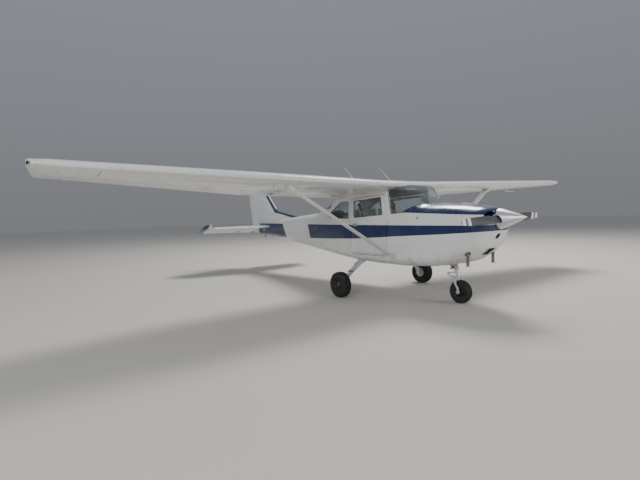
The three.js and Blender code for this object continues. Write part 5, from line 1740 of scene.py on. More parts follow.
@dataclass
class NoseGear:
    """The nose strut: housing clamps, chromed piston, torque link, fork, steering rods and damper."""

    rake: float = math.radians(14)
    axle_station: float = -0.204
    axle_z: float = 0.179432
    arm: float = 0.080
    crown_z: float = 0.392
    strut_foot: Pair = (-0.165, 0.385)
    link_z: float = 0.475
    piston: Pair = (0.425, 0.4988)

    def strut(self, z: float) -> Vector:
        """The strut's middle at a height."""
        station, foot = self.strut_foot
        return at(0.0, station + (z - foot) * math.tan(self.rake), z)

    def build(self) -> None:
        """Makes the fork on its body and the fixed pieces on the airframe."""
        self._fork()
        self._piston()
        self._housing()
        self._steering()

    def _fork(self) -> None:
        """Makes the steered fork: a crown, two tapered arms with axle eyes, and the torque link."""
        crown = self.strut(self.crown_z)
        form = Form()
        shoulder = [
            (-0.088, -0.052), (-0.080, -0.018), (-0.060, 0.006), (-0.030, 0.016), (0.0, 0.018),
            (0.030, 0.016), (0.060, 0.006), (0.080, -0.018), (0.088, -0.052),
        ]
        form.tube(bend([crown + Vector((x, 0.004, dz)) for x, dz in shoulder], 3), 0.023, 16)
        form.tube([self.strut(0.372), self.strut(0.430)], [0.036, 0.034], 28)
        for way in (-1, 1):
            foot = at(way * self.arm, self.axle_station, self.axle_z)
            line = [
                crown + Vector((way * 0.086, 0.004, -0.045)), crown + Vector((way * 0.083, 0.0, -0.095)),
                foot + Vector((0, 0.004, 0.060)), foot + Vector((0, 0, -0.004)),
            ]
            rings = []
            for point, wide in zip(bend(line, 4), [0.026] * 3 + [0.023] * 6 + [0.019] * 4, strict=True):
                rings.append(oval(point, 0.0085, wide, level=True))
            form.loft(rings)
            eye = facing(foot - Vector((way * 0.0085, 0, 0)), Vector((way, 0, 0)))
            form.lathe([(0, 0.0152), (0, 0.030), (0.017, 0.030), (0.019, 0.026), (0.019, 0.0152)], eye, 32)
        self._link(form)
        form.piece(
            "rounded_fork", "nose_fork", Finishes.GEAR, slot="gear_steel", stands_for=("nose_fork",),
            bevel=0.0015,
        )
        axle = Form()
        for way in (-1, 1):
            tip = at(way * (self.arm + 0.0145), self.axle_station, self.axle_z)
            axle.stud(tip - Vector((way * 0.004, 0, 0)), Vector((way, 0, 0)), 0.0150, 0.004, 6)
        axle.tube([at(-0.094, self.axle_station, self.axle_z), at(0.094, self.axle_station, self.axle_z)],
                  0.0128, 20)
        axle.piece("nose_axle", "nose_fork", Finishes.CAST, slot="gear_steel")

    def _link(self, form: Form) -> None:
        """Adds the curved torque link behind the strut.

        Args:
            form: the fork's form.
        """
        knee = self.strut(0.430) + Vector((0, 0.182, 0.018))
        head = self.strut(self.link_z)
        form.lathe([(-0.013, 0.0), (-0.013, 0.042), (0.013, 0.042), (0.013, 0.0)],
                   facing(head, self.strut(0.6) - head), 32)
        for way in (-1, 1):
            offset = Vector((way * 0.013, 0, 0))
            upper = [head + Vector((0, 0.03, 0)), knee + Vector((0, -0.03, 0.016)), knee]
            form.tube([p + offset for p in bend(upper, 5)], 0.0085, 10)
        lower = [knee, knee + Vector((0, -0.012, -0.030)), self.strut(0.40) + Vector((0, 0.075, 0.0)),
                 self.strut(0.385) + Vector((0, 0.02, 0.004))]
        form.tube(bend(lower, 6), 0.011, 12)
        form.tube([knee - Vector((0.026, 0, 0)), knee + Vector((0.026, 0, 0))], 0.012, 16)

    def _piston(self) -> None:
        """Makes the chromed sliding tube."""
        Form().tube([self.strut(z) for z in self.piston], 0.0245, 32).piece(
            "chromed_piston", "nose_fork", Finishes.CHROME, slot="gear_steel"
        )

    def _housing(self) -> None:
        """Makes the ribs and clamp bands round the fixed housing."""
        form = Form()
        way = self.strut(0.8) - self.strut(0.5)
        for z, radius in ((0.501, 0.041), (0.528, 0.0395), (0.560, 0.0395), (0.592, 0.041)):
            rows = [(0, 0.0355), (0, radius), (0.011, radius), (0.011, 0.0355)]
            form.lathe(rows, facing(self.strut(z), way), 32)
        form.piece("housing_bands", "airframe", Finishes.GEAR, slot="gear_steel", bevel=0.001)

    def _steering(self) -> None:
        """Makes the damper across the strut, its clamps and the steering rods' boots."""
        form = Form()
        low = self.strut(0.545)
        form.tube([low + Vector((-0.075, 0.052, 0.0)), low + Vector((0.055, 0.052, 0.0))], 0.0155, 24)
        form.tube([low + Vector((0.055, 0.052, 0.0)), low + Vector((0.092, 0.052, 0.0))], 0.006, 12)
        form.tube([low + Vector((0, 0.036, 0.0)), low + Vector((0, 0.052, 0.0))], 0.014, 12)
        form.piece("shimmy_damper", "airframe", Finishes.STEEL, slot="gear_steel", bevel=0.001)
        boots = Form()
        for way in (-1, 1):
            foot, head = self.strut(0.560) + Vector((way * 0.050, 0.02, 0)), at(way * 0.09, 0.02, 0.690)
            line = [foot.lerp(head, i / 18) for i in range(19)]
            boots.tube(line, [0.0125 if i % 2 else 0.017 for i in range(19)], 16)
        boots.piece("steering_boots", "airframe", Finishes.SEAL, slot="gear_steel")


@dataclass
class Propeller:
    """The two-blade propeller on its thrust line, and the polished spinner with its backplate."""

    station: float = -0.915
    turn: float = math.radians(-1.5)
    pitch: float = 0.900
    blade: tuple[Triple, ...] = (
        (0.036, 0.096, 0.044), (0.090, 0.104, 0.042), (0.150, 0.116, 0.034), (0.300, 0.127, 0.025),
        (0.480, 0.125, 0.018), (0.680, 0.113, 0.013), (0.860, 0.092, 0.009), (0.920, 0.080, 0.007),
        (0.950, 0.064, 0.005), (0.968, 0.036, 0.004),
    )
    spinner: tuple[Pair, ...] = (
        (-0.042, 0.1485), (0.0, 0.139), (0.08, 0.112), (0.16, 0.083), (0.24, 0.051), (0.30, 0.026),
        (0.336, 0.0105), (0.347, 0.005), (0.350, 0.0),
    )

    @property
    def frame(self) -> Matrix:
        """The thrust line's frame: X to port, Y aft along the shaft."""
        turn = Matrix.Rotation(-NOSE_UP, 4, "X")
        return Matrix.Translation(at(0, self.station, thrust_z(self.station))) @ turn

    def build(self) -> None:
        """Makes the blades, the spinner, its backplate and its screws."""
        self._blades()
        self._spinner()

    def _blades(self) -> None:
        """Lofts both blades with a cambered, twisted section."""
        form = Form()
        frame = self.frame @ Matrix.Rotation(self.turn, 4, "Y")
        rows = bend([(r, chord, thick) for r, chord, thick in self.blade], 4)
        for way in (-1, 1):
            rings = []
            for r, chord, thick in rows:
                angle = math.atan2(self.pitch, math.tau * max(r, 0.23))
                ring = []
                for u, v in self._section():
                    a, b = u * chord, v * thick
                    down = a * math.cos(angle) + b * math.sin(angle)
                    back = a * math.sin(angle) - b * math.cos(angle)
                    ring.append(frame @ Vector((way * r, back, -way * down)))
                rings.append(ring)
            form.loft(rings)
        hub = facing(frame @ Vector((0, 0.045, 0)), frame.to_3x3() @ Vector((0, -1, 0)))
        form.lathe([(0, 0), (0, 0.058), (0.0866, 0.058), (0.0866, 0)], hub, 40)
        form.piece(
            "twisted_blades", "propeller", Finishes.PROPELLER,
            slot="propeller_grey", stands_for=("propeller",), bevel=0.0008, angle=50,
        )

    @staticmethod
    def _section() -> list[Pair]:
        """The blade's section, as shares of its chord and thickness, leading edge first.

        Returns:
            Its points, all round.
        """
        over = [(-0.5, 0.0), (-0.485, 0.16), (-0.42, 0.32), (-0.32, 0.43), (-0.2, 0.5), (-0.05, 0.5),
                (0.1, 0.45), (0.23, 0.35), (0.35, 0.22), (0.45, 0.1), (0.5, 0.02)]
        under = [(0.45, -0.06), (0.35, -0.1), (0.18, -0.18), (0.0, -0.25), (-0.18, -0.29), (-0.3, -0.3),
                 (-0.42, -0.25), (-0.485, -0.12)]
        return over + under

    def _spinner(self) -> None:
        """Turns the spinner, cut for the blades, with its backplate ring and screws."""
        nose = facing(self.frame.translation, self.frame.to_3x3() @ Vector((0, -1, 0)))
        rows = [(p.x, p.y) for p in bend([(a, r, 0) for a, r in self.spinner], 5)]
        rows = [(-0.042, 0.0), *rows[:-1], (0.350, 0.0)]
        shell = Form().lathe(rows, nose, 96).piece(
            "polished_spinner", "propeller", Finishes.SPINNER,
            slot="polished_metal", stands_for=("spinner",), angle=40,
        )
        slot = self.frame @ Matrix.Rotation(self.turn, 4, "Y")
        hole = [(0.066 * math.sin(t) * math.cos(0.52), 0.044 * math.cos(t)) for t in circle(32)]
        rings = [
            [slot @ Vector((x, y - 0.004 + lean * z, z)) for z, y in hole]
            for x, lean in ((-0.30, 0.35), (-0.05, 0.35), (0.05, -0.35), (0.30, -0.35))
        ]
        cut_away(shell, Form().loft(rings))
        ring = [(-0.0415, 0.1420), (-0.0415, 0.1500), (-0.0385, 0.1506), (-0.030, 0.1490), (-0.030, 0.1450)]
        Form().lathe(ring, nose, 96).piece(
            "spinner_backplate", "propeller", Finishes.STEEL, slot="polished_metal", bevel=0.0005
        )
        screws = Form()
        for turn in circle(16, 0.5):
            way = Vector((math.cos(turn), math.sin(turn), 0.24))
            screws.stud(around(nose, 0.1452, turn, -0.024), nose.to_3x3() @ way, 0.0045, 0.0016, 8)
        screws.piece("spinner_screws", "propeller", Finishes.STEEL, slot="polished_metal")


# Cowling and cabin


@dataclass
class Cowling:
    """What sits on and in the cowling: fasteners, lips, lamp, intake, engine, exhaust and oil door."""

    split: float = 1.215
    bowl: float = -0.690
    firewall: float = 0.100
    stud_row: Pair = (-0.63, 0.085)
    stud_arc: Pair = (-78.0, 15.6)
    stud_arc_z: float = 1.10
    inlet: tuple[Pair, ...] = (
        (0.140, 1.290), (0.215, 1.2905), (0.296, 1.296), (0.318, 1.325), (0.322, 1.368),
        (0.296, 1.408), (0.240, 1.428), (0.185, 1.4295), (0.140, 1.424),
    )
    inlet_middle: Pair = (0.235, 1.358)
    lamp_axis: tuple[Vector, Vector] = field(
        default_factory=lambda: (at(-0.025, -0.960, 0.990), at(-0.025, -0.770, 1.125))
    )
    lamp_radius: float = 0.044
    intake: Triple = (0.768, 0.896, 0.112)
    stack_x: float = 0.318
    stack_station: float = -0.556
    ahead: float = -1.2
    over: float = 2.2
    banks: tuple[tuple[int, float], ...] = ((1, -0.590), (-1, -0.555))
    cylinder_gap: float = 0.235
    oil_door: tuple[Pair, ...] = ((0.115, -0.33), (0.255, -0.33), (0.255, -0.17), (0.115, -0.17))
    skin: Skin = field(init=False)

    def build(self) -> None:
        """Makes the cowling's details and the engine that shows inside it."""
        self.skin = Skin("cowl_top", "cowl_bottom", "cowl_nose_bowl", "cabin_shell")
        self._fasteners()
        self._seams()
        self._inlets()
        self._lamp()
        self._intake()
        self._exhaust()
        self._engine()
        self._oil_door()

    def _fasteners(self) -> None:
        """Sets quarter-turn fasteners along the split line, the bowl joint and the firewall joint."""
        studs = Form()
        first, gap = self.stud_row
        first_turn, turn_gap = self.stud_arc
        for side in Side:
            for i in range(9):
                station = first + gap * i
                for z in (self.split + 0.017, self.split - 0.017):
                    self._stud(studs, self.skin.beside(side, station, z))
            for station in (self.bowl - 0.016, self.bowl + 0.016, self.firewall - 0.016):
                for i in range(11):
                    turn = math.radians(first_turn + turn_gap * i)
                    way = Vector((-side.value * math.cos(turn), 0, -math.sin(turn)))
                    start = at(0, station, self.stud_arc_z) - way * 1.5
                    self._stud(studs, self.skin.hit(start, way))
        studs.piece("cowl_fasteners", "airframe", Finishes.COWL, slot="white_paint")

    @staticmethod
    def _stud(studs: Form, spot: Spot | None) -> None:
        """Adds a low fastener head where the skin was met."""
        if spot:
            studs.stud(spot[0] - spot[1] * 0.0008, spot[1], 0.0055, 0.0017, 10)

    def _seams(self) -> None:
        """Runs a thin dark gap strip along the split line of the cowling halves."""
        for side in Side:
            path = []
            for i in range(14):
                station = self.bowl + (self.firewall - self.bowl - 0.006) * i / 13 + 0.003
                spot = self.skin.beside(side, station, self.split - 0.004)
                if spot:
                    path.append(spot[0] + Vector((0, 0, 0.004)))
            Form().tube(path, 0.0011, 6).piece(
                f"cowl_split_{side.word}", "airframe", Finishes.SEAL, slot="tyre_rubber"
            )

    def _inlets(self) -> None:
        """Rolls the lips of the two cooling inlets."""
        mouth = [(x, z, 0.0) for x, z in (*self.inlet, self.inlet[0])]
        middle = Vector((*self.inlet_middle, 0.0))
        for side in Side:
            path = []
            for point in bend(mouth, 4):
                clear = point + (point - middle).normalized() * 0.007
                spot = self.skin.ahead(side.value * clear.x, clear.y, self.ahead)
                if spot:
                    path.append(Vector((side.value * point.x, spot[0].y + 0.005, point.y)))
            Form().tube(path, 0.0050, 10).piece(
                f"inlet_lip_{side.word}", "airframe", Finishes.COWL, slot="white_paint"
            )

    def _lamp(self) -> None:
        """Makes the chin lamp: a ring, a dished reflector, a bulb and a clear lens."""
        mouth, back = self.lamp_axis
        inward = (back - mouth).normalized()
        aside = Vector((1, 0, 0))
        depths = []
        for turn in (0.0, math.pi):
            start = mouth + aside * math.cos(turn) * (self.lamp_radius + 0.008)
            depths.append((self.skin.hit(start, inward)[0] - start).dot(inward))
        centre = mouth + inward * (sum(depths) / len(depths))
        ring = []
        for turn in (*circle(40), math.tau):
            out = aside * math.cos(turn) + inward.cross(aside).normalized() * math.sin(turn)
            spot = self.skin.hit(mouth + out * (self.lamp_radius + 0.004), inward)
            if spot:
                ring.append(spot[0] + inward * 0.001)
        Form().tube(ring, 0.0048, 8).piece(
            "lamp_ring", "airframe", Finishes.STEEL, slot="polished_metal"
        )
        frame = facing(centre + inward * 0.048, inward)
        bowl = [(0.055, 0.0), (0.052, 0.014), (0.036, 0.028), (0.012, 0.039), (0.0, 0.0435),
                (0.0, 0.0415), (0.012, 0.037), (0.034, 0.026), (0.049, 0.012), (0.052, 0.0)]
        Form().lathe(bowl, frame, 40).piece(
            "lamp_reflector", "airframe", Finishes.CHROME, slot="polished_metal"
        )
        bulb = [(0.050, 0.0), (0.050, 0.009), (0.030, 0.010), (0.020, 0.008), (0.014, 0.0)]
        Form().lathe(bulb, frame, 20).piece("lamp_bulb", "airframe", Finishes.LENS, slot="glazing")
        glass = [(-0.010, 0.0), (-0.008, 0.022), (0.0, 0.043), (0.003, 0.043), (-0.005, 0.022),
                 (-0.007, 0.0)]
        Form().lathe(glass, frame, 40).piece("lamp_lens", "airframe", Finishes.LENS, slot="glazing")

    def _intake(self) -> None:
        """Makes the air box: a pale lip, a thin splitter and the pleated filter inside."""
        low, high, half = self.intake
        face = []
        for x, z in ((-half, high), (half, high), (half, low), (-half, low), (-half, high)):
            point, _ = self.skin.ahead(x * 1.06, z + (0.006 if z > 0.8 else -0.006), self.ahead)
            face.append(Vector((x, point.y + 0.003, z)))
        Form().tube(face, 0.0055, 8).piece("intake_lip", "airframe", Finishes.PLAIN, slot="white_paint")
        mouth = [
            (self.skin.ahead(half + 0.012, z, self.ahead)[0].y + 0.062, z)
            for z in (low + 0.002, (low + high) / 2, high - 0.002)
        ]
        form, count, thick = Form(), 24, 0.0014
        pleat = [*mouth, *((y + 0.030, z) for y, z in reversed(mouth))]
        for i in range(count):
            x = -half + 0.005 + (2 * half - 0.01) * i / (count - 1)
            form.loft([[Vector((x + t, y, z)) for y, z in pleat] for t in (-thick, thick)])
        wall = [(y + 0.028, z) for y, z in mouth] + [(y + 0.034, z) for y, z in reversed(mouth)]
        form.loft([[Vector((x, y, z)) for y, z in wall] for x in (-half, half)])
        form.piece("intake_filter", "airframe", Finishes.BAFFLE, slot="panel_dark")
        vane = [(y - 0.050, z) for y, z in mouth] + [(y - 0.004, z) for y, z in reversed(mouth)]
        Form().loft([[Vector((x, y, z)) for y, z in vane] for x in (-0.0415, -0.0385)]).piece(
            "intake_splitter", "airframe", Finishes.PLAIN, slot="white_paint"
        )

    def _exhaust(self) -> None:
        """Makes the two hollow stacks with their clamps, joined by the cross pipe."""
        form = Form()
        for way in (-1, 1):
            foot = at(way * self.stack_x, self.stack_station, 0.634)
            top = at(way * self.stack_x, self.stack_station, 0.955)
            join = at(way * 0.27, self.stack_station + 0.03, 1.02)
            outer = bend([foot, foot.lerp(top, 0.5), top, join], 5)
            inner = [foot + Vector((0, 0, rise)) for rise in (0.10, 0.002)]
            form.loft([
                oval(p, radius, radius, 32, level=True)
                for line, radius in ((outer, 0.023), (inner, 0.0205)) for p in reversed(line)
            ])
            band = facing(foot + Vector((0, 0, 0.16)), Vector((0, 0, 1)))
            form.lathe([(0, 0.022), (0, 0.0275), (0.016, 0.0275), (0.016, 0.022)], band, 32)
        form.tube(
            bend([at(-self.stack_x, self.stack_station, 0.960), at(0, self.stack_station + 0.06, 0.960),
                  at(self.stack_x, self.stack_station, 0.960)], 8), 0.032, 24,
        )
        form.piece(
            "hollow_stacks", "airframe", Finishes.PIPE,
            slot="exhaust_steel", stands_for=("exhaust_stacks",),
        )

    def _engine(self) -> None:
        """Makes the flat-four engine that shows through the inlets: case, finned cylinders, a baffle."""
        form = Form()
        form.block((-0.115, aft(-0.688), 1.060), (0.115, aft(-0.080), 1.345))
        form.block((-0.075, aft(-0.640), 1.022), (0.075, aft(-0.160), 1.060))
        for x, start in self.banks:
            for row in range(2):
                middle = at(x * 0.115, start + self.cylinder_gap * row, 1.265)
                frame = facing(middle, Vector((x, 0, 0)))
                rows = [(0.0, 0.0), (0.0, 0.062)]
                for fin in range(15):
                    d = 0.008 + fin * 0.0112
                    rows += [(d, 0.060), (d, 0.088), (d + 0.003, 0.088), (d + 0.003, 0.060)]
                rows += [(0.178, 0.066), (0.205, 0.064), (0.215, 0.052), (0.2155, 0.0)]
                form.lathe(rows, frame, 28)
                form.tube(
                    bend([middle + Vector((x * 0.15, 0, -0.06)), middle + Vector((x * 0.18, 0, -0.16)),
                          at(x * 0.30, self.stack_station + 0.1 * row, 1.03)], 4), 0.021, 14,
                )
        form.piece(
            "finned_engine", "airframe", Finishes.CAST,
            slot="engine_metal", stands_for=("engine_block",), bevel=0.002,
        )
        Form().block((-0.34, aft(-0.672), 1.400), (0.34, aft(-0.16), 1.4025)).piece(
            "engine_top_baffle", "airframe", Finishes.BAFFLE, slot="engine_metal", bevel=0.0005
        )
        leads = Form()
        for x, start in self.banks:
            for row in range(2):
                s = start + self.cylinder_gap * row
                leads.tube(
                    bend([at(x * 0.06, s + 0.04, 1.348), at(x * 0.15, s + 0.05, 1.385),
                          at(x * 0.27, s + 0.02, 1.372), at(x * 0.30, s, 1.325)], 5), 0.0045, 8,
                )
        leads.piece("ignition_leads", "airframe", Finishes.SEAL, slot="engine_metal")

    def _oil_door(self) -> None:
        """Makes the oil filler door in the hood, with its hinge and two latches."""
        rim = [self.skin.above(x, s, self.over)[0] for x, s in self.oil_door]
        Form().loft([[p + Vector((0, 0, lift)) for p in rim] for lift in (-0.004, 0.0018)]).piece(
            "oil_door", "airframe", Finishes.COWL, slot="blue_paint", bevel=0.0008
        )
        knobs = Form()
        for s in (-0.30, -0.20):
            point, normal = self.skin.above(0.238, s, self.over)
            knobs.stud(point + normal * 0.001, normal, 0.009, 0.0026, 16)
        hinge, _ = self.oil_door[0]
        for i in range(7):
            s = -0.325 + 0.025 * i
            ends = [self.skin.above(hinge, place, self.over) for place in (s, s + 0.019)]
            knobs.tube([point + normal * 0.002 for point, normal in ends], 0.0028, 8)
        knobs.piece("oil_door_latches", "airframe", Finishes.STEEL, slot="polished_metal")


@dataclass
class CabinDetail:
    """Seals round every window, the doors' furniture, the static ports and the air probe."""

    windscreen: tuple[Pair, ...] = (
        (0.247, 1.576), (0.300, 1.548), (0.400, 1.498), (0.516, 1.440), (0.640, 1.431), (0.770, 1.424),
        (0.800, 1.590), (0.838, 1.800), (0.826, 1.850), (0.812, 1.895),
    )
    door_pane: tuple[Pair, ...] = ((0.966, 1.410), (1.004, 1.706), (1.706, 1.668), (1.704, 1.366))
    rear_pane: tuple[Pair, ...] = (
        (1.868, 1.352), (1.872, 1.662), (2.120, 1.655), (2.560, 1.400), (2.470, 1.360)
    )
    back_light: tuple[Pair, ...] = ((2.350, 1.752), (2.480, 1.560), (2.990, 1.462))
    screws: tuple[tuple[Pair, ...], ...] = (
        ((0.30, 1.525), (0.400, 1.476), (0.516, 1.416), (0.640, 1.407), (0.770, 1.402)),
        ((1.850, 1.338), (1.852, 1.680), (2.128, 1.673), (2.585, 1.402), (2.480, 1.342), (1.850, 1.338)),
    )
    sill: tuple[Pair, ...] = ((0.900, 0.735), (1.750, 0.728))
    pull: Triple = (1.600, 1.735, 1.245)
    door_lock: Pair = (1.700, 1.180)
    hinge_heights: Pair = (0.915, 1.275)
    static_port: Pair = (0.215, 1.349)
    baggage_lock: Pair = (2.462, 1.060)
    baggage_pull: Pair = (2.440, 1.130)
    air_probe: Pair = (-0.30, 0.800)
    skin: Skin = field(init=False)

    def build(self) -> None:
        """Makes the seals and the small fittings on both sides."""
        self.skin = Skin(
            "cabin_shell", "windshield", "door_left", "door_right", "door_window_left",
            "door_window_right", "quarter_window_left", "quarter_window_right", "rear_window",
            "cowl_top", "cowl_bottom", "tail_cone", "baggage_door",
        )
        for side in Side:
            word = side.word
            self._seal(f"windscreen_seal_{word}", "airframe", side, self.windscreen, closed=False)
            self._seal(f"door_pane_seal_{word}", f"door_{word}", side, self.door_pane)
            self._seal(f"quarter_pane_seal_{word}", "airframe", side, self.rear_pane)
            self._seal(f"back_light_seal_{word}", "airframe", side, self.back_light, closed=False)
            self._frame_screws(side)
            self._handle(side)
            self._hinges(side)
            self._static_port(side)
        self._baggage_latch()
        self._probe()

    def _spread(self, line: Sequence[Pair], closed: bool, gap: float = 0.02) -> list[Pair]:
        """Cuts a line of (station, z) points into short steps.

        Args:
            line: its corners.
            closed: whether it closes.
            gap: the longest step.

        Returns:
            The points.
        """
        corners = [*line, line[0]] if closed else list(line)
        points = []
        for (a, b), (c, d) in zip(corners, corners[1:]):
            steps = max(1, math.ceil(math.hypot(c - a, d - b) / gap))
            points += [(a + (c - a) * i / steps, b + (d - b) * i / steps) for i in range(steps)]
        return [*points, corners[-1]]

    def _on_skin(self, side: Side, line: Sequence[Pair], closed: bool = True,
                 lift: float = 0.0) -> list[Vector]:
        """Lays a line of (station, z) points on the skin.

        Args:
            side: the side it is on.
            line: its corners.
            closed: whether it closes.
            lift: how far above the skin it lies.

        Returns:
            The points on the skin.
        """
        path = []
        for station, z in self._spread(line, closed):
            spot = self.skin.beside(side, station, z)
            if spot and (not path or (spot[0] - path[-1]).length < 0.35):
                path.append(spot[0] + spot[1] * lift)
        return path

    def _seal(self, name: str, body: str, side: Side, line: Sequence[Pair],
              closed: bool = True) -> None:
        """Makes one window's rubber seal.

        Args:
            name: its name.
            body: the body it rides on.
            side: the side it is on.
            line: the window's corners.
            closed: whether it goes all the way round.
        """
        path = self._on_skin(side, line, closed)
        Form().tube(path, 0.0046, 8).piece(name, body, Finishes.SEAL, slot="tyre_rubber")

    def _frame_screws(self, side: Side) -> None:
        """Sets the screws of the windscreen's retaining strip and round the rear side window.

        Args:
            side: the side it is on.
        """
        form = Form()
        for line in self.screws:
            for station, z in self._spread(line, closed=False, gap=0.062):
                spot = self.skin.beside(side, station, z)
                if spot and abs(spot[1].x) > 0.3:
                    form.stud(spot[0] - spot[1] * 0.0006, spot[1], 0.0036, 0.0016, 8)
        form.piece(f"window_screws_{side.word}", "airframe", Finishes.STEEL, slot="polished_metal")

    def _handle(self, side: Side) -> None:
        """Makes the door's flush pull, its lever, the lock and the lower edge strip.

        Args:
            side: the door's side.
        """
        body = f"door_{side.word}"
        form = Form()
        start, end, z = self.pull
        low, high = self.skin.beside(side, start, z), self.skin.beside(side, end, z)
        out = (low[1] + high[1]).normalized()
        along = (high[0] - low[0]).normalized()
        up = out.cross(along).normalized()
        up = up if up.z > 0 else -up
        middle = (low[0] + high[0]) / 2
        base = []
        turns = circle(28)
        for lift, grow in ((-0.002, 1.0), (0.002, 1.0), (0.0032, 0.93), (0.0010, 0.84)):
            ring = []
            for t in turns:
                c, s = math.cos(t), math.sin(t)
                wide = along * 0.074 * grow * abs(c) ** 0.6 * math.copysign(1, c)
                tall = up * 0.026 * grow * abs(s) ** 0.6 * math.copysign(1, s)
                ring.append(middle + out * lift + wide + tall)
            base.append(ring)
        form.loft(base)
        form.piece(f"door_pull_plate_{side.word}", body, Finishes.PLAIN, slot="white_paint")
        lever = Form()
        line = [middle - along * 0.052 + out * 0.002, middle - along * 0.044 + out * 0.016,
                middle + along * 0.02 + out * 0.017, middle + along * 0.050 + out * 0.011]
        rings = []
        for point, wide in zip(bend(line, 4), [0.011, 0.012] + [0.010] * 9 + [0.008] * 2, strict=True):
            rings.append([point + out * 0.0042 * math.sin(t) + up * wide * math.cos(t) for t in turns])
        lever.loft(rings)
        lever.stud(*self.skin.beside(side, *self.door_lock), 0.011, 0.003, 20)
        lever.piece(f"door_lever_{side.word}", body, Finishes.CAST, slot="polished_metal")
        strip = self._on_skin(side, self.sill, closed=False, lift=0.0005)
        Form().tube(strip, 0.0032, 6).piece(
            f"door_sill_strip_{side.word}", body, Finishes.SEAL, slot="tyre_rubber"
        )

    def _hinges(self, side: Side) -> None:
        """Makes the leaves over the door's two hinges on the front jamb.

        Args:
            side: the door's side.
        """
        form = Form()
        for z in self.hinge_heights:
            for station in (0.836, 0.826):
                frame = facing(*self.skin.beside(side, station, z))
                form.block((-0.028, -0.004, -0.001), (0.028, 0.004, 0.0022), frame)
            for dz in (-0.018, 0.018):
                form.stud(*self.skin.beside(side, 0.820, z + dz), 0.0038, 0.0028, 8)
        form.piece(f"door_hinge_leaves_{side.word}", "airframe", Finishes.STEEL, slot="gear_steel")

    def _static_port(self, side: Side) -> None:
        """Makes the static port.

        Args:
            side: the side it is on.
        """
        point, normal = self.skin.beside(side, *self.static_port)
        rows = [(-0.001, 0.0), (-0.001, 0.018), (0.0012, 0.0175), (0.0018, 0.014), (0.0004, 0.006),
                (0.0004, 0.0)]
        form = Form().lathe(rows, facing(point, normal), 28)
        form.stud(point + normal * 0.0012, normal, 0.0045, 0.0010, 14)
        form.piece(f"static_port_{side.word}", "airframe", Finishes.CAST, slot="polished_metal")

    def _baggage_latch(self) -> None:
        """Makes the baggage door's lock and pull."""
        form = Form().stud(*self.skin.beside(Side.PORT, *self.baggage_lock), 0.0125, 0.0035, 24)
        frame = facing(*self.skin.beside(Side.PORT, *self.baggage_pull))
        form.block((-0.016, -0.030, -0.001), (0.016, 0.030, 0.004), frame)
        form.piece("baggage_latch", "baggage_door", Finishes.CHROME, slot="polished_metal", bevel=0.001)

    def _probe(self) -> None:
        """Makes the outside thermometer's probe on the cabin roof's edge."""
        point, normal = self.skin.hit(at(*self.air_probe, 2.4), (0, 0.1, -1))
        form = Form().stud(point, normal, 0.011, 0.004, 18)
        form.tube([point, point + Vector((0, -0.026, 0.010))], 0.0035, 10)
        form.piece("air_probe", "airframe", Finishes.STEEL, slot="polished_metal")


# Cockpit, seats and lining


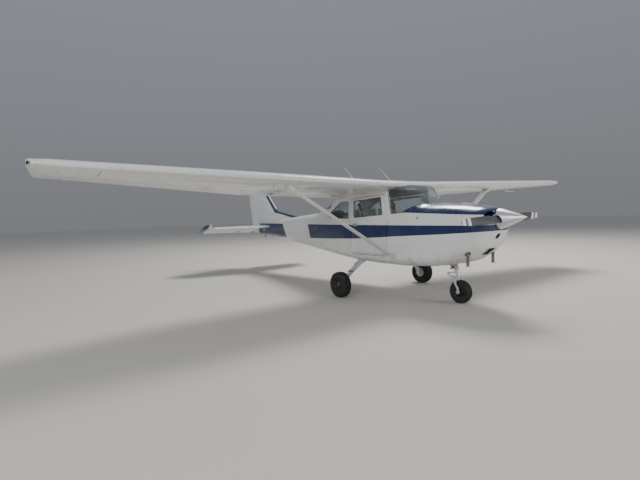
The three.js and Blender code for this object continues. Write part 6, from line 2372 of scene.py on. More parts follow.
@dataclass
class Cockpit:
    """What shows through the windows ahead: the panel with its dials, the glareshield and controls."""

    face_low: float = 1.120
    face_high: float = 1.520
    station_low: float = 0.395
    station_high: float = 0.350
    dials: tuple[Triple, ...] = (
        (0.340, 1.425, 0.040), (0.255, 1.425, 0.040), (0.170, 1.425, 0.040),
        (0.340, 1.335, 0.040), (0.255, 1.335, 0.040), (0.170, 1.335, 0.040),
        (0.405, 1.380, 0.024), (0.405, 1.320, 0.024),
        (-0.130, 1.445, 0.028), (-0.195, 1.445, 0.028), (-0.130, 1.380, 0.028), (-0.195, 1.380, 0.028),
        (-0.330, 1.420, 0.036), (-0.330, 1.335, 0.036),
    )
    hood: tuple[Pair, ...] = (
        (0.290, -0.018), (0.292, -0.004), (0.310, 0.0), (0.395, 0.003), (0.420, -0.002), (0.430, -0.012),
        (0.424, -0.022), (0.400, -0.026), (0.320, -0.026),
    )
    grip: tuple[Pair, ...] = (
        (0.020, -0.002), (0.070, -0.012), (0.118, -0.016), (0.134, 0.020), (0.132, 0.070), (0.116, 0.098),
    )
    hood_half: float = 0.44
    hood_z: float = 1.548
    seat_x: float = 0.250
    shaft_z: float = 1.285
    radio_top: float = 1.46
    radio_gap: float = 0.052
    switch_z: float = 1.168
    knob_z: float = 1.205

    @property
    def frame(self) -> Matrix:
        """The panel face's frame.

        Returns:
            Its matrix: X to port, Y up the panel, Z out towards the seats.
        """
        rise = Vector((0, self.station_high - self.station_low, self.face_high - self.face_low)).normalized()
        out = Vector((1, 0, 0)).cross(rise).normalized()
        axes = Matrix((Vector((1, 0, 0)), rise, out)).transposed().to_4x4()
        return Matrix.Translation(at(0, self.station_low + 0.0005, self.face_low)) @ axes

    def build(self) -> None:
        """Makes the panel's dressing, the control wheels and the pedals."""
        self._dials()
        self._radios()
        self._glareshield()
        self._wheels()
        self._pedals()

    def _spot(self, x: float, z: float, out: float = 0.0) -> Vector:
        """Finds a point on the panel's face.

        Args:
            x: its place to port.
            z: its height.
            out: how far it stands off the face.

        Returns:
            The point.
        """
        rise = (z - self.face_low) / (self.face_high - self.face_low)
        length = math.hypot(self.station_high - self.station_low, self.face_high - self.face_low)
        return self.frame @ Vector((x, rise * length, out))

    def _dials(self) -> None:
        """Makes the round instruments: bezels, faces, hands and glasses."""
        rims, hands, glass = Form(), Form(), Form()
        normal = self.frame.to_3x3() @ Vector((0, 0, 1))
        for index, (x, z, radius) in enumerate(self.dials):
            frame = facing(self._spot(x, z), normal)
            rows = [(0.0, 0.0), (0.002, radius * 0.86), (0.007, radius * 0.9), (0.009, radius * 0.98),
                    (0.006, radius * 1.08), (0.0, radius * 1.10), (-0.001, 0.0)]
            rims.lathe(rows, frame, 32)
            for turn in circle(4, 0.5):
                rims.stud(around(frame, radius * 1.12, turn), normal, 0.0032, 0.002, 8)
            turn = 0.9 + 1.7 * index
            for reach, wide in ((0.72, 0.0016), (-0.2, 0.0022)):
                tip = Vector((math.cos(turn), math.sin(turn), 0)) * radius * reach
                side = Vector((-math.sin(turn), math.cos(turn), 0)) * wide
                lift = Vector((0, 0, 0.0028))
                hands.loft([
                    [frame @ (p + lift + up) for up in (Vector((0, 0, 0)), Vector((0, 0, 0.0008)))]
                    + [frame @ (q + lift + up) for up in (Vector((0, 0, 0.0008)), Vector((0, 0, 0)))]
                    for p, q in ((-side, side), (tip - side * 0.4, tip + side * 0.4))
                ])
            for turn in circle(12):
                way = Vector((math.cos(turn), math.sin(turn), 0))
                side = Vector((-way.y, way.x, 0)) * 0.0008
                ends = (way * radius * 0.68, way * radius * 0.80)
                hands.loft([
                    [frame @ (e + s + Vector((0, 0, h))) for s, h in
                     ((-side, 0.0024), (side, 0.0024), (side, 0.0032), (-side, 0.0032))]
                    for e in ends
                ])
            rows = [(0.0064, 0.0), (0.0064, radius * 0.9), (0.0072, radius * 0.9), (0.0074, 0.0)]
            glass.lathe(rows, frame, 28)
        rims.piece("dial_bezels", "airframe", Finishes.BLACK, slot="panel_dark")
        hands.piece("dial_hands", "airframe", Finishes.PLAIN, slot="white_paint")
        glass.piece("dial_glasses", "airframe", Finishes.LENS, slot="glazing")

    def _radios(self) -> None:
        """Makes the radio stack, the switch rows and the push-pull knobs."""
        stack, knobs = Form(), Form()
        normal = self.frame.to_3x3() @ Vector((0, 0, 1))
        for row in range(4):
            z = self.radio_top - self.radio_gap * row
            corner = self._spot(-0.055, z)
            stack.block((0.0, -0.022, -0.004), (0.135, 0.022, 0.009),
                        Matrix.Translation(corner - self.frame.translation) @ self.frame)
            for x in (-0.040, 0.068):
                self._stalk(knobs, x, z, (0.008, 0.026), (0.0085, 0.007), 16)
        for i in range(9):
            self._stalk(knobs, 0.40 - 0.040 * i, self.switch_z, (0.0, 0.020), (0.006, 0.0045), 10)
        for i, radius in enumerate((0.020, 0.016, 0.020)):
            x = -0.02 - 0.06 * i
            self._stalk(knobs, x, self.knob_z, (0.0, 0.060), (0.0048, 0.0048), 10)
            frame = facing(self._spot(x, self.knob_z, 0.056), normal)
            rows = [(0.0, 0.0), (0.0, radius * 0.8), (0.006, radius), (0.013, radius),
                    (0.019, radius * 0.7), (0.020, 0.0)]
            knobs.lathe(rows, frame, 24)
        stack.piece("radio_stack", "airframe", Finishes.BLACK, slot="panel_dark", bevel=0.0015)
        knobs.piece("panel_knobs", "airframe", Finishes.SEAL, slot="panel_dark")

    def _stalk(self, form: Form, x: float, z: float, reach: Pair, radii: Pair, sides: int) -> None:
        """Adds a round stalk that stands on the panel's face.

        Args:
            form: the form it joins.
            x: its place to port.
            z: its height.
            reach: how far its foot and its tip stand off the face.
            radii: its radius at the foot and at the tip.
            sides: how many sides it has.
        """
        form.tube([self._spot(x, z, out) for out in reach], radii, sides)

    def _glareshield(self) -> None:
        """Makes the padded hood over the panel, curved from side to side."""
        rings = []
        for i in range(25):
            share = -1 + 2 * i / 24
            x = self.hood_half * share
            crown = self.hood_z - 0.055 * abs(share) ** 3
            rings.append([at(x, s, crown + rise) for s, rise in self.hood])
        Form().loft(rings).piece("glareshield_hood", "airframe", Finishes.BLACK, slot="panel_dark")

    def _wheels(self) -> None:
        """Makes the two control wheels: columns, hubs and open grips."""
        for side in Side:
            x, z = side.value * self.seat_x, self.shaft_z
            form = Form().tube([at(x, 0.385, z), at(x, 0.600, z)], 0.0125, 20)
            form.tube([at(x, 0.383, z), at(x, 0.392, z)], [0.030, 0.024], 24)
            rows = [(0.0, 0.0), (0.0, 0.030), (0.008, 0.036), (0.022, 0.034), (0.030, 0.022), (0.031, 0.0)]
            form.lathe(rows, facing(at(x, 0.592, z), Vector((0, 1, 0))), 28)
            for way in (-1, 1):
                line = [at(x + way * dx, 0.610 + 0.006 * abs(dz), z + dz) for dx, dz in self.grip]
                path = bend(line, 6)
                form.tube(path, [0.0115] * 8 + [0.0135] * (len(path) - 8), 14)
            form.piece(f"control_grip_{side.word}", "airframe", Finishes.BLACK, slot="panel_dark")

    def _pedals(self) -> None:
        """Makes the four rudder pedals on their bars."""
        form = Form()
        for side in Side:
            for way in (-1, 1):
                x = side.value * self.seat_x + way * 0.070
                form.tube([at(x, 0.300, 0.660), at(x, 0.275, 0.800)], 0.009, 10)
                frame = Matrix.Translation(at(x, 0.270, 0.800)) @ Matrix.Rotation(math.radians(-20), 4, "X")
                form.block((-0.042, -0.006, -0.055), (0.042, 0.006, 0.045), frame)
                for k in range(4):
                    low = -0.048 + 0.024 * k
                    form.block((-0.040, 0.006, low), (0.040, 0.010, low + 0.008), frame)
        form.tube([at(-0.36, 0.305, 0.672), at(0.36, 0.305, 0.672)], 0.011, 12)
        form.piece("rudder_pedals", "airframe", Finishes.STEEL, slot="gear_steel", bevel=0.0015)


@dataclass
class Cushion:
    """One upholstered pad: a side outline swept across, puffed up by a cloth simulation.

    Its seams are channels across the front, sewn after the simulation.
    """

    name: str
    body: str
    outline: tuple[Pair, ...]
    half: float
    centre: float = 0.0
    voxel: float = 0.009
    pressure: float = 4.0
    cap: float = 0.014
    channels: int = 0
    frames: int = 14

    def build(self, stands_for: tuple[str, ...] = ()) -> bpy.types.Object:
        """Makes the pad.

        Args:
            stands_for: the CAD nodes that it stands for.

        Returns:
            The pad.
        """
        form = Form()
        ring = [(s, z) for s, z, _ in bend([(s, z, 0) for s, z in (*self.outline, self.outline[0])], 5)][:-1]
        middle = (sum(s for s, _ in ring) / len(ring), sum(z for _, z in ring) / len(ring))
        rings = []
        for share, shrink in (
            (-1.0, 0.80), (-0.985, 0.90), (-0.94, 0.96), (-0.5, 1.0), (0.0, 1.0), (0.5, 1.0), (0.94, 0.96),
            (0.985, 0.90), (1.0, 0.80),
        ):
            x = self.centre + self.half * share
            rings.append([
                at(x, middle[0] + (s - middle[0]) * shrink, middle[1] + (z - middle[1]) * shrink)
                for s, z in ring
            ])
        form.loft(rings)
        pad = form.piece(
            self.name, self.body, Finishes.SEAT, slot="seat_cloth", stands_for=stands_for, angle=60
        )
        self._puff(pad)
        if self.channels:
            self._sew(pad, ring)
        return pad

    def _puff(self, pad: bpy.types.Object) -> None:
        """Remeshes the pad, blows it up as cloth and keeps each point within the cap.

        Args:
            pad: the pad.
        """
        remesh = pad.modifiers.new("remesh", "REMESH")
        remesh.mode, remesh.voxel_size = "VOXEL", self.voxel
        start = self._baked(pad)
        before = [v.co.copy() for v in start.vertices]
        cloth = pad.modifiers.new("cloth", "CLOTH")
        cloth.settings.use_pressure = True
        cloth.settings.uniform_pressure_force = self.pressure
        cloth.settings.effector_weights.gravity = 0.0
        cloth.settings.tension_stiffness = 25.0
        cloth.settings.compression_stiffness = 25.0
        cloth.point_cache.frame_end = self.frames
        scene = bpy.context.scene
        for step in range(1, self.frames + 1):
            scene.frame_set(step)
        done = self._baked(pad)
        scene.frame_set(1)
        for vertex, old in zip(done.vertices, before, strict=True):
            move = vertex.co - old
            if move.length > self.cap:
                vertex.co = old + move.normalized() * self.cap

    @staticmethod
    def _baked(pad: bpy.types.Object) -> bpy.types.Mesh:
        """Applies the pad's modifiers for good.

        Args:
            pad: the pad.

        Returns:
            Its new mesh.
        """
        graph = bpy.context.evaluated_depsgraph_get()
        done = bpy.data.meshes.new_from_object(pad.evaluated_get(graph))
        pad.modifiers.clear()
        old, pad.data = pad.data, done
        bpy.data.meshes.remove(old)
        for polygon in done.polygons:
            polygon.use_smooth = True
        return done

    def _sew(self, pad: bpy.types.Object, ring: Sequence[Pair]) -> None:
        """Presses sewn channels into the pad, along its length.

        Args:
            pad: the pad.
            ring: its side outline. It is not used.
        """
        for vertex in pad.data.vertices:
            x = vertex.co.x - self.centre
            if abs(x) > self.half * 0.84:
                continue
            phase = (x / (self.half * 0.84) + 1) / 2 * self.channels
            near = min(abs(phase - round(phase)) * self.half * 1.68 / self.channels, 0.02)
            depth = 0.006 * math.exp(-((near / 0.005) ** 2))
            vertex.co -= vertex.normal * depth


@dataclass
class Seating:
    """The two front seats on their rails, the rear bench, headrests and belts."""

    front_x: float = 0.258
    front_half: float = 0.205
    frame_half: float = 0.170
    rollers: Pair = (0.05, 0.42)
    front_station: float = 1.010
    bench_station: float = 1.730
    bench_half: float = 0.405
    front_base: tuple[Pair, ...] = (
        (0.012, 0.905), (0.016, 0.985), (0.06, 1.018), (0.24, 1.012), (0.430, 1.000), (0.440, 0.930),
        (0.400, 0.895),
    )
    front_back: tuple[Pair, ...] = (
        (0.455, 0.985), (0.478, 1.080), (0.545, 1.300), (0.598, 1.515), (0.640, 1.522), (0.668, 1.500),
        (0.628, 1.280), (0.560, 1.030), (0.520, 0.960),
    )
    headrest: tuple[Pair, ...] = (
        (0.622, 1.560), (0.616, 1.640), (0.640, 1.690), (0.690, 1.686), (0.702, 1.630), (0.690, 1.565),
    )
    bench_base: tuple[Pair, ...] = (
        (0.004, 0.900), (0.004, 0.985), (0.045, 1.006), (0.150, 1.002), (0.238, 0.992), (0.245, 0.910),
    )
    bench_back: tuple[Pair, ...] = (
        (0.240, 0.955), (0.262, 1.050), (0.330, 1.250), (0.388, 1.425), (0.420, 1.434), (0.442, 1.415),
        (0.405, 1.220), (0.330, 0.960),
    )
    lap: tuple[Triple, ...] = (
        (-0.200, 0.470, 0.930), (-0.190, 0.420, 1.012), (-0.090, 0.330, 1.032), (0.0, 0.300, 1.036),
        (0.090, 0.330, 1.032), (0.190, 0.420, 1.012), (0.200, 0.470, 0.930),
    )
    bench_lap: tuple[Triple, ...] = (
        (-0.15, 0.225, 1.000), (-0.07, 0.17, 1.020), (0.07, 0.17, 1.020), (0.15, 0.225, 1.000),
    )
    bench_box: tuple[Pair, ...] = (
        (0.012, 0.6405), (0.012, 0.902), (0.318, 0.905), (0.330, 0.958), (0.300, 0.970), (0.262, 0.6405),
    )

    def build(self) -> None:
        """Makes every seat."""
        for side, node in ((Side.PORT, "seat_pilot"), (Side.STARBOARD, "seat_copilot")):
            self._front(side, node)
        self._bench()
        self._belts()

    @staticmethod
    def _moved(outline: Sequence[Pair], station: float) -> tuple[Pair, ...]:
        """Moves a side outline along the aircraft."""
        return tuple((s + station, z) for s, z in outline)

    def _front(self, side: Side, node: str) -> None:
        """Makes one front seat: cushion, back, headrest, frame and rails.

        Args:
            side: its side.
            node: the CAD node that it stands for.
        """
        x, word, s = side.value * self.front_x, side.word, self.front_station
        back, half = self._moved(self.front_back, s), self.front_half - 0.012
        Cushion(f"seat_cushion_{word}", "airframe", self._moved(self.front_base, s),
                self.front_half - 0.008, x, channels=5).build((node,))
        Cushion(f"seat_back_{word}", "airframe", back, half, x, channels=5).build()
        Cushion(f"headrest_{word}", "airframe", self._moved(self.headrest, s), 0.118, x,
                voxel=0.0065, cap=0.010).build()
        self._frame(side, x)
        self._edges(word, x, back, half)

    def _frame(self, side: Side, x: float) -> None:
        """Makes the seat's tube frame, headrest posts, roller housings and rails.

        Args:
            side: its side.
            x: its middle.
        """
        form, s = Form(), self.front_station
        for way in (-1, 1):
            edge = x + way * self.frame_half
            form.tube(bend([at(edge, s + 0.03, 0.900), at(edge, s + 0.20, 0.885), at(edge, s + 0.46, 0.890),
                            at(edge, s + 0.52, 0.960), at(edge, s + 0.60, 1.250)], 4), 0.0125, 12)
            for ds, lean in zip(self.rollers, (0.02, -0.02), strict=True):
                form.tube([at(edge, s + ds, 0.890), at(edge, s + ds + lean, 0.668)], 0.0125, 12)
                y = aft(s + ds)
                form.block((edge - 0.014, y - 0.030, 0.6445), (edge + 0.014, y + 0.030, 0.676))
            for wide, top in ((0.006, 0.650), (0.013, 0.6425)):
                form.block((edge - wide, aft(s - 0.150), 0.6395), (edge + wide, aft(s + 0.620), top))
            post = x + way * 0.055
            form.tube([at(post, s + 0.625, 1.500), at(post, s + 0.662, 1.585)], 0.006, 10)
        for ds in self.rollers:
            form.tube([at(x + end, s + ds, 0.780) for end in (-self.frame_half, self.frame_half)], 0.010, 10)
        form.piece(f"seat_frame_{side.word}", "airframe", Finishes.STEEL, slot="gear_steel", bevel=0.001)

    def _edges(self, word: str, x: float, outline: Sequence[Pair], half: float) -> None:
        """Runs piping round both sides of a seat back.

        Args:
            word: the side's word.
            x: the seat's middle.
            outline: the back's side outline.
            half: its half width.
        """
        form = Form()
        ring = bend([(s, z, 0) for s, z in (*outline, outline[0])], 4)
        for way in (-1, 1):
            form.tube([at(x + way * (half * 0.965), p.x, p.y) for p in ring], 0.0042, 8)
        form.piece(f"seat_piping_{word}", "airframe", Finishes.SEAT_EDGE, slot="seat_cloth")

    def _bench(self) -> None:
        """Makes the rear bench: one long cushion, a back in two halves and the box below."""
        start, half = self.bench_station, self.bench_half
        Cushion("bench_cushion", "airframe", self._moved(self.bench_base, start), half - 0.006,
                voxel=0.012, channels=10).build(("rear_seat",))
        for side in Side:
            Cushion(f"bench_back_{side.word}", "airframe", self._moved(self.bench_back, start),
                    half / 2 - 0.008, side.value * half / 2, voxel=0.0095, channels=5).build()
        Form().loft([
            [at(x, start + s, z) for s, z in self.bench_box]
            for x in (-half + 0.01, -0.2, 0.0, 0.2, half - 0.01)
        ]).piece("bench_box", "airframe", Finishes.TRIM, slot="cabin_trim", bevel=0.004)

    def _belts(self) -> None:
        """Lays a lap belt across each seat and a shoulder strap down each front seat's back."""
        form, buckles = Form(), Form()
        for side in Side:
            x, s = side.value * self.front_x, self.front_station
            line = [at(x + dx, s + ds, z) for dx, ds, z in self.lap]
            self._strap(form, line, Vector((0, 1, 0.15)), 0.023)
            frame = Matrix.Translation(at(x, s + 0.300, 1.040))
            buckles.block((-0.032, -0.024, -0.004), (0.032, 0.024, 0.010), frame)
            buckles.block((-0.020, -0.018, 0.010), (0.020, 0.018, 0.014), frame)
            outer = x + side.value * 0.150
            drop = [at(side.value * 0.470, s + 0.62, 1.62), at(outer + side.value * 0.02, s + 0.60, 1.50),
                    at(outer, s + 0.52, 1.30), at(outer - side.value * 0.01, s + 0.46, 1.08)]
            self._strap(form, bend(drop, 6), Vector((1, 0, 0)), 0.021)
            if side is Side.PORT:
                self._bench_belts(form, buckles)
        form.piece("seat_belts", "airframe", Finishes.WEBBING, slot="seat_cloth")
        buckles.piece("belt_buckles", "airframe", Finishes.CHROME, slot="polished_metal", bevel=0.003)

    def _bench_belts(self, form: Form, buckles: Form) -> None:
        """Lays the two lap belts of the bench.

        Args:
            form: the form that the straps join.
            buckles: the form that the buckles join.
        """
        s = self.bench_station
        for way in (-1, 1):
            mid = way * 0.200
            line = [at(mid + dx, s + ds, z) for dx, ds, z in self.bench_lap]
            self._strap(form, bend(line, 5), Vector((0, 1, 0.15)), 0.022)
            buckles.block((mid - 0.030, aft(s + 0.150), 1.020), (mid + 0.030, aft(s + 0.192), 1.033))

    @staticmethod
    def _strap(form: Form, line: Sequence[Vector], across: Vector, half: float) -> None:
        """Adds a flat strap along a line.

        Args:
            form: the form it joins.
            line: its middle.
            across: the way its width runs.
            half: half its width.
        """
        path = bend(line, 4)
        rings = []
        for i, point in enumerate(path):
            along = (path[min(i + 1, len(path) - 1)] - path[max(i - 1, 0)]).normalized()
            wide = (across - along * across.dot(along)).normalized() * half
            thick = along.cross(wide).normalized() * 0.0011
            rings.append([
                point + wide + thick, point - wide + thick, point - wide - thick, point + wide - thick
            ])
        form.loft(rings)


@dataclass
class Lining:
    """The headliner, visors, door linings, carpet, selector box and trim wheel inside the cabin."""

    roof: Pair = (0.870, 2.330)
    half: float = 0.40
    visor_x: float = 0.225
    visor: Pair = (0.870, 1.802)
    panel: Pair = (0.910, 1.700)
    panel_heights: tuple[float, ...] = (0.740, 0.760, 1.000, 1.240, 1.325, 1.340)
    arm_rest: tuple[Pair, ...] = ((1.16, 1.118), (1.26, 1.130), (1.45, 1.130), (1.56, 1.118))
    selector: tuple[Triple, ...] = (
        (0.44, 0.045, 0.86), (0.60, 0.048, 0.82), (0.80, 0.050, 0.720), (1.05, 0.050, 0.690),
    )
    shell: Skin = field(init=False)

    def build(self) -> None:
        """Makes the lining."""
        self.shell = Skin("cabin_shell", "door_left", "door_right", "roof_center_section")
        self._headliner()
        self._visors()
        self._door_panels()
        self._floor()

    def _headliner(self) -> None:
        """Hangs a padded headliner under the roof, with cross seams."""
        rings, (front, back), half = [], self.roof, self.half
        for i in range(33):
            s = front + (back - front) * i / 32
            sag = 0.004 * abs(math.sin(math.pi * 5 * i / 32))
            roof = self._ceiling(s)
            ring = []
            for k in range(17):
                x = -half + 2 * half * k / 16
                ring.append(at(x, s, roof - 0.014 - sag - 0.030 * abs(x / half) ** 3))
            ring += [p + Vector((0, 0, 0.006)) for p in reversed(ring)]
            rings.append(ring)
        Form().loft(rings).piece("headliner", "airframe", Finishes.TRIM, slot="cabin_trim")

    def _ceiling(self, station: float) -> float:
        """The height of the roof's inner face at a station."""
        spot = self.shell.hit(at(0.05, station, 1.35), (0, 0, 1))
        return spot[0].z if spot and 1.4 < spot[0].z < 1.95 else 1.80

    def _visors(self) -> None:
        """Makes two sun visors on their rods behind the windscreen's top."""
        station, z = self.visor
        for side in Side:
            x = side.value * self.visor_x
            form = Form()
            rings = []
            for dx, shrink in ((-0.135, 0.86), (-0.130, 0.97), (0.0, 1.0), (0.130, 0.97), (0.135, 0.86)):
                rings.append([
                    at(x + dx, station + 0.070 * shrink * math.cos(t),
                       z - 0.012 * math.cos(t) + 0.0065 * math.sin(t))
                    for t in circle(20)
                ])
            form.loft(rings)
            form.tube([at(x - 0.14, 0.815, 1.815), at(x + 0.14, 0.815, 1.815)], 0.0045, 10)
            form.piece(f"sun_visor_{side.word}", "airframe", Finishes.TRIM, slot="cabin_trim")

    def _door_panels(self) -> None:
        """Makes each door's lining with its arm rest."""
        front, back = self.panel
        for side in Side:
            body = f"door_{side.word}"
            form = Form()
            rings = []
            for z in self.panel_heights:
                low, high = [], []
                for i in range(9):
                    s = front + (back - front) * i / 8
                    spot = self.shell.hit(at(side.value * 0.30, s, z), (side.value, 0, 0))
                    x = abs(spot[0].x) if spot else 0.50
                    x = min(max(x, 0.47), 0.53)
                    low.append(at(side.value * (x - 0.0025), s, z))
                    high.append(at(side.value * (x - 0.0125), s, z))
                rings.append(low + list(reversed(high)))
            form.loft(rings)
            form.piece(f"door_lining_{side.word}", body, Finishes.TRIM, slot="cabin_trim", bevel=0.002)
            rest = Form()
            path = bend([at(side.value * 0.478, s, z) for s, z in self.arm_rest], 4)
            rest.tube(path, [0.014] + [0.022] * 11 + [0.014], 14)
            rest.piece(f"arm_rest_{side.word}", body, Finishes.TRIM, slot="cabin_trim")

    def _floor(self) -> None:
        """Lays the carpet, with the selector box and the trim wheel between the front seats."""
        Form().block((-0.465, aft(0.30), 0.6403), (0.465, aft(1.720), 0.6462)).piece(
            "floor_carpet", "airframe", Finishes.CARPET, slot="cabin_trim", bevel=0.002
        )
        rings = []
        for s, half, top in self.selector:
            rings.append([at(-half, s, 0.646), at(-half * 0.9, s, top - 0.012), at(-half * 0.7, s, top),
                          at(half * 0.7, s, top), at(half * 0.9, s, top - 0.012), at(half, s, 0.646)])
        Form().loft(rings).piece("selector_box", "airframe", Finishes.TRIM, slot="cabin_trim", bevel=0.003)
        rows = [(-0.014, 0.0), (-0.014, 0.058), (-0.008, 0.064), (0.008, 0.064), (0.014, 0.058),
                (0.014, 0.0)]
        Form().lathe(rows, facing(at(0.0, 0.70, 0.790), Vector((1, 0, 0))), 36).piece(
            "trim_wheel", "airframe", Finishes.BLACK, slot="panel_dark", bevel=0.002
        )


# Wings and tail


@dataclass
class WingDetail:
    """What sits on the wings: caps, lamps, cuffs, brackets, vents and root strips."""

    foot: Triple = (0.512, 0.712, 0.684)
    head: Triple = (2.443, 0.905, 1.868)
    strut_chord: float = 0.134
    strut_thick: float = 0.046
    cuff: tuple[Pair, ...] = ((0.004, 1.42), (0.022, 1.34), (0.060, 1.16), (0.100, 1.07), (0.112, 1.03))
    aerial: Triple = (0.470, 1.560, 1.900)
    cap: Pair = (0.930, 1.180)
    drain: Pair = (0.720, 1.180)
    lamp: Pair = (5.452, 2.048)
    tracks: tuple[float, ...] = (0.900, 2.220)
    track_station: float = 1.790
    track: tuple[Pair, ...] = (
        (-0.090, 0.001), (-0.060, -0.012), (0.030, -0.026), (0.066, -0.020), (0.066, 0.004),
    )
    hinges: tuple[float, ...] = (2.780, 3.850, 4.920)
    hinge_station: float = 1.600
    covers: tuple[Pair, ...] = ((1.300, 1.560), (2.900, 1.250), (4.000, 1.230))
    cover_radius: float = 0.062
    holes: tuple[Pair, ...] = ((-0.8155, 1.872), (-0.6238, 1.861), (0.6825, 1.880))
    stall: Pair = (1.7236, 1.862)
    joint: Pair = (4.815, 0.846)
    tip_drains: tuple[Pair, ...] = ((4.80, 1.13), (5.20, 1.02))
    root: Triple = (0.575, 0.590, 0.605)
    root_over: Pair = (0.740, 2.160)
    root_under: Pair = (0.900, 1.720)
    root_z: float = 1.9
    skin: Skin = field(init=False)

    def build(self) -> None:
        """Makes the details of both wings."""
        for side in Side:
            word = side.word
            self.skin = Skin(f"wing_{word}", "roof_center_section")
            self._cap(side)
            self._lamp(side)
            self._cuffs(side)
            self._brackets(side)
            self._root_strip(side)
            self._drains(side)
            self._aerial_base(side)
            self._tip_joint(side)
        self._holes()
        self._stall_port()

    def _cap(self, side: Side) -> None:
        """Makes the fuel filler with its scupper ring and flip tab.

        Args:
            side: the wing's side.
        """
        x, station = self.cap
        point, normal = self.skin.above(side.value * x, station)
        frame = facing(point, normal)
        rows = [(-0.003, 0.0), (-0.003, 0.062), (0.0012, 0.061), (0.0018, 0.052), (0.0006, 0.046),
                (0.0006, 0.040), (0.0050, 0.038), (0.0072, 0.034), (0.0078, 0.0)]
        form = Form().lathe(rows, frame, 40)
        form.block((-0.009, -0.030, 0.007), (0.009, 0.030, 0.0105), frame)
        for turn in circle(8):
            form.stud(around(frame, 0.056, turn, 0.001), normal, 0.0032, 0.0014, 8)
        form.piece(f"fuel_cap_{side.word}", "airframe", Finishes.STEEL, slot="polished_metal", bevel=0.0006)

    def _lamp(self, side: Side) -> None:
        """Makes the wing-tip position lamp: a metal shoe and a coloured teardrop glass.

        Args:
            side: the wing's side.
        """
        glass = Finishes.RED if side is Side.PORT else Finishes.GREEN
        x, z = self.lamp
        point = self.skin.ahead(side.value * x, z)[0] + Vector((0, 0.024, 0))
        for name, finish, slot, lift, rows in (
            ("shoe", Finishes.CAST, "polished_metal", 0.006,
             ((-0.012, 0.020), (-0.020, 0.030), (0.010, 0.033), (0.060, 0.026), (0.105, 0.010))),
            ("glass", glass, "glazing", 0.012,
             ((-0.046, 0.003), (-0.043, 0.012), (-0.034, 0.0205), (-0.018, 0.0255), (0.0, 0.0265),
              (0.016, 0.0235))),
        ):
            rings = [
                [point + Vector((side.value * (0.55 * radius * math.cos(t) + 0.012), along,
                                 0.62 * radius * math.sin(t) + lift)) for t in circle(24)]
                for along, radius in rows
            ]
            Form().loft(rings).piece(f"tip_lamp_{name}_{side.word}", "airframe", finish, slot=slot)

    def _cuffs(self, side: Side) -> None:
        """Makes the moulded cuffs at both ends of the strut.

        Args:
            side: the wing's side.
        """
        foot, head = at(*self.foot), at(*self.head)
        along = head - foot
        length = along.length
        for name, base, way in (("foot", foot, along / length), ("head", head, -along / length)):
            rings = []
            aside = Vector((0, 1, 0)) - way * way.y
            aside.normalize()
            thick = way.cross(aside).normalized()
            for run, grow in self.cuff:
                ring = []
                for turn in circle(32):
                    chord = self.strut_chord / 2 * math.cos(turn) * (1.02 + (grow - 1) * 0.55)
                    deep = self.strut_thick / 2 * math.sin(turn) * (1 - 0.35 * math.cos(turn)) * grow
                    ring.append(base + way * run + aside * chord + thick * deep)
                rings.append(ring)
            Form().loft(rings).on(side).piece(
                f"strut_cuff_{name}_{side.word}", "airframe", Finishes.PLAIN, slot="white_paint"
            )

    def _brackets(self, side: Side) -> None:
        """Makes the flap track plates and the aileron hinge brackets under the trailing edge.

        Args:
            side: the wing's side.
        """
        form, down = Form(), Vector((0, 0, -1))
        for x in self.tracks:
            spot = self.skin.below(side.value * x, self.track_station)
            if spot:
                for dx in (-0.018, 0.018):
                    faces = (dx - 0.0018, dx + 0.0018)
                    form.loft([[spot[0] + Vector((x, y, z)) for y, z in self.track] for x in faces])
                for dy in (-0.070, -0.020, 0.030):
                    form.stud(spot[0] + Vector((0, dy, 0.0)), down, 0.005, 0.003, 8)
        for x in self.hinges:
            spot = self.skin.below(side.value * x, self.hinge_station)
            if spot:
                form.block((-0.020, -0.030, -0.001), (0.020, 0.030, 0.0022), facing(spot[0], down))
                for dy in (-0.018, 0.018):
                    form.stud(spot[0] + Vector((0, dy, -0.002)), down, 0.0045, 0.0024, 8)
        form.piece(
            f"hinge_brackets_{side.word}", "airframe", Finishes.STEEL, slot="gear_steel", bevel=0.0006
        )

    def _root_strip(self, side: Side) -> None:
        """Lays the metal strip over the joint of the wing and the roof, above and below.

        Args:
            side: the wing's side.
        """
        form = Form()
        for up, (front, back) in ((1, self.root_over), (-1, self.root_under)):
            rows = []
            for i in range(36):
                station = front + (back - front) * i / 35
                ring = []
                for x in self.root:
                    start = at(side.value * x, station, self.root_z + up)
                    spot = self.skin.hit(start, (0, 0, -up))
                    if spot:
                        ring.append(spot[0] + Vector((0, 0, up * 0.0012)))
                if len(ring) == len(self.root):
                    rows.append(ring + [p - Vector((0, 0, up * 0.004)) for p in reversed(ring)])
            if len(rows) > 2:
                form.loft(rows)
        form.piece(f"root_strip_{side.word}", "airframe", Finishes.PLAIN, slot="white_paint")

    def _drains(self, side: Side) -> None:
        """Makes the inspection covers and the fuel drain under the wing.

        Args:
            side: the wing's side.
        """
        covers, radius = Form(), self.cover_radius
        rows = [(-0.001, 0.0), (-0.001, radius), (0.0014, radius - 0.001), (0.0018, 0.0)]
        for x, station in self.covers:
            point, normal = self.skin.below(side.value * x, station)
            frame = facing(point, normal)
            covers.lathe(rows, frame, 36)
            for turn in circle(4, 0.5):
                covers.stud(around(frame, radius * 0.85, turn, 0.0014), normal, 0.0036, 0.0014, 8)
        covers.piece(f"wing_covers_{side.word}", "airframe", Finishes.PLAIN, slot="white_paint")
        x, station = self.drain
        Form().stud(*self.skin.below(side.value * x, station), 0.009, 0.010, 12).piece(
            f"fuel_drain_{side.word}", "airframe", Finishes.STEEL, slot="gear_steel"
        )

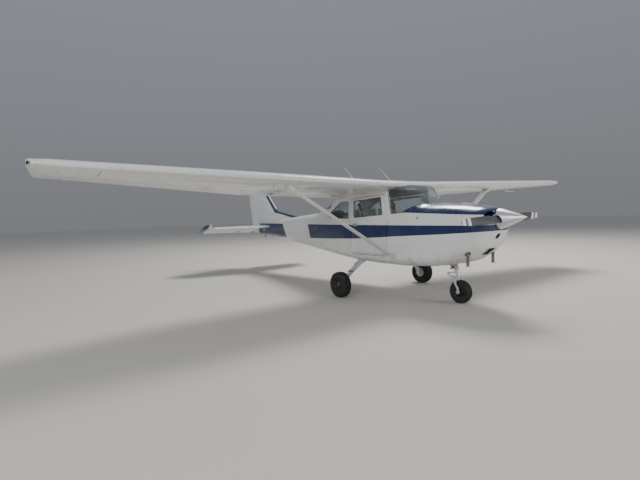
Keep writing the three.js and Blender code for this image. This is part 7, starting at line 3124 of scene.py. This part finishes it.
    def _aerial_base(self, side: Side) -> None:
        """Makes the moulded foot of the whip aerial.

        Args:
            side: the aerial's side.
        """
        x, station, z = self.aerial
        rows = [(-0.004, 0.0), (-0.004, 0.030), (0.003, 0.029), (0.010, 0.016), (0.024, 0.011),
                (0.036, 0.009), (0.038, 0.0)]
        Form().lathe(rows, facing(at(side.value * x, station, z), Vector((0, 0.2, 1))), 28).piece(
            f"aerial_foot_{side.word}", "airframe", Finishes.SEAL, slot="tyre_rubber"
        )

    def _holes(self) -> None:
        """Makes the fresh-air holes in the wing roots: a pressed rim round a near-black disc, which is
        painted shade in place of the open bore.
        """
        rims, shade_discs = Form(), Form()
        for x, z in self.holes:
            skin = Skin("wing_left" if x > 0 else "wing_right", "roof_center_section")
            frame = facing(*skin.ahead(x, z))
            rims.lathe([(-0.002, 0.0170), (0.0016, 0.0176), (0.0022, 0.0196), (-0.002, 0.0220)], frame, 28)
            # near-black disc flush in each hole: painted shade where the bore is open
            shade_discs.lathe([(-0.002, 0.0), (-0.002, 0.0172), (0.0007, 0.0172), (0.0002, 0.0)], frame, 28)
        rims.piece("air_hole_rims", "airframe", Finishes.PLAIN, slot="white_paint")
        shade_discs.piece("air_hole_shade_discs", "airframe", Finishes.BAFFLE, slot="panel_dark")

    def _tip_joint(self, side: Side) -> None:
        """Makes the joint's dark gap in the nose skin near the tip, with a drain behind it.

        Args:
            side: the wing's side.
        """
        x, station = self.joint
        spots = [self.skin.below(side.value * x, station + 0.024 * i) for i in range(10)]
        form = Form().tube([spot[0] for spot in spots if spot], 0.0032, 6)
        for x, station in self.tip_drains:
            form.stud(*self.skin.below(side.value * x, station), 0.010, 0.004, 12)
        form.piece(f"tip_joint_{side.word}", "airframe", Finishes.SEAL, slot="tyre_rubber")

    def _stall_port(self) -> None:
        """Makes the stall warning's slotted plate in the port wing's nose."""
        frame = facing(*Skin("wing_left").ahead(*self.stall))
        rows = [(-0.001, 0.006), (-0.001, 0.022), (0.0012, 0.021), (0.0016, 0.012), (0.0002, 0.006)]
        Form().lathe(rows, frame, 24).piece("stall_port", "airframe", Finishes.CAST, slot="polished_metal")


@dataclass
class TailDetail:
    """What sits on the tail: beacon, tail lamp, fairings, cables, tab linkage and tie-down."""

    beacon: Pair = (6.470, 2.540)
    lamp_z: float = 1.120
    cable: Pair = (5.880, 1.060)
    horn: Pair = (-0.640, 6.447)
    rod_foot: Pair = (-0.500, 6.300)
    fillet: Pair = (5.560, 0.560)
    spar_z: float = 1.15
    skid: float = 5.780
    under: float = 0.6
    skid_under: float = 0.2

    def build(self) -> None:
        """Makes the details of the tail."""
        self._beacon()
        self._tail_lamp()
        self._cables()
        self._tab_link()
        self._root_seals()
        self._tie_down()

    def _beacon(self) -> None:
        """Makes the red ribbed glass over the beacon's stub, on a metal collar."""
        frame = facing(at(0.0, *self.beacon), Vector((0, 0, 1)))
        collar = [(-0.001, 0.0425), (-0.001, 0.0465), (0.010, 0.0450), (0.012, 0.0425)]
        Form().lathe(collar, frame, 40).piece(
            "beacon_collar", "airframe", Finishes.STEEL, slot="polished_metal"
        )
        rows = []
        for i in range(13):
            rise = i / 12
            radius = 0.0435 * math.sqrt(max(0.0, 1 - (0.80 * rise) ** 2)) - 0.004 * rise
            rows.append((0.011 + 0.0545 * rise, radius + (0.0007 if i % 2 else 0.0)))
        rows += [(0.0662, rows[-1][1] * 0.6), (0.0668, 0.0)]
        Form().lathe([(0.011, 0.0), *rows], frame, 40).piece(
            "beacon_glass", "airframe", Finishes.RED, slot="glazing"
        )

    def _tail_lamp(self) -> None:
        """Makes the clear tail lamp on the rudder's foot."""
        point, _ = Skin("rudder").hit(at(0.0, 7.6, self.lamp_z), (0, -1, 0))
        frame = facing(point - Vector((0, 0.030, 0)), Vector((0, 1, 0)))
        shoe = [(-0.02, 0.0), (-0.02, 0.016), (0.018, 0.022), (0.026, 0.022), (0.027, 0.018)]
        Form().lathe(shoe, frame, 28).piece(
            "tail_lamp_shoe", "rudder", Finishes.STEEL, slot="polished_metal"
        )
        glass = [(0.020, 0.0), (0.026, 0.0185), (0.036, 0.0175), (0.046, 0.012), (0.050, 0.005),
                 (0.0505, 0.0)]
        Form().lathe(glass, frame, 28).piece(
            "tail_lamp_glass", "rudder", Finishes.LENS, slot="glazing"
        )

    def _cables(self) -> None:
        """Makes the rudder cables' exit fairings on the tail cone."""
        skin = Skin("tail_cone")
        rows = ((-0.080, 0.002), (-0.060, 0.009), (-0.020, 0.015), (0.030, 0.016), (0.050, 0.013))
        station, z = self.cable
        for side in Side:
            rings = []
            for run, size in rows:
                base, _ = skin.beside(side, station + run, z)
                rings.append(oval(base, side.value * size * 0.8, size))
            Form().loft(rings).piece(
                f"cable_fairing_{side.word}", "airframe", Finishes.PLAIN, slot="white_paint"
            )

    def _tab_link(self) -> None:
        """Makes the trim tab's horn and the forked rod that moves it, with its shoe."""
        form, under = Form(), self.under
        point, _ = Skin("trim_tab").below(*self.horn, under)
        plate = ((-0.009, 0.002), (-0.006, -0.024), (0.005, -0.026), (0.022, 0.002))
        for dx in (-0.007, 0.007):
            form.loft([[point + Vector((dx + t, y, z)) for y, z in plate] for t in (-0.0012, 0.0012)])
        pin = point + Vector((0, -0.001, -0.019))
        form.tube([pin + Vector((way * 0.0085, 0, 0)) for way in (-1, 1)], 0.0028, 8)
        form.piece("tab_horn", "trim_tab", Finishes.STEEL, slot="gear_steel")
        lower = Skin("elevator")
        x, station = self.rod_foot
        start, _ = lower.below(x, station, under)
        rings = []
        for run, wide, deep in (
            (-0.060, 0.004, 0.002), (-0.035, 0.014, 0.012), (0.010, 0.017, 0.016), (0.035, 0.012, 0.009),
        ):
            base, _ = lower.below(x, station + run, under)
            rings.append(oval(base, wide, deep))
        Form().loft(rings).piece("tab_rod_shoe", "elevator", Finishes.PLAIN, slot="white_paint")
        yoke = pin + Vector((0, -0.024, 0))
        rod = Form().tube([start + Vector((0, -0.010, -0.006)), yoke], 0.0038, 10)
        rod.tube([yoke + Vector((way * 0.0114, 0, 0)) for way in (-1, 1)], 0.0030, 10)
        for way in (-1, 1):
            arm = [yoke + Vector((way * 0.0108, run, 0)) for run in (0, 0.019, 0.030)]
            rod.tube(arm, [0.0026, 0.0030, 0.0046], 10)
        rod.piece("tab_pushrod", "elevator", Finishes.CAST, slot="gear_steel")

    def _root_seals(self) -> None:
        """Makes the moulded fillets where the tailplane's front spar meets the tail cone."""
        cone, stab = Skin("tail_cone"), Skin("stabilizer")
        start, length = self.fillet
        for side in Side:
            form = Form()
            for up in (1, -1):
                path = []
                for i in range(14):
                    station = start + length * i / 13
                    for x in (0.16, 0.14, 0.12, 0.10, 0.09, 0.08):
                        spot = stab.hit(at(side.value * x, station, self.spar_z + up * 0.4), (0, 0, -up))
                        wall = cone.beside(side, station, self.spar_z + up * 0.03)
                        if spot and wall:
                            path.append(Vector((wall[0].x + side.value * 0.003, spot[0].y, spot[0].z)))
                            break
                if len(path) > 3:
                    form.tube(path, 0.0075, 10)
            if form.points:
                form.piece(f"tailplane_fillet_{side.word}", "airframe", Finishes.PLAIN, slot="white_paint")

    def _tie_down(self) -> None:
        """Makes the tail's skid plate with its bolts, under the cone."""
        skin = Skin("tail_cone")
        section = ((-0.018, 0.004), (0.018, 0.004), (0.015, -0.004), (-0.015, -0.004))
        rings = []
        for i in range(9):
            station = self.skid + 0.030 * i
            point, _ = skin.below(0.018, station, self.skid_under)
            rings.append([at(x, station, point.z + dz) for x, dz in section])
        form = Form().loft(rings)
        for station in (self.skid + 0.020, self.skid + 0.220):
            point, _ = skin.below(0.010, station, self.skid_under)
            form.stud(at(0, station, point.z - 0.0035), Vector((0, 0, -1)), 0.006, 0.003, 8)
        form.piece("tail_skid", "airframe", Finishes.STEEL, slot="gear_steel", bevel=0.001)


# The run


ASSEMBLIES: tuple[Callable[[], object], ...] = (
    Studio, Airframe, Wheels, MainGear, NoseGear, Propeller, Cowling, CabinDetail,
    Cockpit, Seating, Lining, WingDetail, TailDetail,
)


def main() -> None:
    """Loads the frame and builds every sub-assembly in order."""
    logging.basicConfig(level=logging.INFO, format="%(name)s: %(message)s", stream=sys.stdout)
    FRAME.update(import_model())
    for assembly in ASSEMBLIES:
        LOG.info("building %s", assembly.__name__)
        assembly().build()


if __name__ == "__main__":
    main()
